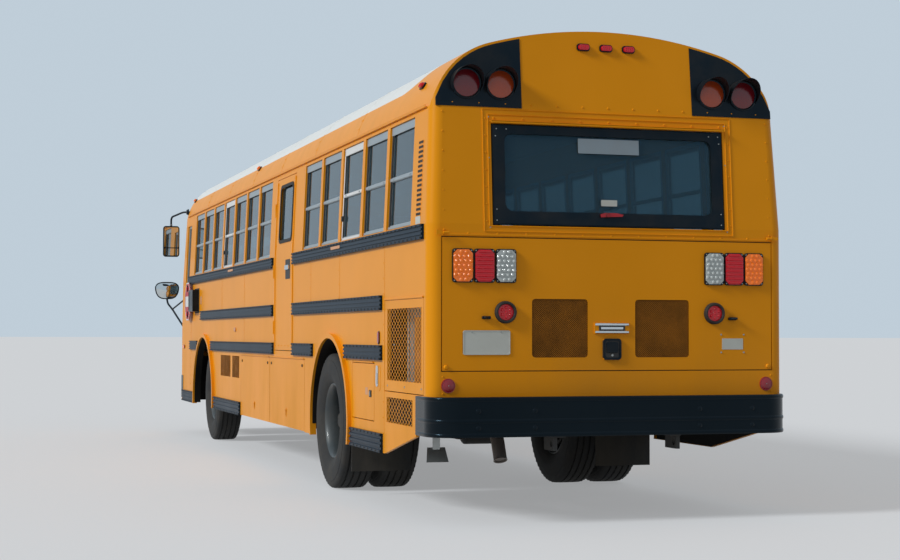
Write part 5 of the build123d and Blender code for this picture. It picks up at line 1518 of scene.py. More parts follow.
@dataclass
class ServiceDoors:
    """Latches, screens and hinges on the doors under the floor."""

    def build(self) -> None:
        """Make each service door's pieces on its own body."""
        self.engine_side()
        self.skirt_screen()
        self.battery()
        self.luggage()
        self.small_meshes()

    def engine_side(self) -> None:
        """Make the big expanded screen on the engine's side door."""
        form = Form("engine_side_screen")
        axes = side_axes(1)
        x0, x1, z0, z1 = 0.158, 0.99, 0.883, 1.359
        form.grille((fwd(x1), HALF + 0.0015, z0), *axes, (x1 - x0, z1 - z0), (0.072, 0.0397),
            (0.0312, 0.0172), YELLOW, Hole.EXPANDED, 0.001)
        form.slab((fwd(x0) - 0.01, HALF - 0.03, z0 - 0.01), (fwd(x0) + 0.24, HALF - 0.026, z1 - 0.06), MESH)
        for x in (0.35, 0.8):
            form.rivet((fwd(x), HALF + 0.002, 1.12), (0, 1, 0), ZINC, 0.007)
        for x in (0.15, 0.55, 0.98):
            form.rivet((fwd(x), HALF, 0.845), (0, 1, 0), ZINC, 0.008)
        form.tube([(fwd(0.11), HALF + 0.002, 1.424), (fwd(1.05), HALF + 0.002, 1.424)], 0.007, YELLOW,
            turns=8)
        form.place(body="engine_side_door")

    def skirt_screen(self) -> None:
        """Make the fixed screen below the engine's side door."""
        form = Form("skirt_screen")
        axes = side_axes(1)
        x0, x1, z0, z1 = 0.36, 1.0, 0.6, 0.768
        form.grille((fwd(x1), HALF + 0.0015, z0), *axes, (x1 - x0, z1 - z0), (0.072, 0.042),
            (0.0312, 0.0182), YELLOW, Hole.EXPANDED, 0.001)
        form.place()

    def battery(self) -> None:
        """Make the battery door's latch, hinge and edge bead, and the bright pull beside it."""
        form = Form("battery_door_fittings")
        axes = side_axes(1)
        form.prism(oblong(0.032, 0.024, 0.006), (fwd(1.45), HALF, 0.775), *axes, 0.003, ABS)
        form.prism(oblong(0.012, 0.016, 0.004), (fwd(1.45), HALF + 0.003, 0.775), *axes, 0.006, ZINC)
        form.prism(oblong(0.036, 0.026, 0.004), (fwd(1.56), HALF, 0.79), *axes, 0.001, AMBER_REFLECTOR)
        form.tube([(fwd(1.36), HALF + 0.004, 0.994), (fwd(1.98), HALF + 0.004, 0.994)], 0.006, YELLOW,
            turns=8)
        form.place(body="battery_door")
        pull = Form("bright_pull")
        pull.prism(oblong(0.062, 0.09, 0.03), (fwd(1.235), HALF, 0.892), *axes, 0.002, YELLOW)
        pull.prism(rounded(-0.03, 0.03, -0.07, 0.075, 0.02), (fwd(1.245), HALF + 0.002, 0.9), *axes, 0.006,
            CHROME)
        pull.prism(rounded(-0.018, 0.018, -0.052, 0.022, 0.012), (fwd(1.245), HALF + 0.008, 0.9), *axes,
            0.004, CHROME)
        pull.place("window_aluminium")

    def luggage(self) -> None:
        """Make each luggage door's T handle, corner buttons and hinge barrel."""
        for sign, hand in SIDES:
            axes = side_axes(sign)
            for end, x0, x1 in (("rear", 3.66, 5.185), ("front", 5.185, 6.71)):
                form = Form(f"luggage_fittings_{hand}_{end}")
                y = sign * HALF
                middle = (x0 + x1) / 2
                form.frame(oblong(0.013, 0.04, 0.012), oblong(0.008, 0.035, 0.007), (fwd(middle), y, 0.515),
                    *axes, 0.002, YELLOW)
                form.prism(oblong(0.006, 0.026, 0.005), (fwd(middle), y, 0.518), *axes, 0.006, YELLOW)
                form.prism(oblong(0.018, 0.005, 0.004), (fwd(middle), y + sign * 0.005, 0.53), *axes, 0.005,
                    YELLOW)
                for x in (x0 + 0.09, x1 - 0.09):
                    form.lathe((fwd(x), y, 0.93), (0, sign, 0), [(POLE, 0.008), (0.01, 0.007),
                        (0.013, 0.0)], GASKET, 14)
                form.tube([(fwd(x0 + 0.02), y + sign * 0.003, 0.986), (fwd(x1 - 0.02), y + sign * 0.003,
                    0.986)], 0.006, YELLOW, turns=8)
                form.place(body=f"luggage_door_{hand}_{end}")

    def small_meshes(self) -> None:
        """Make the two small vent meshes ahead of the luggage doors."""
        form = Form("side_vent_meshes")
        for sign in (1, -1):
            axes = side_axes(sign)
            for x0, x1 in ((6.81, 7.22), (7.34, 7.95)):
                corner = fwd(x1) if sign > 0 else fwd(x0)
                form.grille((corner, sign * (HALF + 0.0015), 0.753), *axes, (x1 - x0, 0.218),
                    (0.0125, 0.0108), (0.0056, 0.0056), MESH)
        form.place()


@dataclass
class ExitDoor:
    """Gasket, edge strips, hinge and handle that swing with the side exit door."""

    x0: float = 4.158
    x1: float = 4.967
    z0: float = 1.051
    z1: float = 2.569
    body: str = "side_exit_door"

    def build(self) -> None:
        """Make the door's pieces."""
        form = Form("exit_door_trim")
        across = (-1.0, 0.0, 0.0)
        lean = Vector((0.0, EAVE_Y - HALF, EAVE_Z - BELT_Z)).normalized()
        middle_z = 2.2525
        pane = (-0.275, 0.275, -0.2475, 0.2475)
        centre = side_point(4.525, middle_z)
        form.frame(rounded(pane[0] - 0.012, pane[1] + 0.012, pane[2] - 0.012, pane[3] + 0.012, 0.062),
            rounded(pane[0] + 0.016, pane[1] - 0.016, pane[2] + 0.016, pane[3] - 0.016, 0.045), centre,
            across, lean, 0.006, GASKET)
        form.prism(oblong(0.1, 0.085, 0.01), (fwd(4.38), HALF, 1.755), across, UP, 0.002, ABS)
        form.prism(oblong(0.08, 0.02, 0.01), (fwd(4.38), HALF + 0.002, 1.77), across, UP, 0.012, CHROME)
        for x in (self.x0 + 0.018, self.x1 - 0.018):
            form.tube([side_point(x, z, 1, 0.002) for z in (self.z0 + 0.02, BELT_Z, self.z1 - 0.02)], 0.007,
                YELLOW, turns=6, smooth=1)
        for z in (1.25, 1.75, 2.3):
            y = side_y(z) + 0.008
            form.tube([(fwd(self.x1 + 0.004), y, z - 0.06), (fwd(self.x1 + 0.004), y, z + 0.06)], 0.009,
                YELLOW)
        form.row(side_point(self.x0 + 0.05, 1.09), side_point(self.x1 - 0.05, 1.09), 0.14, (0, 1, 0),
            YELLOW)
        for x in (self.x0 + 0.05, self.x1 - 0.05):
            form.row(side_point(x, 1.98), side_point(x, 2.53), 0.13, (0, 1, 0), YELLOW)
        form.place(body=self.body)


@dataclass
class StopArm:
    """The blank octagon, its border and lamps, on the folding arm."""

    hinge_x: float = 9.9
    y: float = HALF + 0.04
    z: float = 1.58
    across: float = 0.45
    body: str = "stop_arm"

    def build(self) -> None:
        """Make the arm's faces on both sides."""
        form = Form("stop_arm_faces")
        centre_x = self.hinge_x + 0.045 + self.across / 2
        radius = self.across / 2 / math.cos(math.pi / 8)
        for way in (1, -1):
            across = (-1.0 * way, 0.0, 0.0)
            origin = (fwd(centre_x), self.y + way * 0.004, self.z)
            rings = [circle(8, r, 22.5) for r in (radius * 0.995, radius * 0.93)]
            form.frame(rings[0], rings[1], origin, across, UP, 0.0016, SIGN_WHITE)
            form.prism(rings[1], origin, across, UP, 0.001, SIGN_RED)
            form.prism(oblong(0.165, 0.062, 0.012), (origin[0], origin[1] + way * 0.001, self.z), across,
                UP, 0.0008, SIGN_WHITE)
            for dz in (-0.155, 0.155):
                place = (origin[0], origin[1], self.z + dz)
                form.lathe(place, (0, way, 0), [(0.024, 0.012), (0.036, 0.012), (0.04, 0.0)], HOOD, 28)
                form.lathe(place, (0, way, 0), [(POLE, 0.02), (0.02, 0.018), (0.032, 0.008)], RED_LENS, 28)
        form.place("sign_red", body=self.body)


@dataclass
class Wheels:
    """Tyres with cut tread on dished disc wheels, single in front and twin behind."""

    width: float = 0.28
    rim_r: float = 0.286
    front_y: float = 0.999
    rear_y: float = 1.07
    twin: float = 0.33
    lugs: int = 60

    def build(self) -> None:
        """Make the four wheel bodies' pieces."""
        for side, hand in SIDES:
            tyre = Form(f"front_tyre_tread_{hand}")
            self.tyre(tyre, (fwd(FRONT_AXLE), side * self.front_y, TYRE_R), side)
            tyre.place("tyre_rubber", f"front_tyre_{hand}", body=f"front_wheel_{hand}")
            rim = Form(f"front_rim_{hand}")
            self.rim(rim, (fwd(FRONT_AXLE), side * self.front_y, TYRE_R), side, 0.04)
            rim.place("wheel_steel", f"front_wheel_{hand}", body=f"front_wheel_{hand}")
            twins = Form(f"rear_tyre_treads_{hand}")
            rims = Form(f"rear_rims_{hand}")
            for out, dish in ((0.0, -0.15), (-self.twin, 0.11)):
                centre = (fwd(REAR_AXLE), side * (self.rear_y + out), TYRE_R)
                self.tyre(twins, centre, side)
                self.rim(rims, centre, side if out == 0 else -side, dish if out == 0 else -0.165, out == 0)
            twins.place("tyre_rubber", f"rear_tyres_{hand}", body=f"rear_wheels_{hand}")
            rims.place("wheel_steel", f"rear_wheels_{hand}", body=f"rear_wheels_{hand}")

    def tyre(self, form: Form, centre: Point, side: int) -> None:
        """Make one tyre: ribbed tread with grooves, lugged shoulders and a ringed sidewall.

        Args:
            form: The form that it joins.
            centre: Middle of the tyre.
            side: Which way its outer face looks.
        """
        w = self.width / 2
        groove = 0.013
        half = [(0.1, 0.288, 0), (0.112, 0.3, 0), (0.128, 0.33, 0), (0.138, 0.372, 0), (0.1395, 0.38, 0),
            (0.1395, 0.386, 0), (w, 0.405, 0), (0.138, 0.44, 0), (0.134, 0.468, 0), (0.131, 0.47, 0),
            (0.129, 0.486, 1), (0.122, 0.508, 2), (0.108, 0.5185, 2), (0.084, 0.52, 0),
            (0.08, 0.52 - groove, 0), (0.072, 0.52 - groove, 0), (0.068, 0.5205, 0), (0.034, 0.521, 0),
            (0.03, 0.521 - groove, 0), (0.022, 0.521 - groove, 0), (0.018, 0.521, 0)]
        profile = half + [(-a, r, lug) for a, r, lug in reversed(half)]
        steps = self.lugs * 2
        points = []
        for k in range(steps):
            angle = 2 * math.pi * k / steps
            cut = 0.009 if k % 2 else 0.0
            for across, radius, lug in profile:
                r = radius - (cut if lug == 2 else 0.004 if lug == 1 and k % 2 else 0.0)
                points.append((centre[0] + r * math.cos(angle), centre[1] + across * side,
                    centre[2] + r * math.sin(angle)))
        form.patch(points, strips(steps, len(profile), around=True, flip=side < 0), TYRE)

    def rim(self, form: Form, centre: Point, side: int, dish: float, hub: bool = True) -> None:
        """Make one disc wheel: rolled flange, barrel, disc with hand holes, hub and nuts.

        Args:
            form: The form that it joins.
            centre: Middle of the wheel.
            side: Which way its outer face looks.
            dish: Where the disc lies, counted outward from the middle.
            hub: Whether it carries the hub and nuts.
        """
        axis = (0.0, float(side), 0.0)
        r = self.rim_r
        form.lathe(centre, axis, [(r + 0.002, 0.094), (r + 0.004, 0.103), (r - 0.002, 0.106),
            (r - 0.012, 0.1), (r - 0.022, 0.088), (r - 0.034, 0.06), (r - 0.04, 0.0), (r - 0.04, -0.096),
            (r + 0.002, -0.104)], WHEEL, 60)
        self.disc(form, centre, side, dish)
        if not hub:
            return
        if dish > 0:
            hub_profile = [(POLE, dish + 0.052), (0.045, dish + 0.052), (0.058, dish + 0.044),
                (0.066, dish + 0.02), (0.1, dish + 0.012), (0.104, dish)]
        else:
            hub_profile = [(POLE, 0.056), (0.05, 0.056), (0.062, 0.046), (0.072, 0.0), (0.086, -0.08),
                (0.112, dish + 0.012), (0.118, dish)]
        form.lathe(centre, axis, hub_profile, CAST, 40)
        for u, v in circle(10, 0.1425):
            place = (centre[0] + u, centre[1] + side * (dish + 0.006), centre[2] + v)
            form.lathe(place, axis, [(POLE, 0.034), (0.01, 0.034), (0.011, 0.022), (0.0165, 0.021),
                (0.0185, 0.014), (0.0185, 0.004), (0.022, 0.0)], ZINC, 6)

    def disc(self, form: Form, centre: Point, side: int, dish: float) -> None:
        """Make the dished disc as a sheet with ten oval hand holes.

        Args:
            form: The form that it joins.
            centre: Middle of the wheel.
            side: Which way its outer face looks.
            dish: Where the disc lies, counted outward from the middle.
        """
        rings = [(0.105, 0.0), (0.165, 0.0), (0.18, 0.002), (0.19, 0.001), (0.205, -0.004), (0.22, -0.012),
            (0.228, -0.018), (0.2465, -0.03)]
        steps = 80
        points = []
        for depth in (0.006, -0.006):
            for k in range(steps):
                angle = 2 * math.pi * k / steps
                for radius, back in rings:
                    points.append((centre[0] + radius * math.cos(angle),
                        centre[1] + side * (dish + back + depth), centre[2] + radius * math.sin(angle)))
        rows = len(rings)
        total = steps * rows
        faces = []

        def open_cell(k: int, j: int) -> bool:
            """Tell whether a cell of the sheet lies in a hand hole.

            Args:
                k: The cell's number round the disc.
                j: Its number from the hub outward.

            Returns:
                Whether the cell is left open.
            """
            spot = k % 8
            if j in (3, 4):
                return 2 <= spot <= 5
            return j == 2 and 3 <= spot <= 4 or j == 5 and 3 <= spot <= 4

        for k in range(steps):
            for j in range(rows - 1):
                m = (k + 1) % steps
                quad = (k * rows + j, k * rows + j + 1, m * rows + j + 1, m * rows + j)
                if open_cell(k, j):
                    continue
                faces.append(quad if side > 0 else quad[::-1])
                back = tuple(total + q for q in quad)
                faces.append(back[::-1] if side > 0 else back)
                edges = (((k - 1) % steps, j, quad[0], quad[1]), (m, j, quad[2], quad[3]),
                    (k, j - 1, quad[3], quad[0]), (k, j + 1, quad[1], quad[2]))
                for near_k, near_j, a, b in edges:
                    if 0 <= near_j < rows - 1 and open_cell(near_k, near_j):
                        wall = (a, b, total + b, total + a)
                        faces.append(wall[::-1] if side > 0 else wall)
        form.patch(points, faces, WHEEL)


@dataclass
class Mirrors:
    """Flat heads on upper arms and crossview domes on lower arms."""

    head_x: float = 11.1
    head_y: float = 1.339
    head_z: Flat = (2.156, 2.538)
    dome_y: float = 1.345
    dome_z: float = 1.742
    dome: Point = (0.145, 0.07, 0.14)  # half width, height over its middle and depth under it

    def build(self) -> None:
        """Make both sides' mirrors in place of the plain ones."""
        form = Form("mirror_sets")
        for side in (-1, 1):
            self.head(form, side)
            self.crossview(form, side)
        form.place("black_paint", "mirrors")

    def head(self, form: Form, side: int) -> None:
        """Make one flat head: a moulded shell, its two glasses and the upper arm.

        Args:
            form: The form that it joins.
            side: 1 on the left side, -1 on the right.
        """
        x = fwd(self.head_x + 0.03)
        middle = (self.head_z[0] + self.head_z[1]) / 2
        tall = (self.head_z[1] - self.head_z[0]) / 2
        y = side * self.head_y
        layers = ((0.0, 0.0, 0.0), (0.015, -0.002, -0.002), (0.035, 0.012, 0.01), (0.055, 0.04, 0.03))
        outlines = [oblong(0.1 - a, tall - b, 0.035) for _, a, b in layers]
        n = len(outlines[0])
        points = [(x - 0.03 + depth, y - u, middle + v) for (depth, _, _), outline in zip(layers, outlines)
            for u, v in outline]
        caps = [tuple(range((len(layers) - 1) * n, len(layers) * n))[::-1], tuple(range(n))]
        form.patch(points, strips(len(layers), n, closed=True, flip=True) + caps, HOOD)
        form.frame(oblong(0.1, tall, 0.035), oblong(0.09, tall - 0.01, 0.028), (x - 0.03, y, middle), *REAR,
            0.006, HOOD)
        for z0, z1 in ((self.head_z[0] + 0.016, self.head_z[0] + 0.104), (self.head_z[0] + 0.116,
                self.head_z[1] - 0.016)):
            form.prism(rounded(-0.086, 0.086, z0 - middle, z1 - middle, 0.014), (x - 0.03, y, middle),
                *REAR, 0.003, MIRROR)
        root = (fwd(10.74), side * 1.15, 2.69)
        form.tube([(x, y, self.head_z[1] - 0.02), (x, y, 2.65), (fwd(10.9), side * 1.22, 2.7), root], 0.012,
            HOOD, smooth=8)
        form.lathe((fwd(10.77), side * 1.172, 2.692), (0.0, side, 0.0), [(POLE, 0.03), (0.026, 0.028),
            (0.034, 0.014), (0.04, 0.0)], HOOD, 20)
        for z in (self.head_z[1] - 0.008, self.head_z[1] + 0.01):
            form.lathe((x, y, z), UP, [(0.0125, 0.01), (0.019, 0.009), (0.019, 0.0), (0.0125, -0.001)],
                ZINC, 16)

    def crossview(self, form: Form, side: int) -> None:
        """Make one crossview: a domed glass in a shell, on a forked arm.

        Args:
            form: The form that it joins.
            side: 1 on the left side, -1 on the right.
        """
        back = fwd(11.43)
        centre = (back, side * self.dome_y, self.dome_z)
        steps, rings, power = 40, 8, 0.62
        wide, over, under = self.dome

        def edge(angle: float) -> Flat:
            """Give the crossview's outline: flatter on top than below."""
            v = (over if math.sin(angle) > 0 else under) * math.sin(angle)
            u = wide * math.copysign(abs(math.cos(angle)) ** power, math.cos(angle))
            return u, v + 0.035

        glass = tuple((j / rings, -0.045 * (1 - (j / rings) ** 2)) for j in range(rings + 1))
        shell = ((0.97, -0.006), (1.0, -0.01), (1.045, -0.004), (1.04, 0.012), (0.93, 0.04), (0.7, 0.058),
            (0.3, 0.066), (0.02, 0.067))
        outline = [edge(2 * math.pi * k / steps) for k in range(steps)]
        for sections, finish in ((glass, MIRROR), (shell, HOOD)):
            points = [(centre[0] + depth, centre[1] + u * share, centre[2] + v * share) for share,
                depth in sections for u, v in outline]
            form.patch(points, strips(len(sections), steps, closed=True), finish)
        knee = (fwd(11.33), side * 1.29, 1.505)
        form.tube([(back + 0.03, side * self.dome_y, 1.66), (back + 0.01, side * 1.335, 1.58), knee,
            (fwd(10.915), side * 1.168, 1.225)], 0.012, HOOD)
        form.tube([knee, (fwd(10.905), side * 1.172, 1.64)], 0.01, HOOD)
        for z, x in ((1.225, 10.915), (1.64, 10.9)):
            form.slab((fwd(x) - 0.04, side * 1.168 - 0.014, z - 0.04), (fwd(x) + 0.01, side * 1.168 + 0.014,
                z + 0.04), HOOD, 0.006)


@dataclass
class Seats:
    """Padded benches and the driver's seat."""

    width: float = 0.99
    outer_y: float = 1.164
    cushion: Point = (0.4, 0.99, 0.12)
    back: Point = (0.08, 0.99, 0.68)
    soft: float = 0.009
    grid: float = 0.05
    left_rows: tuple[int, ...] = (2, 3, 4, 5, 7, 8, 9, 10, 11, 12, 13)  # the exit door's bay stays free
    right_rows: tuple[int, ...] = tuple(range(2, 13))

    def build(self) -> None:
        """Blow up one pad of each kind, then set it on every bench."""
        rows = [(1, k) for k in self.left_rows] + [(-1, k) for k in self.right_rows]
        for name, size, ahead, z in (("seat_cushions", self.cushion, 0.282, 1.43), ("seat_backs", self.back,
                0.04, 1.71)):
            points, faces = self.pad(size)
            form = Form(name)
            for sign, row in rows:
                centre = (fwd(FIRST_POST + PITCH * row - 0.12 + ahead),
                    sign * (self.outer_y - self.width / 2), z)
                form.patch([tuple(c + q for c, q in zip(centre, p)) for p in points], faces, VINYL)
                self.welt(form, centre, size)
            pads = form.place("seat_vinyl", "seat_pads", sharp=60)
        self.driver()

    def pad(self, size: Point) -> tuple[list[Point], Faces]:
        """Make a closed pad about its middle, with round edges, and blow it up.

        Args:
            size: Its length, width and height when blown up.

        Returns:
            Its points and faces.
        """
        half = [d / 2 - self.soft for d in size]
        bend = min(half) * 0.7
        lines = []
        for h in half:
            count = max(2, round(2 * (h - bend) / self.grid))
            inner = [(2 * k / count - 1) * (h - bend) for k in range(count + 1)]
            lines.append([-h, 0.6 * bend - h] + inner + [h - 0.6 * bend, h])
        number: dict[tuple[int, int, int], int] = {}
        points: list[Point] = []
        faces: Faces = []
        for axis in range(3):
            a, b = (axis + 1) % 3, (axis + 2) % 3
            for end in (0, len(lines[axis]) - 1):
                for i in range(len(lines[a]) - 1):
                    for j in range(len(lines[b]) - 1):
                        ring = []
                        for di, dj in ((0, 0), (1, 0), (1, 1), (0, 1)):
                            key = [0, 0, 0]
                            key[axis], key[a], key[b] = end, i + di, j + dj
                            spot = tuple(key)
                            if spot not in number:
                                number[spot] = len(points)
                                points.append(self.rounded_corner([lines[n][spot[n]] for n in range(3)],
                                    half, bend))
                            ring.append(number[spot])
                        faces.append(tuple(ring if end else ring[::-1]))
        return self.inflate(points, faces), faces

    @staticmethod
    def rounded_corner(spot: Coords, half: Coords, bend: float) -> Point:
        """Bring a point of a box onto the same box with round edges.

        Args:
            spot: The box's point.
            half: The box's half sizes.
            bend: Radius of the round edges.

        Returns:
            The point on the round box.
        """
        core = [min(max(c, bend - h), h - bend) for c, h in zip(spot, half)]
        out = Vector([c - q for c, q in zip(spot, core)])
        if out.length < 1e-9:
            return tuple(spot)
        return tuple(Vector(core) + out.normalized() * bend)

    def inflate(self, points: list[Point], faces: Faces) -> list[Point]:
        """Blow a pad up as cloth under pressure, and hold it to its softness.

        Args:
            points: The slack pad's points.
            faces: Its faces.

        Returns:
            The points of the full pad.
        """
        mesh = bpy.data.meshes.new("pad_cloth")
        mesh.from_pydata(points, [], faces)
        pad = bpy.data.objects.new("pad_cloth", mesh)
        scene = bpy.context.scene
        scene.collection.objects.link(pad)
        cloth = pad.modifiers.new("Cloth", "CLOTH")
        cloth.settings.use_pressure = True
        cloth.settings.uniform_pressure_force = 4.0
        cloth.settings.quality = 6
        cloth.settings.effector_weights.gravity = 0.0
        cloth.point_cache.frame_start = 1
        cloth.point_cache.frame_end = 20
        for frame in range(1, 21):
            scene.frame_set(frame)
        full = pad.evaluated_get(bpy.context.evaluated_depsgraph_get()).to_mesh()
        swollen = []
        for start, vertex in zip(points, full.vertices):
            move = vertex.co - Vector(start)
            if move.length > self.soft:
                move = move.normalized() * self.soft
            swollen.append(tuple(Vector(start) + move))
        scene.frame_set(1)
        bpy.data.objects.remove(pad)
        bpy.data.meshes.remove(mesh)
        return swollen

    def welt(self, form: Form, centre: Point, size: Point) -> None:
        """Sew the piped seams round a pad's two broad faces.

        Args:
            form: The form that it joins.
            centre: The pad's middle.
            size: The pad's size.
        """
        thin = min(range(3), key=lambda n: size[n])
        a, b = [n for n in range(3) if n != thin]
        inset = self.soft + 0.006
        outline = oblong(size[a] / 2 - inset, size[b] / 2 - inset, 0.03, 3)
        for side in (-1, 1):
            path = []
            for u, v in outline + outline[:1]:
                spot = list(centre)
                spot[a] += u
                spot[b] += v
                spot[thin] += side * (size[thin] / 2 - self.soft - 0.004)
                path.append(tuple(spot))
            form.tube(path, 0.004, VINYL, turns=5)

    def driver(self) -> None:
        """Make the driver's padded seat on its bellows base, with its belt."""
        form = Form("driver_seat_padding")
        x = fwd(LAST_POST - 0.06)
        for size, centre in (((0.5, 0.48, 0.1), (x + 0.27, 0.63, FLOOR_Z + 0.38)),
                ((0.105, 0.46, 0.7), (x + 0.056, 0.63, FLOOR_Z + 0.79))):
            points, faces = self.pad(size)
            form.patch([tuple(c + q for c, q in zip(centre, p)) for p in points], faces, VINYL)
            self.welt(form, centre, size)
        base = rounded(x + 0.085, x + 0.415, 0.485, 0.775, 0.04)
        neck = rounded(x + 0.115, x + 0.385, 0.515, 0.745, 0.03)
        for k in range(6):
            form.prism(base if k in (0, 5) else neck if k % 2 else base, (0.0, 0.0, FLOOR_Z + 0.054 * k),
                (1, 0, 0), (0, 1, 0), 0.056, SEAT_STEEL if k in (0, 5) else GASKET)
        form.tube([(x + 0.02, 0.4, FLOOR_Z + 1.08), (x + 0.116, 0.48, FLOOR_Z + 1.02),
            (x + 0.116, 0.76, FLOOR_Z + 0.48)], 0.012, GASKET, turns=6, smooth=2)
        seat = form.place("seat_vinyl", "driver_seat", sharp=60)


@dataclass
class Cabin:
    """Dashboard, steering wheel, pedals, barriers, rails, lamps and the ribbed aisle."""

    dash_x: float = 10.63
    dash_y: Flat = (-0.295, 1.095)
    hood_y: Flat = (0.33, 0.93)
    wheel: Point = (10.5, 0.63, 1.66)
    wheel_r: float = 0.212
    tilt: float = 35.0
    column: float = 0.46

    def build(self) -> None:
        """Make the cabin's pieces."""
        self.dashboard()
        self.controls()
        self.barriers()
        self.ceiling()
        self.aisle()

    def dashboard(self) -> None:
        """Make the dashboard, its gauges, its switches and the steering wheel on its column."""
        form = Form("dashboard_and_wheel")
        x = fwd(self.dash_x)
        shell = [(0.01, 1.155), (0.235, 1.155), (0.235, 1.322), (0.19, 1.338), (0.07, 1.338),
            (0.022, 1.318), (0.004, 1.29), (0.002, 1.215)]
        form.prism(shell, (x, self.dash_y[1], 0.0), (1, 0, 0), UP, self.dash_y[1] - self.dash_y[0], ABS)
        hood = [(-0.026, 1.232), (0.012, 1.226), (0.06, 1.335), (0.03, 1.392), (-0.022, 1.398),
            (-0.014, 1.38)]
        form.prism(hood, (x, self.hood_y[1], 0.0), (1, 0, 0), UP, self.hood_y[1] - self.hood_y[0], ABS)
        for y, radius in ((0.49, 0.034), (0.588, 0.048), (0.7, 0.048), (0.8, 0.034)):
            centre = (x - 0.024, y, 1.31)
            form.lathe(centre, REARWARD, [(POLE, 0.001), (radius - 0.004, 0.001), (radius - 0.003, 0.006),
                (radius, 0.006), (radius + 0.002, 0.0)], HOOD, 28)
            for k in range(11):
                angle = math.radians(225 - 27 * k)
                reach = radius - 0.01
                form.lathe((x - 0.0255, y - reach * math.cos(angle), 1.31 + reach * math.sin(angle)),
                    REARWARD, [(POLE, 0.001), (0.0016, 0.001)], PLATE, 6)
            form.tube([(x - 0.027, y, 1.31), (x - 0.027, y + (radius - 0.012) * 0.7,
                1.31 + (radius - 0.012) * 0.6)], 0.0012, SIGN_RED, turns=5)
        for k in range(9):
            form.slab((x - 0.006, 0.24 - 0.056 * k, 1.255), (x + 0.004, 0.272 - 0.056 * k, 1.285), HOOD,
                0.003)
        self.steering(form)
        form.place("dash_plastic", "dashboard")

    def steering(self, form: Form) -> None:
        """Make the wheel, its three spokes, its horn button and the column.

        Args:
            form: The form that it joins.
        """
        lean = math.radians(self.tilt)
        axis = Vector((-math.sin(lean), 0.0, math.cos(lean)))
        ahead = Vector((math.cos(lean), 0.0, math.sin(lean)))
        centre = Vector((fwd(self.wheel[0]), self.wheel[1], self.wheel[2])) + axis * 0.012
        ring = [(self.wheel_r + 0.0125 * math.cos(math.radians(36 * k)),
            0.0125 * math.sin(math.radians(36 * k))) for k in range(11)]
        form.lathe(tuple(centre), tuple(axis), ring, HOOD, 56)
        for turn in (90, 210, 330):
            angle = math.radians(turn)
            out = ahead * math.cos(angle) + Vector((0, 1, 0)) * math.sin(angle)
            form.tube([centre - axis * 0.006, centre + out * 0.11 - axis * 0.01,
                centre + out * self.wheel_r], 0.011, HOOD, turns=8, smooth=2)
        form.lathe(tuple(centre), tuple(axis), [(POLE, 0.012), (0.03, 0.011), (0.034, 0.006),
            (0.048, 0.004), (0.054, -0.006), (0.05, -0.03), (0.03, -0.045)], ABS, 36)
        form.lathe(tuple(centre), tuple(axis), [(0.03, -0.04), (0.027, -0.2), (0.034, -0.22), (0.034, -0.3),
            (0.046, -0.34), (0.05, -0.42), (0.06, -self.column)], ABS)
        stalk = centre - axis * 0.075
        form.tube([stalk, stalk + Vector((0.0, 0.15, 0.0)) + axis * 0.03], 0.007, HOOD, turns=8)

    def controls(self) -> None:
        """Make the two pedals and the parking brake knob."""
        form = Form("driver_controls")
        for y, wide in ((0.48, 0.04), (0.66, 0.055)):
            x = fwd(10.64)
            form.prism(rounded(-wide, wide, 0.0, 0.15, 0.015), (x, y, FLOOR_Z + 0.055), (0, -1, 0),
                Vector((0.55, 0.0, 0.83)), 0.012, GASKET)
            for k in range(5):
                base = Vector((x - 0.008, 0.0, FLOOR_Z + 0.08)) + Vector((0.55, 0.0, 0.83)) * 0.026 * k
                form.tube([base + Vector((-0.004, y - wide + 0.01, 0.003)),
                    base + Vector((-0.004, y + wide - 0.01, 0.003))], 0.003, GASKET, turns=6)
        form.lathe((fwd(10.622), 0.38, 1.215), REARWARD, [(0.006, 0.0), (0.006, 0.03), (0.02, 0.034),
            (0.018, 0.046), (POLE, 0.05)], AMBER_LENS, 20)
        form.place("dash_plastic")

    def barriers(self) -> None:
        """Make the padded barriers, the stanchions and the grab rails at the front of the aisle."""
        form = Form("barriers_and_rails")
        for y0, y1 in ((0.43, 1.15), (-1.15, -0.44)):
            form.prism(rounded(y0, y1, 1.12, 1.76, 0.05), (fwd(9.832), 0.0, 0.0), (0, 1, 0), UP, 0.022, ABS)
            for z in (1.085, 1.79):
                form.tube([(fwd(9.842), y0, z), (fwd(9.842), y1, z)], 0.015, CHROME, turns=12)
        for y in (0.43, -0.44):
            form.tube([(fwd(9.842), y, FLOOR_Z), (fwd(9.842), y, 2.7), (fwd(9.842), y * 1.04,
                roof_z(y) - 0.06)], 0.016, CHROME, turns=14, smooth=2)
            form.lathe((fwd(9.842), y, FLOOR_Z), UP, [(0.016, 0.014), (0.024, 0.01), (0.034, 0.004),
                (0.036, 0.0)], CHROME, 18)
        form.tube([(fwd(10.69), -1.06, 0.7), (fwd(10.64), -1.06, 1.02), (fwd(10.64), -1.06, 1.62),
            (fwd(10.69), -1.06, 1.72)], 0.016, CHROME, turns=12, smooth=3)
        form.place("window_aluminium")

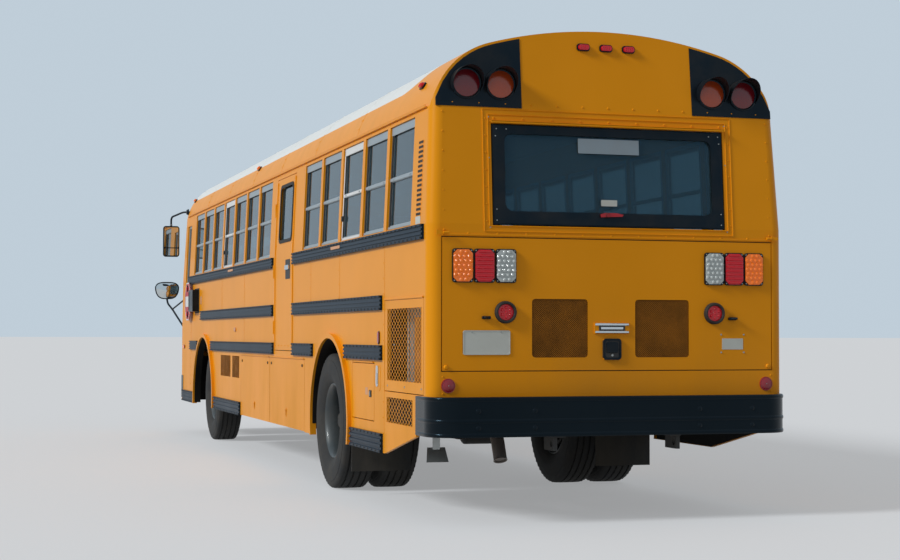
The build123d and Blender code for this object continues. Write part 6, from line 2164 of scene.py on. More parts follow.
    def ceiling(self) -> None:
        """Make the dome lamps, the long inside mirror and the driver's visor."""
        form = Form("ceiling_fittings")
        for k in range(6):
            for y in (-0.42, 0.42):
                place = (fwd(1.6 + 1.55 * k), y, roof_z(y) - 0.046)
                form.lathe(place, (0, 0, -1), [(POLE, 0.03), (0.06, 0.026), (0.078, 0.012), (0.088, 0.012),
                    (0.092, 0.0)], PLATE)
        form.prism(oblong(0.38, 0.075, 0.06), (fwd(10.62), 0.2, 2.47), ACROSS_REAR,
            Vector((-0.25, 0.0, 0.97)), 0.014, HOOD)
        form.prism(oblong(0.368, 0.063, 0.05), (fwd(10.606), 0.2, 2.47), ACROSS_REAR,
            Vector((-0.25, 0.0, 0.97)), 0.002, MIRROR)
        form.prism(oblong(0.26, 0.08, 0.03), (fwd(10.7), 0.72, 2.37), ACROSS_REAR,
            Vector((-0.45, 0.0, 0.89)), 0.01, ABS)
        form.place("hatch_white")

    @staticmethod
    def aisle() -> None:
        """Lay the ribbed rubber down the aisle and the strips along its sides."""
        form = Form("aisle_rubber")
        for k in range(14):
            y = -0.26 + 0.04 * k
            form.slab((fwd(1.3), y - 0.008, FLOOR_Z), (fwd(9.78), y + 0.008, FLOOR_Z + 0.004), FLOOR,
                0.0015)
        for y in (-0.345, 0.345):
            form.slab((fwd(1.3), y - 0.014, FLOOR_Z), (fwd(9.78), y + 0.014, FLOOR_Z + 0.003), ALUMINIUM,
                0.001)
        form.place("floor_rubber")


@dataclass
class FrontFace:
    """Lamps, gaskets, vents, wipers, panels and trim of the bowed front."""

    lamp_z: float = 0.86
    lamp_y: Flat = (0.725, 0.93)
    glass_y: float = 1.086
    glass_z: Flat = (1.343, 2.477)
    forward: Point = (1.0, 0.0, 0.0)
    left: Point = (0.0, 1.0, 0.0)

    def build(self) -> None:
        """Make the front's pieces."""
        self.headlamps()
        self.windshield_trim()
        self.wipers()
        self.panels()
        self.rivets()

    @staticmethod
    def on_nose(y: float, z: float, proud: float = 0.0) -> Point:
        """Give a point on the bowed front face."""
        return (fwd(nose_x(y, z)) + proud, y, z)

    def skin(self, form: Form, low: Flat, high: Flat, proud: float, finish: Finish) -> None:
        """Lay a bent plate on the front face.

        Args:
            form: The form that it joins.
            low: Its side distance and height at one corner.
            high: The same at the corner across.
            proud: How far it stands off the face.
            finish: What it is made of.
        """
        steps = 10
        points = []
        for inset, out in ((0.0, -0.002), (0.0, proud - 0.002), (0.003, proud)):
            for z in (low[1] + inset, high[1] - inset):
                for k in range(steps + 1):
                    y = low[0] + inset + (high[0] - low[0] - 2 * inset) * k / steps
                    points.append(self.on_nose(y, z, out))
        n = steps + 1
        
        def between(r: int, s: int) -> Faces:
            """Give the quads from one row of points to another."""
            return [(r * n + k, r * n + k + 1, s * n + k + 1, s * n + k) for k in range(steps)]

        faces = between(4, 5)
        for r in (0, 2):
            faces += between(r, r + 2) + between(r + 3, r + 1)

            faces.append(((r + 1) * n, r * n, (r + 2) * n, (r + 3) * n))
            faces.append((r * n + steps, (r + 1) * n + steps, (r + 3) * n + steps, (r + 2) * n + steps))
        form.patch(points, faces, finish)

    def headlamps(self) -> None:
        """Make each side's pair of headlamps in its bezel, and the turn lamp over them."""
        form = Form("headlamps")
        for side in (-1, 1):
            ends = sorted((side * 0.59, side * 1.07))
            self.skin(form, (ends[0], 0.735), (ends[1], 0.99), 0.008, HOOD)
            for y in self.lamp_y:
                centre = self.on_nose(side * y, self.lamp_z, 0.004)
                form.lathe(centre, self.forward, [(POLE, 0.034), (0.04, 0.031), (0.066, 0.022),
                    (0.084, 0.01)], CLEAR_LENS, 36)
                form.lathe(centre, self.forward, [(0.082, 0.008), (0.09, 0.022), (0.098, 0.02),
                    (0.104, 0.008), (0.106, -0.026)], CHROME, 36)
                for u, v in circle(4, 0.096, 45):
                    form.rivet((centre[0] + 0.016, centre[1] + u, centre[2] + v), self.forward, ZINC, 0.005)
            ends = sorted((side * 0.69, side * 0.97))
            self.skin(form, (ends[0] - 0.01, 1.026), (ends[1] + 0.01, 1.094), 0.006, HOOD)
            self.skin(form, (ends[0], 1.036), (ends[1], 1.084), 0.024, AMBER_LENS)
            for k in range(6):
                y = ends[0] + (k + 0.5) * (ends[1] - ends[0]) / 6
                form.lathe(self.on_nose(y, 1.06, 0.022), self.forward, [(POLE, 0.006), (0.012, 0.005),
                    (0.018, 0.0)], AMBER_LENS, 12)
        form.place("lamp_red")

    def windshield_trim(self) -> None:
        """Make the windshield's gasket, its bright locking strip and its divider."""
        form = Form("windshield_gasket")
        sides = [k * self.glass_y / 8 for k in range(-8, 9)]
        edges = [[(y, z) for y in sides] for z in self.glass_z]
        edges += [[(y, z) for z in self.glass_z] for y in (sides[0], sides[-1])]
        for edge in edges:
            form.tube([self.on_nose(y, z, 0.001) for y, z in edge], 0.013, GASKET, turns=8)
            form.tube([self.on_nose(y, z, 0.013) for y, z in edge], 0.003, CHROME, turns=6)
        form.tube([self.on_nose(0.0, z, 0.001) for z in self.glass_z], 0.015, GASKET, turns=8)
        form.place("flap_rubber")

    def wipers(self) -> None:
        """Make the two wipers parked along the bottom of the windshield."""
        form = Form("wipers")
        for side in (-1, 1):
            pivot = Vector(self.on_nose(side * 0.26, 1.3, 0.002))
            tip = Vector(self.on_nose(side * 0.64, 1.42, 0.03))
            form.lathe(tuple(pivot), self.forward, [(POLE, 0.04), (0.012, 0.038), (0.018, 0.026),
                (0.02, 0.006), (0.03, 0.0)], HOOD, 18)
            form.tube([pivot + Vector((0.028, 0, 0)), pivot + Vector((0.034, side * 0.08, 0.014)), tip],
                0.007, HOOD, turns=8, smooth=2)
            form.tube([pivot + Vector((0.022, side * 0.014, -0.018)),
                tip + Vector((0.0, -side * 0.01, -0.022))], 0.004, HOOD, turns=8)
            blade = [Vector(self.on_nose(side * y, z, 0.016)) for y, z in ((0.33, 1.398), (0.5, 1.408),
                (0.66, 1.42), (0.82, 1.436), (0.98, 1.454))]
            form.tube(blade, 0.006, GASKET, turns=6, smooth=2)
            form.tube([p + Vector((0.01, 0, 0)) for p in blade], 0.004, HOOD, turns=6, smooth=2)
        form.place("black_paint")

    def panels(self) -> None:
        """Make the service panel's edge, vents, handles, blank plate and side markers."""
        form = Form("front_panels")
        across = [k * 0.48 / 6 for k in range(-6, 7)]
        for z in (0.745, 1.215):
            form.tube([self.on_nose(y, z, 0.0) for y in across], 0.004, YELLOW, turns=6)
        for y in (-0.48, 0.48):
            form.tube([self.on_nose(y, z, 0.0) for z in (0.745, 1.215)], 0.004, YELLOW, turns=6)
            form.tube([self.on_nose(y * 0.7, z, 0.004) for z in (1.197, 1.233)], 0.009, YELLOW, turns=8)
            form.prism(oblong(0.024, 0.014, 0.008), self.on_nose(y * 0.86, 0.79, 0.0), self.left, UP, 0.01,
                ABS)
        for row in range(4):
            for k in range(9):
                y = -0.32 + 0.08 * k
                form.prism(oblong(0.032, 0.006, 0.0055), self.on_nose(y, 1.03 + 0.032 * row, 0.0005),
                    self.left, UP, 0.0015, GASKET)
        self.skin(form, (-0.155, 0.8), (0.155, 0.95), 0.006, PLATE)
        for y in (-0.095, 0.095):
            form.rivet(self.on_nose(y, 0.93, 0.006), self.forward, ZINC, 0.006)
        for side in (-1, 1):
            ends = [self.on_nose(side * y, 1.255, 0.0) for y in (0.56, 0.9)]
            form.tube([ends[0], Vector(ends[0]) + Vector((0.045, side * 0.015, 0.0)),
                Vector(ends[1]) + Vector((0.045, -side * 0.015, 0.0)), ends[1]], 0.01, CHROME, smooth=3)
            axes = side_axes(side)
            form.prism(oblong(0.055, 0.022, 0.014), (fwd(10.73), side * HALF, 1.04), *axes, 0.006, HOOD)
            form.prism(oblong(0.047, 0.016, 0.012), (fwd(10.73), side * (HALF + 0.005), 1.04), *axes, 0.01,
                AMBER_LENS)
        form.place()

    def rivets(self) -> None:
        """Set the rivets round the windshield, over the bumper and up the corners."""
        form = Form("front_rivets")
        for z, reach, count in ((2.535, 1.06, 18), (1.285, 0.2, 3), (0.718, 1.08, 18)):
            for k in range(count + 1):
                form.rivet(self.on_nose(reach * (2 * k / count - 1), z), self.forward, YELLOW)
        for side in (-1, 1):
            for k in range(16):
                form.rivet(self.on_nose(side * 1.15, 1.18 + 0.085 * k), self.forward, YELLOW)
        form.place()


@dataclass
class Bumpers:
    """Pressed ribs, rolled edges and carriage bolts of the steel bumpers."""

    rear_x: float = -0.12
    half: float = 1.224
    corner: float = 0.19
    rear_z: Flat = (0.555, 0.8)
    rib_z: float = 0.653
    front_z: Flat = (0.42, 0.69)

    def build(self) -> None:
        """Make both bumpers' pieces."""
        rear = Form("rear_bumper_pressings")
        bead = ((-0.014, -0.001), (-0.009, 0.004), (0.0, 0.006), (0.009, 0.004), (0.014, -0.001))
        for z in (self.rib_z, self.rear_z[0] + 0.012, self.rear_z[1] - 0.012):
            self.wrap(rear, [(z + rise, out) for rise, out in bead])
        carriage_bolt = [(POLE, 0.008), (0.01, 0.006), (0.016, 0.001), (0.017, 0.0)]
        for y in (-0.93, -0.56, 0.56, 0.93):
            for z in (0.61, 0.715):
                rear.lathe((fwd(self.rear_x), y, z), REARWARD, carriage_bolt, BUMPER_BLACK, 16)
        rear.place("black_paint")
        front = Form("front_bumper_pressings")
        for z in (self.front_z[0] + 0.045, self.front_z[1] - 0.045):
            path = [(self.front_x(y) + 0.001, y, z) for y in (k * 0.1 for k in range(-10, 11))]
            front.tube(path, 0.007, BUMPER_BLACK, turns=8, smooth=1)
        for y in (-0.86, -0.43, 0.43, 0.86):
            for z in (0.52, 0.59):
                front.lathe((self.front_x(y) - 0.002, y, z), (1, 0, 0), carriage_bolt, BUMPER_BLACK, 16)
        front.place("black_paint")

    def front_x(self, y: float) -> float:
        """Give the front bumper's face at a side distance."""
        return fwd(FRONT_CORNER + 0.13 + 0.12 * (1 - (y / 1.225) ** 2))

    def wrap(self, form: Form, rows: Sequence[Flat]) -> None:
        """Lay a rolled section round the rear bumper's face and corners.

        Args:
            form: The form that it joins.
            rows: The section as (height, distance proud) points.
        """
        points, columns = [], 0
        for z, proud in rows:
            reach = self.corner + proud
            left = [(0.225, self.half + proud)]
            for k in range(9):
                angle = math.radians(90 * k / 8)
                left.append((self.rear_x + self.corner - reach * math.sin(angle),
                    self.half - self.corner + reach * math.cos(angle)))
            plan = left + [(x, -y) for x, y in reversed(left)]
            columns = len(plan)
            points += [(fwd(x), y, z) for x, y in plan]
        form.patch(points, strips(len(rows), columns), BUMPER_BLACK)


@dataclass
class EntryDoor:
    """Gaskets, nosing rubbers, hinges and grips of the two entry leaves."""

    leaves: tuple[tuple[str, float, float], ...] = (("front", 10.345, 10.665), ("rear", 10.007, 10.327))
    z: Flat = (0.41, 2.394)
    panes: tuple[Flat, ...] = ((0.48, 1.24), (1.31, 2.334))
    border: float = 0.05

    def build(self) -> None:
        """Make each leaf's trim on its own body."""
        for name, x0, x1 in self.leaves:
            form = Form(f"entry_door_trim_{name}")
            meeting, outer = (x0, x1) if name == "front" else (x1, x0)
            inward = 1 if name == "front" else -1
            for z0, z1 in self.panes:
                self.gasket(form, x0 + self.border, x1 - self.border, z0, z1)
            self.upright(form, meeting - inward * 0.003, 0.006, GASKET, -0.012)
            self.upright(form, meeting + inward * 0.01, 0.004, GASKET, 0.001)
            for z in (0.56, 0.98, 1.45, 1.82, 2.25):
                y = -(side_y(z) + 0.004)
                form.tube([(fwd(outer - inward * 0.001), y, z - 0.045), (fwd(outer - inward * 0.001), y,
                    z + 0.045)], 0.008, YELLOW)
                for dz in (-0.03, 0.0, 0.03):
                    form.rivet(side_point(outer - inward * 0.026, z + dz, -1), (0, -1, 0), ZINC, 0.005)
            form.row(side_point(x0 + 0.02, 0.445, -1), side_point(x1 - 0.02, 0.445, -1), 0.07, (0, -1, 0),
                YELLOW)
            grip_x = meeting + inward * 0.024
            inside = -(HALF - 0.075)
            form.tube([(fwd(grip_x), -(HALF - 0.034), 1.345), (fwd(grip_x), inside, 1.36),
                (fwd(grip_x), inside, 1.76), (fwd(grip_x), -(HALF - 0.034), 1.775)], 0.011, CHROME)
            form.place("black_paint", body=f"entry_door_{name}")

    def upright(self, form: Form, x: float, radius: float, finish: Finish, proud: float) -> None:
        """Run a bead up a leaf, bent at the belt as the side is."""
        form.tube([side_point(x, z, -1, proud) for z in (self.z[0] + 0.004, BELT_Z, self.z[1] - 0.004)],
            radius, finish, turns=8, smooth=1)

    @staticmethod
    def gasket(form: Form, x0: float, x1: float, z0: float, z1: float) -> None:
        """Lay a rubber gasket round one pane.

        Args:
            form: The form that it joins.
            x0: The pane's rear edge, counted from the engine door.
            x1: Its front edge.
            z0: Its foot.
            z1: Its head.
        """
        heights = [z0, *([BELT_Z] if z0 < BELT_Z < z1 else []), z1]
        for x in (x0, x1):
            form.tube([side_point(x, z, -1, 0.001) for z in heights], 0.007, GASKET, turns=8, smooth=1)
        for z in (z0, z1):
            form.tube([side_point(x, z, -1, 0.001) for x in (x0, x1)], 0.007, GASKET, turns=8)


@dataclass
class ArmHousing:
    """Moulded cover over the stop arm's motor, with the arm's hinge pin."""

    x: Flat = (9.548, 9.878)
    z: float = 1.58
    half: float = 0.125
    out: float = 0.072
    hinge: Flat = (9.9, 0.04)

    def build(self) -> None:
        """Make the cover and the arm's hinge pin, all on the body."""
        form = Form("stop_arm_housing")
        axes = side_axes(1)
        wide = (self.x[1] - self.x[0]) / 2
        middle = (fwd(sum(self.x) / 2), HALF - 0.004, self.z)
        grow = 0.0015
        outline = oblong(wide + grow, self.half + grow, 0.004)
        form.prism(outline, middle, *axes, self.out + 0.004 + grow, HOOD)
        face = (middle[0], HALF + self.out + grow, self.z)
        form.frame(oblong(wide - 0.004, self.half - 0.004, 0.012), oblong(wide - 0.022, self.half - 0.022,
            0.008), face, *axes, 0.004, HOOD)
        for u in (-wide + 0.013, 0.0, wide - 0.013):
            for v in (-self.half + 0.013, self.half - 0.013):
                form.rivet((face[0] - u, face[1] + 0.004, face[2] + v), (0, 1, 0), ZINC, 0.0055)
        for k in range(5):
            z = self.z - 0.05 + 0.025 * k
            form.tube([(face[0] - 0.09, face[1], z), (face[0] + 0.09, face[1], z)], 0.004, HOOD, turns=6)
        form.slab((fwd(self.x[0]) - 0.022, HALF, self.z - self.half - 0.018), (fwd(self.x[1]) - 0.012,
            HALF + 0.005, self.z + self.half + 0.018), GASKET)
        for z in (self.z - 0.075, self.z + 0.075):
            form.slab((fwd(self.x[1] - 0.002), HALF, z - 0.01), (fwd(self.hinge[0] + 0.0155),
                HALF + self.hinge[1] + 0.0155, z + 0.01), HOOD, 0.003)
            form.lathe((fwd(self.hinge[0]), HALF + self.hinge[1], z + 0.01), UP,
                [(POLE, 0.005), (0.006, 0.004), (0.009, 0.0)], ZINC, 12)
        form.tube([(fwd(self.hinge[0]), HALF + self.hinge[1], self.z - 0.07),
            (fwd(self.hinge[0]), HALF + self.hinge[1], self.z + 0.07)], 0.005, ZINC, turns=12)
        form.prism(oblong(0.06, 0.045, 0.008), (fwd(9.4), HALF, self.z), *axes, 0.0015, AMBER_REFLECTOR)
        form.place("black_paint")


@dataclass
class RoofTrim:
    """Bands over the roof's seams, riveted, and the gutters along its edges."""

    seams: tuple[float, ...] = (2.05, 3.49, 4.92, 6.34, 7.75, 9.18)
    half: float = 0.024
    proud: float = 0.0025
    gutter_z: float = 2.63

    def build(self) -> None:
        """Make the roof's trim."""
        bands = Form("roof_seam_bands")
        for x in self.seams:
            self.band(bands, x)
        bands.place("roof_white")
        gutters = Form("roof_gutters")
        for side in (-1, 1):
            y = side * EAVE_Y
            section = ((-0.004, -0.012), (0.012, -0.01), (0.014, 0.006), (0.01, 0.006), (0.009, -0.005),
                (-0.004, -0.006))
            points = [(x, y + side * out, self.gutter_z + rise) for x in (fwd(0.15), fwd(10.64)) for out,
                rise in section]
            n = len(section)
            faces = strips(2, n, closed=True) + [tuple(range(n))[::-1], tuple(range(n, 2 * n))]
            gutters.patch(points, [f if side > 0 else f[::-1] for f in faces], YELLOW)
        gutters.place("body_yellow")

    def band(self, form: Form, x: float) -> None:
        """Lay one band over a seam from gutter to gutter, riveted along both edges.

        Args:
            form: The form that it joins.
            x: The seam's place, counted from the engine door.
        """
        low = 12.0
        high = math.degrees(math.acos((CROWN_FROM_Y - SHOULDER_Y) / SHOULDER_R))
        side = []
        for k in range(9):
            angle = math.radians(low + (high - low) * k / 8)
            side.append((SHOULDER_Y + SHOULDER_R * math.cos(angle),
                SHOULDER_Z + SHOULDER_R * math.sin(angle), math.cos(angle), math.sin(angle)))
        crown = []
        for k in range(1, 8):
            y = CROWN_FROM_Y * (1 - k / 4)
            crown.append((y, math.sqrt(CROWN_R**2 - y**2) + CROWN_Z, y / CROWN_R,
                math.sqrt(1 - (y / CROWN_R) ** 2)))
        path = side + crown + [(-y, z, -ny, nz) for y, z, ny, nz in reversed(side)]
        section = ((-self.half, -0.001), (-self.half + 0.002, self.proud), (self.half - 0.002, self.proud),
            (self.half, -0.001))
        points = [(fwd(x + along), y + ny * out, z + nz * out) for y, z, ny, nz in path for along,
            out in section]
        form.patch(points, strips(len(path), len(section)), ROOF)
        for (y0, z0, a0, b0), (y1, z1, a1, b1) in zip(path, path[1:]):
            count = max(1, round(math.hypot(y1 - y0, z1 - z0) / 0.085))
            for k in range(count):
                share = k / count
                normal = Vector((0.0, a0 + (a1 - a0) * share, b0 + (b1 - b0) * share)).normalized()
                centre = Vector((0.0, y0 + (y1 - y0) * share, z0 + (z1 - z0) * share)) + normal * self.proud
                for along in (-0.014, 0.014):
                    form.rivet((fwd(x + along), centre.y, centre.z), normal, ROOF, 0.0055, 0.0025)


@dataclass
class Hatches:
    """Pressed pans, gaskets, hinges and blank labels of the two roof hatches."""

    places: tuple[tuple[str, float], ...] = (("rear", 2.443), ("front", 7.245))
    half: float = 0.325
    z: Flat = (3.211, 3.241)

    def build(self) -> None:
        """Make each hatch's pieces on its own lid."""
        for name, x in self.places:
            form = Form(f"{name}_hatch_pressing")
            top = self.z[1]
            rings = ((self.half - 0.03, 0.0), (self.half - 0.05, 0.009), (self.half - 0.12, 0.012),
                (self.half - 0.135, 0.004), (self.half - 0.2, 0.004), (self.half - 0.215, 0.014),
                (0.02, 0.016))
            outlines = [oblong(r, r, min(0.06, r * 0.5)) for r, _ in rings]
            n = len(outlines[0])
            points = [(fwd(x) + u, v, top + rise) for (_, rise), outline in zip(rings, outlines) for u,
                v in outline]
            top_face = tuple(n * (len(rings) - 1) + k for k in range(n))
            form.patch(points, strips(len(rings), n, closed=True) + [top_face], WHITE)
            for y in (-0.2, 0.0, 0.2):
                form.tube([(fwd(x + self.half + 0.004), y - 0.04, top - 0.01), (fwd(x + self.half + 0.004),
                    y + 0.04, top - 0.01)], 0.009, ALUMINIUM)
            outline = oblong(self.half + 0.004, self.half + 0.004, 0.008)
            inner = oblong(self.half - 0.002, self.half - 0.002, 0.006)
            form.frame(outline, inner, (fwd(x), 0.0, self.z[0] - 0.001), (1, 0, 0), (0, 1, 0), 0.01, GASKET)
            for u in (-0.26, -0.09, 0.09, 0.26):
                for v in (-1, 1):
                    form.rivet((fwd(x + u), v * (self.half - 0.015), top), UP, ZINC, 0.006)
            form.prism(oblong(0.07, 0.03, 0.006), (fwd(x - 0.165), 0.0, top + 0.0035), (0, -1, 0),
                (1, 0, 0), 0.0012, PLATE)
            form.place("hatch_white", body=f"{name}_roof_hatch")


@dataclass
class RunningGear:
    """Leaf packs, axle clamps, brakes and dampers under the frame."""

    spring_y: float = 0.392
    spring_half: float = 0.47
    leaves: int = 6
    leaf_t: float = 0.009
    rail_z: float = 0.68
    seats: tuple[Flat, ...] = ((REAR_AXLE, 0.599), (FRONT_AXLE, 0.561))

    def build(self) -> None:
        """Make the springs and the brakes."""
        springs = Form("leaf_spring_packs")
        for x, foot in self.seats:
            for side in (-1, 1):
                self.pack(springs, x, foot, side)
        springs.place("chassis_black", "leaf_springs")
        gear = Form("brakes_and_dampers")
        for side in (-1, 1):
            for x, foot in self.seats:
                self.damper(gear, x - 0.17, side * 0.3, foot)
            self.chamber(gear, (fwd(REAR_AXLE - 0.13), side * 0.25, 0.56), (-1.0, 0.0, 0.18))
            self.chamber(gear, (fwd(FRONT_AXLE - 0.08), side * 0.62, 0.56), (-1.0, 0.0, 0.3))
        gear.lathe((fwd(REAR_AXLE + 0.15), 0.0, TYRE_R), (1, 0, 0), [(POLE, 0.075), (0.07, 0.07),
            (0.105, 0.045), (0.128, 0.0), (0.128, -0.01)], CAST, 32)
        for u, v in circle(12, 0.116):
            gear.rivet((fwd(REAR_AXLE + 0.157), u, TYRE_R + v), (1, 0, 0), ZINC, 0.009, 0.008)
        gear.place("cast_parts")
        for side, hand in SIDES:
            self.drum(side, hand)

    def pack(self, form: Form, x: float, foot: float, side: int) -> None:
        """Make one spring: curved leaves, eyes, hangers and the two clamps round the axle.

        Args:
            form: The form that it joins.
            x: The axle's place, counted from the engine door.
            foot: Height of the spring's seat on the axle.
            side: 1 on the left side, -1 on the right.
        """
        y = side * self.spring_y
        for k in range(self.leaves):
            reach = self.spring_half - 0.064 * k
            top = foot + 0.052 - k * (self.leaf_t + 0.0005)
            points, steps = [], 10
            for s in range(steps + 1):
                u = -reach + 2 * reach * s / steps
                lift = 0.045 * (u / self.spring_half) ** 2
                for across in (-0.036, 0.036):
                    for rise in (0.0, -self.leaf_t):
                        points.append((fwd(x + u), y + across, top + lift + rise))
            faces = []
            for s in range(steps):
                a, b = 4 * s, 4 * s + 4
                faces += [(a, b, b + 2, a + 2), (a + 1, a + 3, b + 3, b + 1), (a, a + 1, b + 1, b),
                    (a + 2, b + 2, b + 3, a + 3)]
            faces += [(0, 2, 3, 1), (4 * steps, 4 * steps + 1, 4 * steps + 3, 4 * steps + 2)]
            form.patch(points, faces, CHASSIS)
        for end in (-1, 1):
            eye = (fwd(x + end * self.spring_half), y - 0.038, foot + 0.052 + 0.036)
            form.lathe(eye, (0, 1, 0), [(0.014, 0.0), (0.024, 0.0), (0.024, 0.076), (0.014, 0.076)],
                CHASSIS, 20)
            form.lathe((eye[0], y - 0.052, eye[2]), (0, 1, 0), [(POLE, -0.006), (0.016, -0.006),
                (0.016, 0.006), (0.012, 0.008), (0.012, 0.104), (0.016, 0.104), (0.016, 0.114),
                (POLE, 0.114)], ZINC, 6)
            for plate in (-0.046, 0.042):
                form.prism([(-0.05, 0.0), (-0.03, -0.03), (0.03, -0.03), (0.05, 0.0),
                    (0.06, self.rail_z - eye[2]), (-0.06, self.rail_z - eye[2])],
                    (eye[0], y + plate + 0.004, eye[2]), (1, 0, 0), UP, 0.006, CHASSIS)
        low = foot - (0.165 if x == REAR_AXLE else 0.095)
        for u in (-0.075, 0.075):
            for across in (-0.044, 0.044):
                form.tube([(fwd(x + u), y + across, foot + 0.064), (fwd(x + u), y + across, low - 0.03)],
                    0.008, ZINC, turns=8)
                form.lathe((fwd(x + u), y + across, low - 0.026), UP, [(0.0085, 0.0), (0.014, 0.0),
                    (0.014, 0.014), (0.0085, 0.014)], ZINC, 6)
            form.tube([(fwd(x + u), y - 0.044, foot + 0.062), (fwd(x + u), y + 0.044, foot + 0.062)], 0.008,
                ZINC, turns=8)
        form.slab((fwd(x - 0.1), y - 0.056, low - 0.012), (fwd(x + 0.1), y + 0.056, low + 0.006), CAST,
            0.005)
        form.slab((fwd(x - 0.07), y - 0.04, foot + 0.052), (fwd(x + 0.07), y + 0.04, foot + 0.058), CAST,
            0.003)

    @staticmethod
    def damper(form: Form, x: float, y: float, foot: float) -> None:
        """Make one telescopic damper from the axle up to the rail.

        Args:
            form: The form that it joins.
            x: Place of its lower end, counted from the engine door.
            y: Its side distance.
            foot: Height of the spring's seat on the axle.
        """
        low = Vector((fwd(x), y, foot - 0.06))
        high = Vector((fwd(x - 0.06), y, 0.905))
        length = (high - low).length
        form.lathe(tuple(low), high - low, [(POLE, -0.022), (0.02, -0.018), (0.022, 0.0), (0.02, 0.018),
            (0.028, 0.024), (0.028, length * 0.5), (0.034, length * 0.5), (0.034, length - 0.04),
            (0.02, length - 0.03), (0.022, length - 0.01), (POLE, length)], CHASSIS, 20)
        for place in (low, high):
            form.tube([place - Vector((0, 0.034, 0)), place + Vector((0, 0.034, 0))], 0.011, ZINC)

    @staticmethod
    def chamber(form: Form, centre: Point, axis: Coords) -> None:
        """Make one air brake chamber: two pressed bowls, their clamp band and the push rod.

        Args:
            form: The form that it joins.
            centre: Where its front bowl starts.
            axis: Direction from its push rod to its back.
        """
        form.lathe(centre, axis, [(POLE, 0.1), (0.045, 0.098), (0.066, 0.082), (0.072, 0.052),
            (0.08, 0.048), (0.08, 0.03), (0.072, 0.026), (0.066, 0.0), (0.04, -0.02), (0.012, -0.022),
            (0.01, -0.06)], CAST, 32)
        form.lathe(centre, axis, [(0.079, 0.05), (0.085, 0.046), (0.085, 0.032), (0.079, 0.028)], ZINC, 32)

    @staticmethod
    def drum(side: int, hand: str) -> None:
        """Make the ribbed brake drums inside one side's wheels.

        Args:
            side: 1 on the left side, -1 on the right.
            hand: The side's name.
        """
        for body, x, y in ((f"front_wheel_{hand}", FRONT_AXLE, 0.999), (f"rear_wheels_{hand}", REAR_AXLE,
                0.745)):
            form = Form(f"brake_drum_{body}")
            form.lathe((fwd(x), side * y, TYRE_R), (0, side, 0), [(0.15, 0.03), (0.19, 0.03),
                (0.204, 0.018), (0.204, -0.01), (0.212, -0.014), (0.212, -0.024), (0.204, -0.028),
                (0.204, -0.06), (0.214, -0.066), (0.214, -0.082), (0.188, -0.082), (0.188, 0.0)], CAST, 48)
            form.place("cast_parts", body=body)


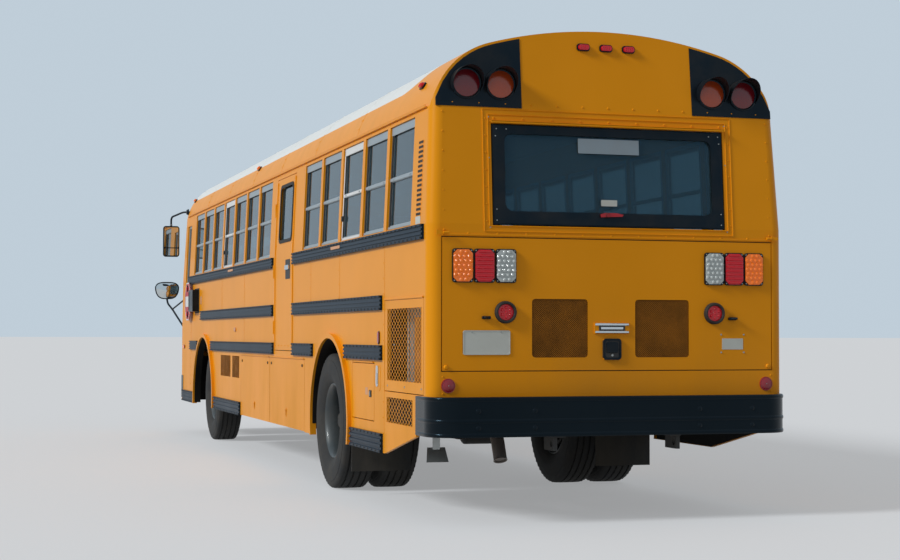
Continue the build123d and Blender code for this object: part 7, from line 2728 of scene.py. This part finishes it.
@dataclass
class UnderFloor:
    """Exhaust, fuel tank, air tanks and batteries hung from the frame."""

    exhaust_y: float = 0.611
    exhaust_z: float = 0.565
    muffler: Flat = (1.3, 2.15)
    tank: tuple[float, float, float, float, float, float] = (6.8, 8.2, -1.159, -0.47, 0.48, 0.9)

    def build(self) -> None:
        """Make the pieces hung under the floor."""
        self.exhaust()
        self.fuel()
        self.air()
        self.batteries()
        self.frame_bolts()

    def exhaust(self) -> None:
        """Make the seamed muffler, its hangers and the tail pipe bent down behind the wheel."""
        form = Form("exhaust_system")
        x0, x1 = self.muffler
        y, z = self.exhaust_y, self.exhaust_z
        length = x1 - x0
        form.lathe((fwd(x0), y, z), (1, 0, 0), [(0.044, -0.03), (0.046, 0.0), (0.1, 0.004), (0.109, -0.006),
            (0.111, 0.006), (0.106, 0.014), (0.106, length * 0.33), (0.108, length * 0.33 + 0.004),
            (0.106, length * 0.33 + 0.008), (0.106, length * 0.67), (0.108, length * 0.67 + 0.004),
            (0.106, length * 0.67 + 0.008), (0.106, length - 0.014), (0.111, length - 0.006),
            (0.109, length + 0.006), (0.1, length - 0.004), (0.046, length)], EXHAUST, 40)
        form.tube([(fwd(x0 + 0.01), y, z), (fwd(0.5), y, z), (fwd(0.41), y, 0.378)], 0.044, EXHAUST,
            turns=24, smooth=10)
        form.lathe((fwd(0.409), y, 0.376), (-0.43, 0, -0.9), [(0.045, 0.0), (0.047, 0.004), (0.045, 0.008),
            (0.038, 0.006), (0.036, -0.06), (POLE, -0.062)], EXHAUST, 28)
        form.tube([(fwd(x1 - 0.01), y, z), (fwd(2.215), y, z - 0.01), (fwd(2.235), y - 0.14, 0.595),
            (fwd(2.235), 0.33, 0.6), (fwd(2.12), 0.3, 0.72), (fwd(1.9), 0.3, 0.78)], 0.042, EXHAUST,
            turns=20, smooth=8)
        form.prism([(-0.075, 0.0), (0.075, 0.0), (0.06, 0.1), (-0.06, 0.1)], (fwd(0.5), 1.01, 0.36),
            ACROSS_REAR, Vector((0.35, 0.0, 0.94)), 0.004, ZINC)
        form.slab((fwd(0.526), 0.985, 0.44), (fwd(0.531), 1.035, 0.64), ZINC, 0.001)
        form.slab((fwd(0.42), 0.985, 0.636), (fwd(0.531), 1.035, 0.641), ZINC, 0.001)
        for x in (x0 + 0.125, x1 - 0.145):
            form.lathe((fwd(x), y, z), (1, 0, 0), [(0.106, -0.018), (0.112, -0.016), (0.112, 0.016),
                (0.106, 0.018)], ZINC, 40)
            form.slab((fwd(x) - 0.018, 0.38, 0.672), (fwd(x) + 0.018, y + 0.03, 0.679), CHASSIS)
            form.tube([(fwd(x), y, z + 0.105), (fwd(x), y, 0.674)], 0.008, ZINC, turns=8)
        for x in (1.24, 0.64):
            form.lathe((fwd(x), y, z), (1, 0, 0), [(0.044, -0.02), (0.05, -0.018), (0.05, 0.018),
                (0.044, 0.02)], ZINC)
        form.place("exhaust_steel", "exhaust")

    def fuel(self) -> None:
        """Make the steel tank with its end beads, bands, drain and cap."""
        x0, x1, y0, y1, z0, z1 = self.tank
        form = Form("fuel_tank_shell")
        wide, tall = (y1 - y0) / 2, (z1 - z0) / 2
        centre = (fwd(x0), (y0 + y1) / 2, (z0 + z1) / 2)
        axes = ((0.0, 1.0, 0.0), UP)
        form.prism(oblong(wide, tall, 0.06), centre, *axes, x1 - x0, CHASSIS)
        for x, depth, grow, finish in ((0.0, 0.018, 0.004, CHASSIS), (1.382, 0.018, 0.004, CHASSIS),
                (0.21, 0.05, 0.005, ZINC), (1.14, 0.05, 0.005, ZINC), (0.46, 0.014, 0.002, CHASSIS),
                (0.69, 0.014, 0.002, CHASSIS), (0.92, 0.014, 0.002, CHASSIS)):
            form.frame(oblong(wide + grow, tall + grow, 0.062), oblong(wide - 0.002, tall - 0.002, 0.058),
                (centre[0] + x, centre[1], centre[2]), *axes, depth, finish)
        for x in (0.2, 1.12):
            form.slab((centre[0] + x, y1 - 0.02, 0.69), (centre[0] + x + 0.08, -0.43, 0.83), CHASSIS, 0.004)
            for z in (0.72, 0.8):
                form.rivet((centre[0] + x + 0.04, y1 + 0.006, z), (0, 1, 0), ZINC, 0.012, 0.008)
        form.lathe((centre[0] + 1.29, y0 + 0.13, z1 - 0.004), UP, [(POLE, 0.04), (0.03, 0.04),
            (0.042, 0.034), (0.042, 0.01), (0.052, 0.004), (0.054, 0.0)], ZINC, 28)
        form.bolt((centre[0] + 0.7, centre[1], z0 + 0.002), (0, 0, -1), 0.014, 0.012, ZINC, 6, 0.006)
        form.place("chassis_black", "fuel_tank")

    @staticmethod
    def air() -> None:
        """Make the two air tanks across the frame, with their bands, valves and pipes."""
        form = Form("air_tanks")
        for x in (7.86, 8.16):
            form.lathe((fwd(x), -0.33, 0.79), (0, 1, 0), [(POLE, 0.0), (0.05, 0.006), (0.088, 0.028),
                (0.104, 0.062), (0.107, 0.066), (0.105, 0.072), (0.105, 0.588), (0.107, 0.594),
                (0.104, 0.598), (0.088, 0.632), (0.05, 0.654), (POLE, 0.66)], CHASSIS, 36)
            for y in (-0.19, 0.19):
                form.lathe((fwd(x), y, 0.79), (0, 1, 0), [(0.105, -0.016), (0.11, -0.014), (0.11, 0.014),
                    (0.105, 0.016)], ZINC, 36)
                form.slab((fwd(x) - 0.012, y - 0.014, 0.89), (fwd(x) + 0.012, y + 0.014, 1.0), CHASSIS,
                    0.003)
            form.lathe((fwd(x), 0.0, 0.684), (0, 0, -1), [(POLE, 0.03), (0.008, 0.028), (0.01, 0.01),
                (0.016, 0.0)], CHROME, 12)
            form.tube([(fwd(x), 0.32, 0.79), (fwd(x), 0.345, 0.85), (fwd(x - 0.6), 0.345, 0.88)], 0.006,
                GASKET, turns=8)
        form.place("chassis_black")

    @staticmethod
    def batteries() -> None:
        """Make the two batteries on their tray behind the battery door."""
        form = Form("battery_set")
        form.slab((fwd(1.38), 0.8, 0.596), (fwd(1.95), 1.15, 0.604), CHASSIS)
        for y in (0.8, 1.143):
            form.slab((fwd(1.38), y, 0.604), (fwd(1.95), y + 0.007, 0.636), CHASSIS)
        for x in (1.4, 1.675):
            form.slab((fwd(x), 0.83, 0.606), (fwd(x + 0.255), 1.12, 0.79), HOOD, 0.008)
            form.slab((fwd(x - 0.003), 0.827, 0.784), (fwd(x + 0.258), 1.123, 0.806), ABS, 0.005)
            for k in range(6):
                form.bolt((fwd(x + 0.03 + 0.039 * k), 0.975, 0.806), UP, 0.011, 0.005, ABS, 14, 0.002)
            for u in (0.04, 0.215):
                form.bolt((fwd(x + u), 1.085, 0.804), UP, 0.008, 0.02, ZINC, 14, 0.002)
        form.tube([(fwd(1.615), 1.085, 0.818), (fwd(1.665), 1.085, 0.85), (fwd(1.715), 1.085, 0.818)],
            0.009, SIGN_RED)
        form.tube([(fwd(1.44), 1.085, 0.818), (fwd(1.4), 1.02, 0.85), (fwd(1.385), 0.7, 0.83)], 0.009,
            GASKET)
        form.tube([(fwd(1.89), 1.085, 0.818), (fwd(1.93), 1.02, 0.85), (fwd(1.94), 0.7, 0.83)], 0.009,
            SIGN_RED)
        form.slab((fwd(1.39), 0.96, 0.812), (fwd(1.94), 0.99, 0.818), ZINC)
        for x in (1.396, 1.934):
            form.tube([(fwd(x), 0.975, 0.6), (fwd(x), 0.975, 0.834)], 0.004, ZINC, turns=6)
        form.place("chassis_black")

    @staticmethod
    def frame_bolts() -> None:
        """Set the bolts of the cross members in the frame's webs, and run the brake pipes along them."""
        form = Form("frame_bolts_and_pipes")
        for x in (2.1, 3.5, 4.9, 6.4, 7.6, 8.45, 9.8, 10.88):
            for side in (-1, 1):
                for u in (-0.018, 0.018):
                    for z in (0.815, 0.86, 0.895):
                        form.lathe((fwd(x + u), side * 0.4295, z), (0, side, 0),
                            [(POLE, 0.01), (0.009, 0.01), (0.01, 0.002), (0.013, 0.0)], ZINC, 6)
        for z, radius in ((0.77, 0.007), (0.79, 0.005), (0.752, 0.009)):
            form.tube([(fwd(2.4), 0.418 - radius, z), (fwd(8.3), 0.418 - radius, z)], radius, GASKET,
                turns=8)
        for x in (2.9, 3.9, 4.5, 5.5, 6.0, 7.1, 8.0):
            form.slab((fwd(x), 0.398, 0.74), (fwd(x) + 0.018, 0.422, 0.802), ZINC)
        form.place("cast_parts")


@dataclass
class Engine:
    """Inline diesel, gearbox and side radiator at the rear, in place of their plain blocks."""

    x: Flat = (0.33, 1.12)
    half: float = 0.33

    def build(self) -> None:
        """Make the engine, the gearbox with its shaft, and the cooling pack."""
        form = Form("diesel_engine")
        self.block(form)
        self.breathing(form)
        self.belts(form)
        self.gearbox(form)
        form.place("cast_parts", "powertrain")
        self.cooling()

    def block(self, form: Form) -> None:
        """Make sump, ribbed block, head and rocker cover.

        Args:
            form: The form that it joins.
        """
        x0, x1 = self.x
        axes = (0.0, 1.0, 0.0), UP
        length = x1 - x0 - 0.05
        start = (fwd(x0 + 0.03), 0.0, 0.0)
        form.prism([(-0.12, 0.57), (0.12, 0.57), (0.185, 0.64), (0.2, 0.76), (-0.2, 0.76), (-0.185, 0.64)],
            start, *axes, length, CAST)
        form.prism([(-0.235, 0.76), (0.235, 0.76), (0.25, 0.8), (0.215, 0.9), (0.195, 1.16), (-0.195, 1.16),
            (-0.215, 0.9), (-0.25, 0.8)], start, *axes, length, CAST)
        form.prism([(-0.17, 1.16), (0.17, 1.16), (0.17, 1.29), (-0.17, 1.29)], start, *axes, length, CAST)
        form.prism([(-0.15, 1.29), (0.15, 1.29), (0.14, 1.35), (0.105, 1.39), (-0.105, 1.39),
            (-0.14, 1.35)], (start[0] + 0.01, 0, 0), *axes, length - 0.02, WHEEL)
        for z, half in ((0.76, 0.252), (1.16, 0.205), (1.29, 0.168)):
            form.slab((start[0] - 0.004, -half, z - 0.007), (start[0] + length + 0.004, half, z + 0.007),
                CAST, 0.003)
        for side in (-1, 1):
            for k in range(7):
                x = start[0] + 0.035 + k * (length - 0.07) / 6
                form.slab((x - 0.008, side * 0.214 - 0.012, 0.82), (x + 0.008, side * 0.214 + 0.012, 1.14),
                    CAST, 0.004)
                form.bolt((x, side * 0.243, 0.766), UP, 0.009, 0.012)
                form.bolt((x, side * 0.142, 1.294), UP, 0.008, 0.014)
                form.bolt((x, side * 0.185, 1.166), UP, 0.008, 0.01)
        for k in range(5):
            y = -0.08 + 0.04 * k
            form.tube([(start[0] + 0.04, y, 1.391), (start[0] + length - 0.05, y, 1.391)], 0.005, WHEEL,
                turns=6)
        for x in (0.56, 1.02):
            for side in (-1, 1):
                form.prism([(0.0, -0.045), (0.195, -0.03), (0.195, 0.0), (0.0, 0.04)] if side > 0
                    else [(-0.195, -0.03), (0.0, -0.045), (0.0, 0.04), (-0.195, 0.0)],
                    (fwd(x) - 0.03, side * 0.222, 0.79), *axes, 0.06, CAST)
                form.lathe((fwd(x), side * 0.385, 0.755), UP, [(0.036, 0.0), (0.04, 0.01), (0.036, 0.03),
                    (POLE, 0.034)], GASKET, 20)

    def breathing(self, form: Form) -> None:
        """Make the inlet plenum with its runners, the exhaust manifold, the blower and its pipes.

        Args:
            form: The form that it joins.
        """
        x0, x1 = self.x
        step = (x1 - x0 - 0.14) / 5
        form.tube([(fwd(x0 + 0.05), 0.255, 1.27), (fwd(x1 - 0.05), 0.255, 1.27)], 0.04, ALUMINIUM, turns=20)
        for k in range(6):
            x = fwd(x0 + 0.07 + k * step)
            form.tube([(x, 0.15, 1.215), (x, 0.21, 1.225), (x, 0.252, 1.262)], 0.026, ALUMINIUM, turns=12)
            form.tube([(x, -0.16, 1.215), (x, -0.22, 1.205), (x, -0.24, 1.17)], 0.024, EXHAUST, turns=12)
            form.tube([(x, 0.0, 1.392), (x, 0.0, 1.405)], 0.016, ZINC, turns=12)
        form.tube([(fwd(x0 + 0.06), -0.245, 1.165), (fwd(x1 - 0.06), -0.245, 1.165)], 0.034, EXHAUST,
            turns=18)
        blower = (fwd(0.72), -0.262, 1.06)
        form.lathe(blower, (1, 0, 0), [(POLE, -0.072), (0.03, -0.07), (0.032, -0.046), (0.06, -0.036),
            (0.072, -0.016), (0.06, 0.004), (0.036, 0.012), (0.036, 0.03), (0.05, 0.036), (0.06, 0.056),
            (0.05, 0.078), (0.026, 0.084), (POLE, 0.086)], CAST, 32)
        form.tube([(blower[0] - 0.07, -0.262, 1.06), (fwd(0.56), -0.262, 1.06), (fwd(0.48), -0.262, 1.22),
            (fwd(0.44), -0.24, 1.43)], 0.036, GASKET, turns=16)
        form.lathe((fwd(0.38), -0.19, 1.44), (1, 0, 0), [(POLE, -0.01), (0.046, -0.008), (0.052, 0.0),
            (0.052, 0.2), (0.044, 0.214), (POLE, 0.22)], HOOD, 32)
        form.tube([(fwd(0.4), 0.255, 1.27), (fwd(0.365), 0.28, 1.3), (fwd(0.365), 0.31, 1.38)], 0.034,
            GASKET, turns=16)

    def belts(self, form: Form) -> None:
        """Make the pulleys and the ribbed belt at the engine's rear end, facing the door.

        Args:
            form: The form that it joins.
        """
        x = fwd(self.x[0] + 0.006)
        wheels = ((0.0, 0.72, 0.085), (0.165, 0.88, 0.06), (-0.17, 0.9, 0.066), (0.0, 1.05, 0.074),
            (0.15, 1.1, 0.038))
        for y, z, radius in wheels:
            form.lathe((x, y, z), REARWARD, [(POLE, 0.0), (radius * 0.3, 0.0), (radius * 0.34, -0.01),
                (radius * 0.84, -0.012), (radius * 0.9, 0.0), (radius, 0.0), (radius * 0.97, -0.006),
                (radius, -0.012), (radius * 0.97, -0.018), (radius, -0.024), (radius * 0.9, -0.028)], WHEEL,
                36)
            form.bolt((x, y, z), REARWARD, 0.012, 0.01)
        loop = [(0.0, 0.632), (0.15, 0.7), (0.228, 0.88), (0.18, 1.14), (0.0, 1.13), (-0.16, 1.01),
            (-0.24, 0.9), (-0.15, 0.72)]
        points = [(x + depth, y, z) for y, z in loop for depth in (0.002, 0.02)]
        inner = [(x + depth, y * 0.975, 0.88 + (z - 0.88) * 0.975) for y, z in loop for depth in (0.002,
            0.02)]
        n = len(loop)
        faces = []
        for k in range(n):
            m = (k + 1) % n
            faces.append((2 * k, 2 * m, 2 * m + 1, 2 * k + 1))
            faces.append((2 * k, 2 * n + 2 * k, 2 * n + 2 * m, 2 * m))
        form.patch(points + inner, faces, GASKET)
        form.lathe((x + 0.02, 0.225, 0.88), (1, 0, 0), [(0.05, 0.0), (0.068, 0.01), (0.072, 0.06),
            (0.072, 0.12), (0.05, 0.14), (POLE, 0.142)], ALUMINIUM, 28)
        form.lathe((x + 0.02, -0.225, 0.9), (1, 0, 0), [(0.05, 0.0), (0.066, 0.01), (0.066, 0.17),
            (0.05, 0.19), (POLE, 0.192)], CAST, 28)
        form.lathe((fwd(0.7), 0.262, 0.9), (0, 0, -1), [(POLE, -0.01), (0.04, -0.006), (0.046, 0.0),
            (0.046, 0.17), (0.036, 0.186), (POLE, 0.188)], YELLOW, 28)

    @staticmethod
    def gearbox(form: Form) -> None:
        """Make the bell housing, the gearbox, and the shaft with its two joints.

        Args:
            form: The form that it joins.
        """
        form.lathe((fwd(1.09), 0.0, 0.78), (1, 0, 0), [(0.215, 0.0), (0.222, 0.01), (0.215, 0.02),
            (0.205, 0.03), (0.165, 0.13), (0.15, 0.15), (0.15, 0.42), (0.156, 0.424), (0.156, 0.44),
            (0.12, 0.45), (0.095, 0.56), (0.07, 0.6), (0.045, 0.604)], ALUMINIUM, 36)
        for u, v in circle(12, 0.154):
            form.tube([(fwd(1.24), u, 0.78 + v), (fwd(1.5), u, 0.78 + v)], 0.006, ALUMINIUM, turns=6)
        form.slab((fwd(1.26), -0.15, 0.604), (fwd(1.56), 0.15, 0.68), CAST, 0.018)
        start, end = Vector((fwd(1.69), 0.0, 0.7)), Vector((fwd(2.588), 0.0, 0.54))
        form.tube([(fwd(1.64), 0.0, 0.756), start], 0.046, CAST, turns=16)
        along = end - start
        length = along.length
        form.lathe(tuple(start), along, [(0.03, -0.01), (0.05, 0.0), (0.05, 0.03), (0.03, 0.036),
            (0.03, 0.07), (0.046, 0.076), (0.048, 0.09), (0.044, 0.1), (0.044, length - 0.14),
            (0.048, length - 0.13), (0.046, length - 0.11), (0.03, length - 0.1), (0.03, length - 0.05),
            (0.05, length - 0.044), (0.05, length - 0.01), (POLE, length)], CHASSIS)
        for share in (0.055, 0.925):
            cross = start.lerp(end, share)
            form.tube([cross - Vector((0, 0.048, 0)), cross + Vector((0, 0.048, 0))], 0.014, ZINC, turns=12)
            form.tube([cross - Vector((0.006, 0, 0.048)), cross + Vector((-0.006, 0, 0.048))], 0.014, ZINC,
                turns=12)

    @staticmethod
    def cooling() -> None:
        """Make the side radiator: tanks, finned core, fan shroud and hoses."""
        form = Form("cooling_pack")
        x0, x1, y0, y1, z0, z1 = 0.14, 1.0, 0.889, 1.089, 0.82, 1.42
        for z in (z0, z1 - 0.06):
            form.slab((fwd(x0), y0 + 0.05, z), (fwd(x1), y1, z + 0.06), ALUMINIUM, 0.01)
        for x in (x0, x1 - 0.025):
            form.slab((fwd(x), y0 + 0.06, z0 + 0.05), (fwd(x + 0.025), y1 - 0.01, z1 - 0.05), ALUMINIUM,
                0.003)
        for k in range(54):
            x = fwd(x0 + 0.03 + k * 0.0148)
            form.slab((x, y0 + 0.075, z0 + 0.058), (x + 0.004, y1 - 0.02, z1 - 0.058), ALUMINIUM, 0.0008)
        for k in range(24):
            z = z0 + 0.07 + k * 0.02
            form.slab((fwd(x0 + 0.02), y0 + 0.085, z), (fwd(x1 - 0.02), y1 - 0.028, z + 0.0016), CHASSIS,
                0.0004)
        hub = (fwd(0.57), y0 + 0.03, 1.12)
        form.lathe(hub, (0, -1, 0), [(0.285, -0.04), (0.29, 0.0), (0.27, 0.026), (0.262, 0.026),
            (0.268, 0.0), (0.262, -0.03)], HOOD, 48)
        form.lathe(hub, (0, -1, 0), [(POLE, 0.02), (0.045, 0.018), (0.06, 0.0), (0.06, -0.03)], HOOD, 28)
        for k in range(9):
            angle = math.radians(40 * k)
            out = Vector((math.cos(angle), 0.0, math.sin(angle)))
            turn = Vector((-math.sin(angle), 0.0, math.cos(angle)))
            base = Vector(hub)
            blade = [base + out * 0.055 - turn * 0.02 + Vector((0, 0.008, 0)),
                base + out * 0.055 + turn * 0.02 - Vector((0, 0.008, 0)), base + out * 0.25 + turn * 0.058
                - Vector((0, 0.014, 0)), base + out * 0.25 - turn * 0.03 + Vector((0, 0.014, 0))]
            thick = Vector((0, 0.003, 0))
            points = blade + [q + thick for q in blade]
            form.patch(points, [(0, 1, 2, 3), (7, 6, 5, 4), (0, 4, 5, 1), (1, 5, 6, 2), (2, 6, 7, 3),
                (3, 7, 4, 0)], HOOD)
        form.tube([(fwd(0.3), y0 + 0.07, 1.38), (fwd(0.3), 0.76, 1.38), (fwd(0.36), 0.5, 1.34),
            (fwd(0.4), 0.3, 1.18), (fwd(0.4), 0.2, 1.12)], 0.03, GASKET, turns=16, smooth=8)
        form.tube([(fwd(0.85), y0 + 0.07, 0.86), (fwd(0.85), 0.7, 0.86), (fwd(0.7), 0.5, 0.98),
            (fwd(0.52), 0.24, 0.96)], 0.03, GASKET, turns=16, smooth=8)
        for x in (0.32, 0.82):
            form.slab((fwd(x) - 0.018, 0.43, 0.852), (fwd(x) + 0.018, y0 + 0.06, 0.898), CHASSIS, 0.004)
        form.place("window_aluminium")


@dataclass
class DoorBacks:
    """Pressed stiffeners and bars on the inner faces of the doors and lids."""

    half: float = 0.018
    lids: tuple[tuple[str, int, float, float, Flat, Flat], ...] = (("engine_door", 0, 0.03, 0.01,
        (-1.105, 1.105), (0.985, 1.775)), ("engine_side_door", 1, 1.199, -0.006, (0.13, 1.028),
        (0.838, 1.388)), ("battery_door", 1, 1.199, -0.006, (1.375, 1.96), (0.62, 0.955)),
        ("rear_roof_hatch", 2, 3.211, -0.004, (2.15, 2.736), (-0.29, 0.29)), ("front_roof_hatch", 2, 3.211,
        -0.004, (6.952, 7.538), (-0.29, 0.29)))
    luggage: tuple[tuple[str, Flat], ...] = (("rear", (3.7, 5.145)), ("front", (5.225, 6.67)))
    across: dict[str, tuple[float, ...]] = field(default_factory=lambda: {"engine_door": (-1.105, -0.6, 0.6,
        1.105), "engine_side_door": (0.13, 1.028), "battery_door": (1.375, 1.667, 1.96)})

    def build(self) -> None:
        """Make each lid's stiffeners on its own body."""
        doors = tuple((f"luggage_door_{hand}_{end}", 1, side * 1.199, side * -0.004, long, (0.43, 0.945))
            for side, hand in SIDES for end, long in self.luggage)
        for body, axis, face, depth, long, tall in (self.lids[0], *doors, *self.lids[1:]):
            form = Form(f"{body}_stiffeners")
            a, b = [n for n in range(3) if n != axis]
            uprights = self.across.get(body) or [long[0] + (long[1] - long[0]) * k / 3 for k in range(4)]
            for u in uprights:
                self.rib(form, (axis, a, b), face, depth, (u - self.half, u + self.half), tall)
            for v in tall:
                self.rib(form, (axis, a, b), face, depth, long, (v - self.half, v + self.half))
            form.place("hatch_white" if axis == 2 else "body_yellow", body=body)
        bar = Form("exit_door_inner_latch")
        bar.slab((fwd(4.3), 1.128, 1.74), (fwd(4.84), 1.149, 1.78), ALUMINIUM, 0.004)
        bar.tube([(fwd(4.38), 1.128, 1.76), (fwd(4.38), 1.096, 1.76), (fwd(4.56), 1.096, 1.745)], 0.01,
            SIGN_RED, turns=8, smooth=2)
        bar.place("window_aluminium", body="side_exit_door")

    @staticmethod
    def rib(form: Form, axes: tuple[int, int, int], face: float, depth: float, long: Flat,
            tall: Flat) -> None:
        """Press one flat-topped rib.

        Args:
            form: The form that it joins.
            axes: Numbers of the axis across the lid and of its two own axes.
            face: Place of the lid's inner face on the first axis.
            depth: How far the rib stands off it, with its sign.
            long: Its ends on the second axis.
            tall: Its ends on the third.
        """
        low, high = [0.0] * 3, [0.0] * 3
        low[axes[0]], high[axes[0]] = sorted((face, face + depth))
        low[axes[1]], high[axes[1]] = long
        low[axes[2]], high[axes[2]] = tall
        form.slab((fwd(low[0]), *low[1:]), (fwd(high[0]), *high[1:]), WHITE if axes[0] == 2 else YELLOW,
            0.0015)


@dataclass
class Studio:
    """Pale floor, daylight and the photograph's camera."""

    lens: float = 67.61
    place: Point = (-15.7267, 4.126, 1.1831)
    yaw: float = -0.294725
    pitch: float = 0.032726
    roll: float = 0.001724

    def build(self) -> None:
        """Make the stage, the light and the camera."""
        self.floor()
        self.light()
        self.camera()

    def floor(self) -> None:
        """Lay a wide pale floor."""
        mesh = bpy.data.meshes.new("studio_floor")
        reach = 900.0
        mesh.from_pydata([(-reach, -reach, 0), (reach, -reach, 0), (reach, reach, 0), (-reach, reach, 0)],
            [], [(0, 1, 2, 3)])
        made = bpy.data.objects.new("studio_floor", mesh)
        bpy.context.scene.collection.objects.link(made)
        paint = bpy.data.materials.new("PaleStudioFloor")
        paint.use_nodes = True
        tree = paint.node_tree
        tree.nodes.clear()
        matt = add_node(tree, "ShaderNodeBsdfDiffuse", {"Color": srgb("#b6b9bc")})
        lift = add_node(tree, "ShaderNodeMath", {1: 0.36}, {0: self.seen_ray(tree)}, operation="MULTIPLY")
        glow = add_node(tree, "ShaderNodeEmission", {"Color": srgb("#eef0f2")},
            {"Strength": lift.outputs[0]})
        both = add_node(tree, "ShaderNodeAddShader", links={0: matt.outputs[0], 1: glow.outputs[0]})
        add_node(tree, "ShaderNodeOutputMaterial", links={"Surface": both.outputs[0]})
        mesh.materials.append(paint)

    @staticmethod
    def seen_ray(tree: Tree) -> Socket:
        """Give 1 for rays of the camera, of mirrors and through glass, and 0 for light.

        Args:
            tree: The node tree that it joins.

        Returns:
            The output socket.
        """
        path = add_node(tree, "ShaderNodeLightPath")
        clear = add_node(tree, "ShaderNodeMath", links={0: path.outputs["Is Glossy Ray"],
            1: path.outputs["Is Transmission Ray"]}, operation="MAXIMUM")
        return add_node(tree, "ShaderNodeMath", links={0: path.outputs["Is Camera Ray"],
            1: clear.outputs[0]}, operation="MAXIMUM").outputs[0]

    def light(self) -> None:
        """Set an even pale world and one broad key from the bus's left."""
        scene = bpy.context.scene
        scene.view_settings.view_transform = "Standard"
        world = bpy.data.worlds.new("StudioWorld")
        scene.world = world
        world.use_nodes = True
        tree = world.node_tree
        tree.nodes.clear()
        seen = self.seen_ray(tree)
        strength = add_node(tree, "ShaderNodeMapRange", {"To Min": 0.38, "To Max": 0.84}, {"Value": seen})
        sky = add_node(tree, "ShaderNodeMix", {"A": srgb("#eef0f2"), "B": srgb("#cfdeea")},
            {"Factor": seen}, data_type="RGBA")
        back = add_node(tree, "ShaderNodeBackground", links={"Color": sky.outputs["Result"],
            "Strength": strength.outputs[0]})
        add_node(tree, "ShaderNodeOutputWorld", links={"Surface": back.outputs[0]})
        lamp = bpy.data.lights.new("BroadKey", "SUN")
        lamp.energy = 2.05
        lamp.angle = math.radians(14)
        key = bpy.data.objects.new("BroadKey", lamp)
        towards = -Vector((-0.2, 1.0, 0.62)).normalized()
        key.rotation_mode = "QUATERNION"
        key.rotation_quaternion = towards.to_track_quat("-Z", "Y")
        scene.collection.objects.link(key)

    def camera(self) -> None:
        """Set the camera where the photograph was taken from."""
        shot = bpy.data.cameras.new("PhotographCamera")
        shot.lens = self.lens
        shot.sensor_width = 36.0
        shot.clip_end = 3000.0
        made = bpy.data.objects.new("PhotographCamera", shot)
        ahead = Vector((math.cos(self.yaw) * math.cos(self.pitch),
            math.sin(self.yaw) * math.cos(self.pitch), math.sin(self.pitch)))
        right = Vector((math.sin(self.yaw), -math.cos(self.yaw), 0.0))
        up = right.cross(ahead)
        turn = Matrix.Rotation(self.roll, 3, -ahead)
        right, up = turn @ right, turn @ up
        made.matrix_world = Matrix.Translation(self.place) @ Matrix((right, up,
            -ahead)).transposed().to_4x4()
        bpy.context.scene.collection.objects.link(made)
        bpy.context.scene.camera = made


def main() -> None:
    """Build the bus's looks round the frame, in order, and report each piece."""
    logging.basicConfig(level=logging.INFO, format="%(name)s %(message)s")
    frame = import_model()
    Studio().build()
    Paintwork().dress(frame["nodes"])
    assemblies = (RearFace(), EngineDoor(), RearExit(), RoofLamps(), SidePanels(), SideWindows(), Liners(),
        ServiceDoors(), ExitDoor(), StopArm(), ArmHousing(), EntryDoor(), Wheels(), Mirrors(), Seats(),
        Cabin(), FrontFace(), Bumpers(), RoofTrim(), Hatches(), RunningGear(), UnderFloor(), Engine(),
        DoorBacks())
    for assembly in assemblies:
        before = {o.name for o in bpy.data.objects}
        assembly.build()
        for made in [o for o in bpy.data.objects if o.name not in before and o.type == "MESH"]:
            LOG.info("%s made %s with %d faces", type(assembly).__name__, made.name,
                len(made.data.polygons))


if __name__ == "__main__":
    main()
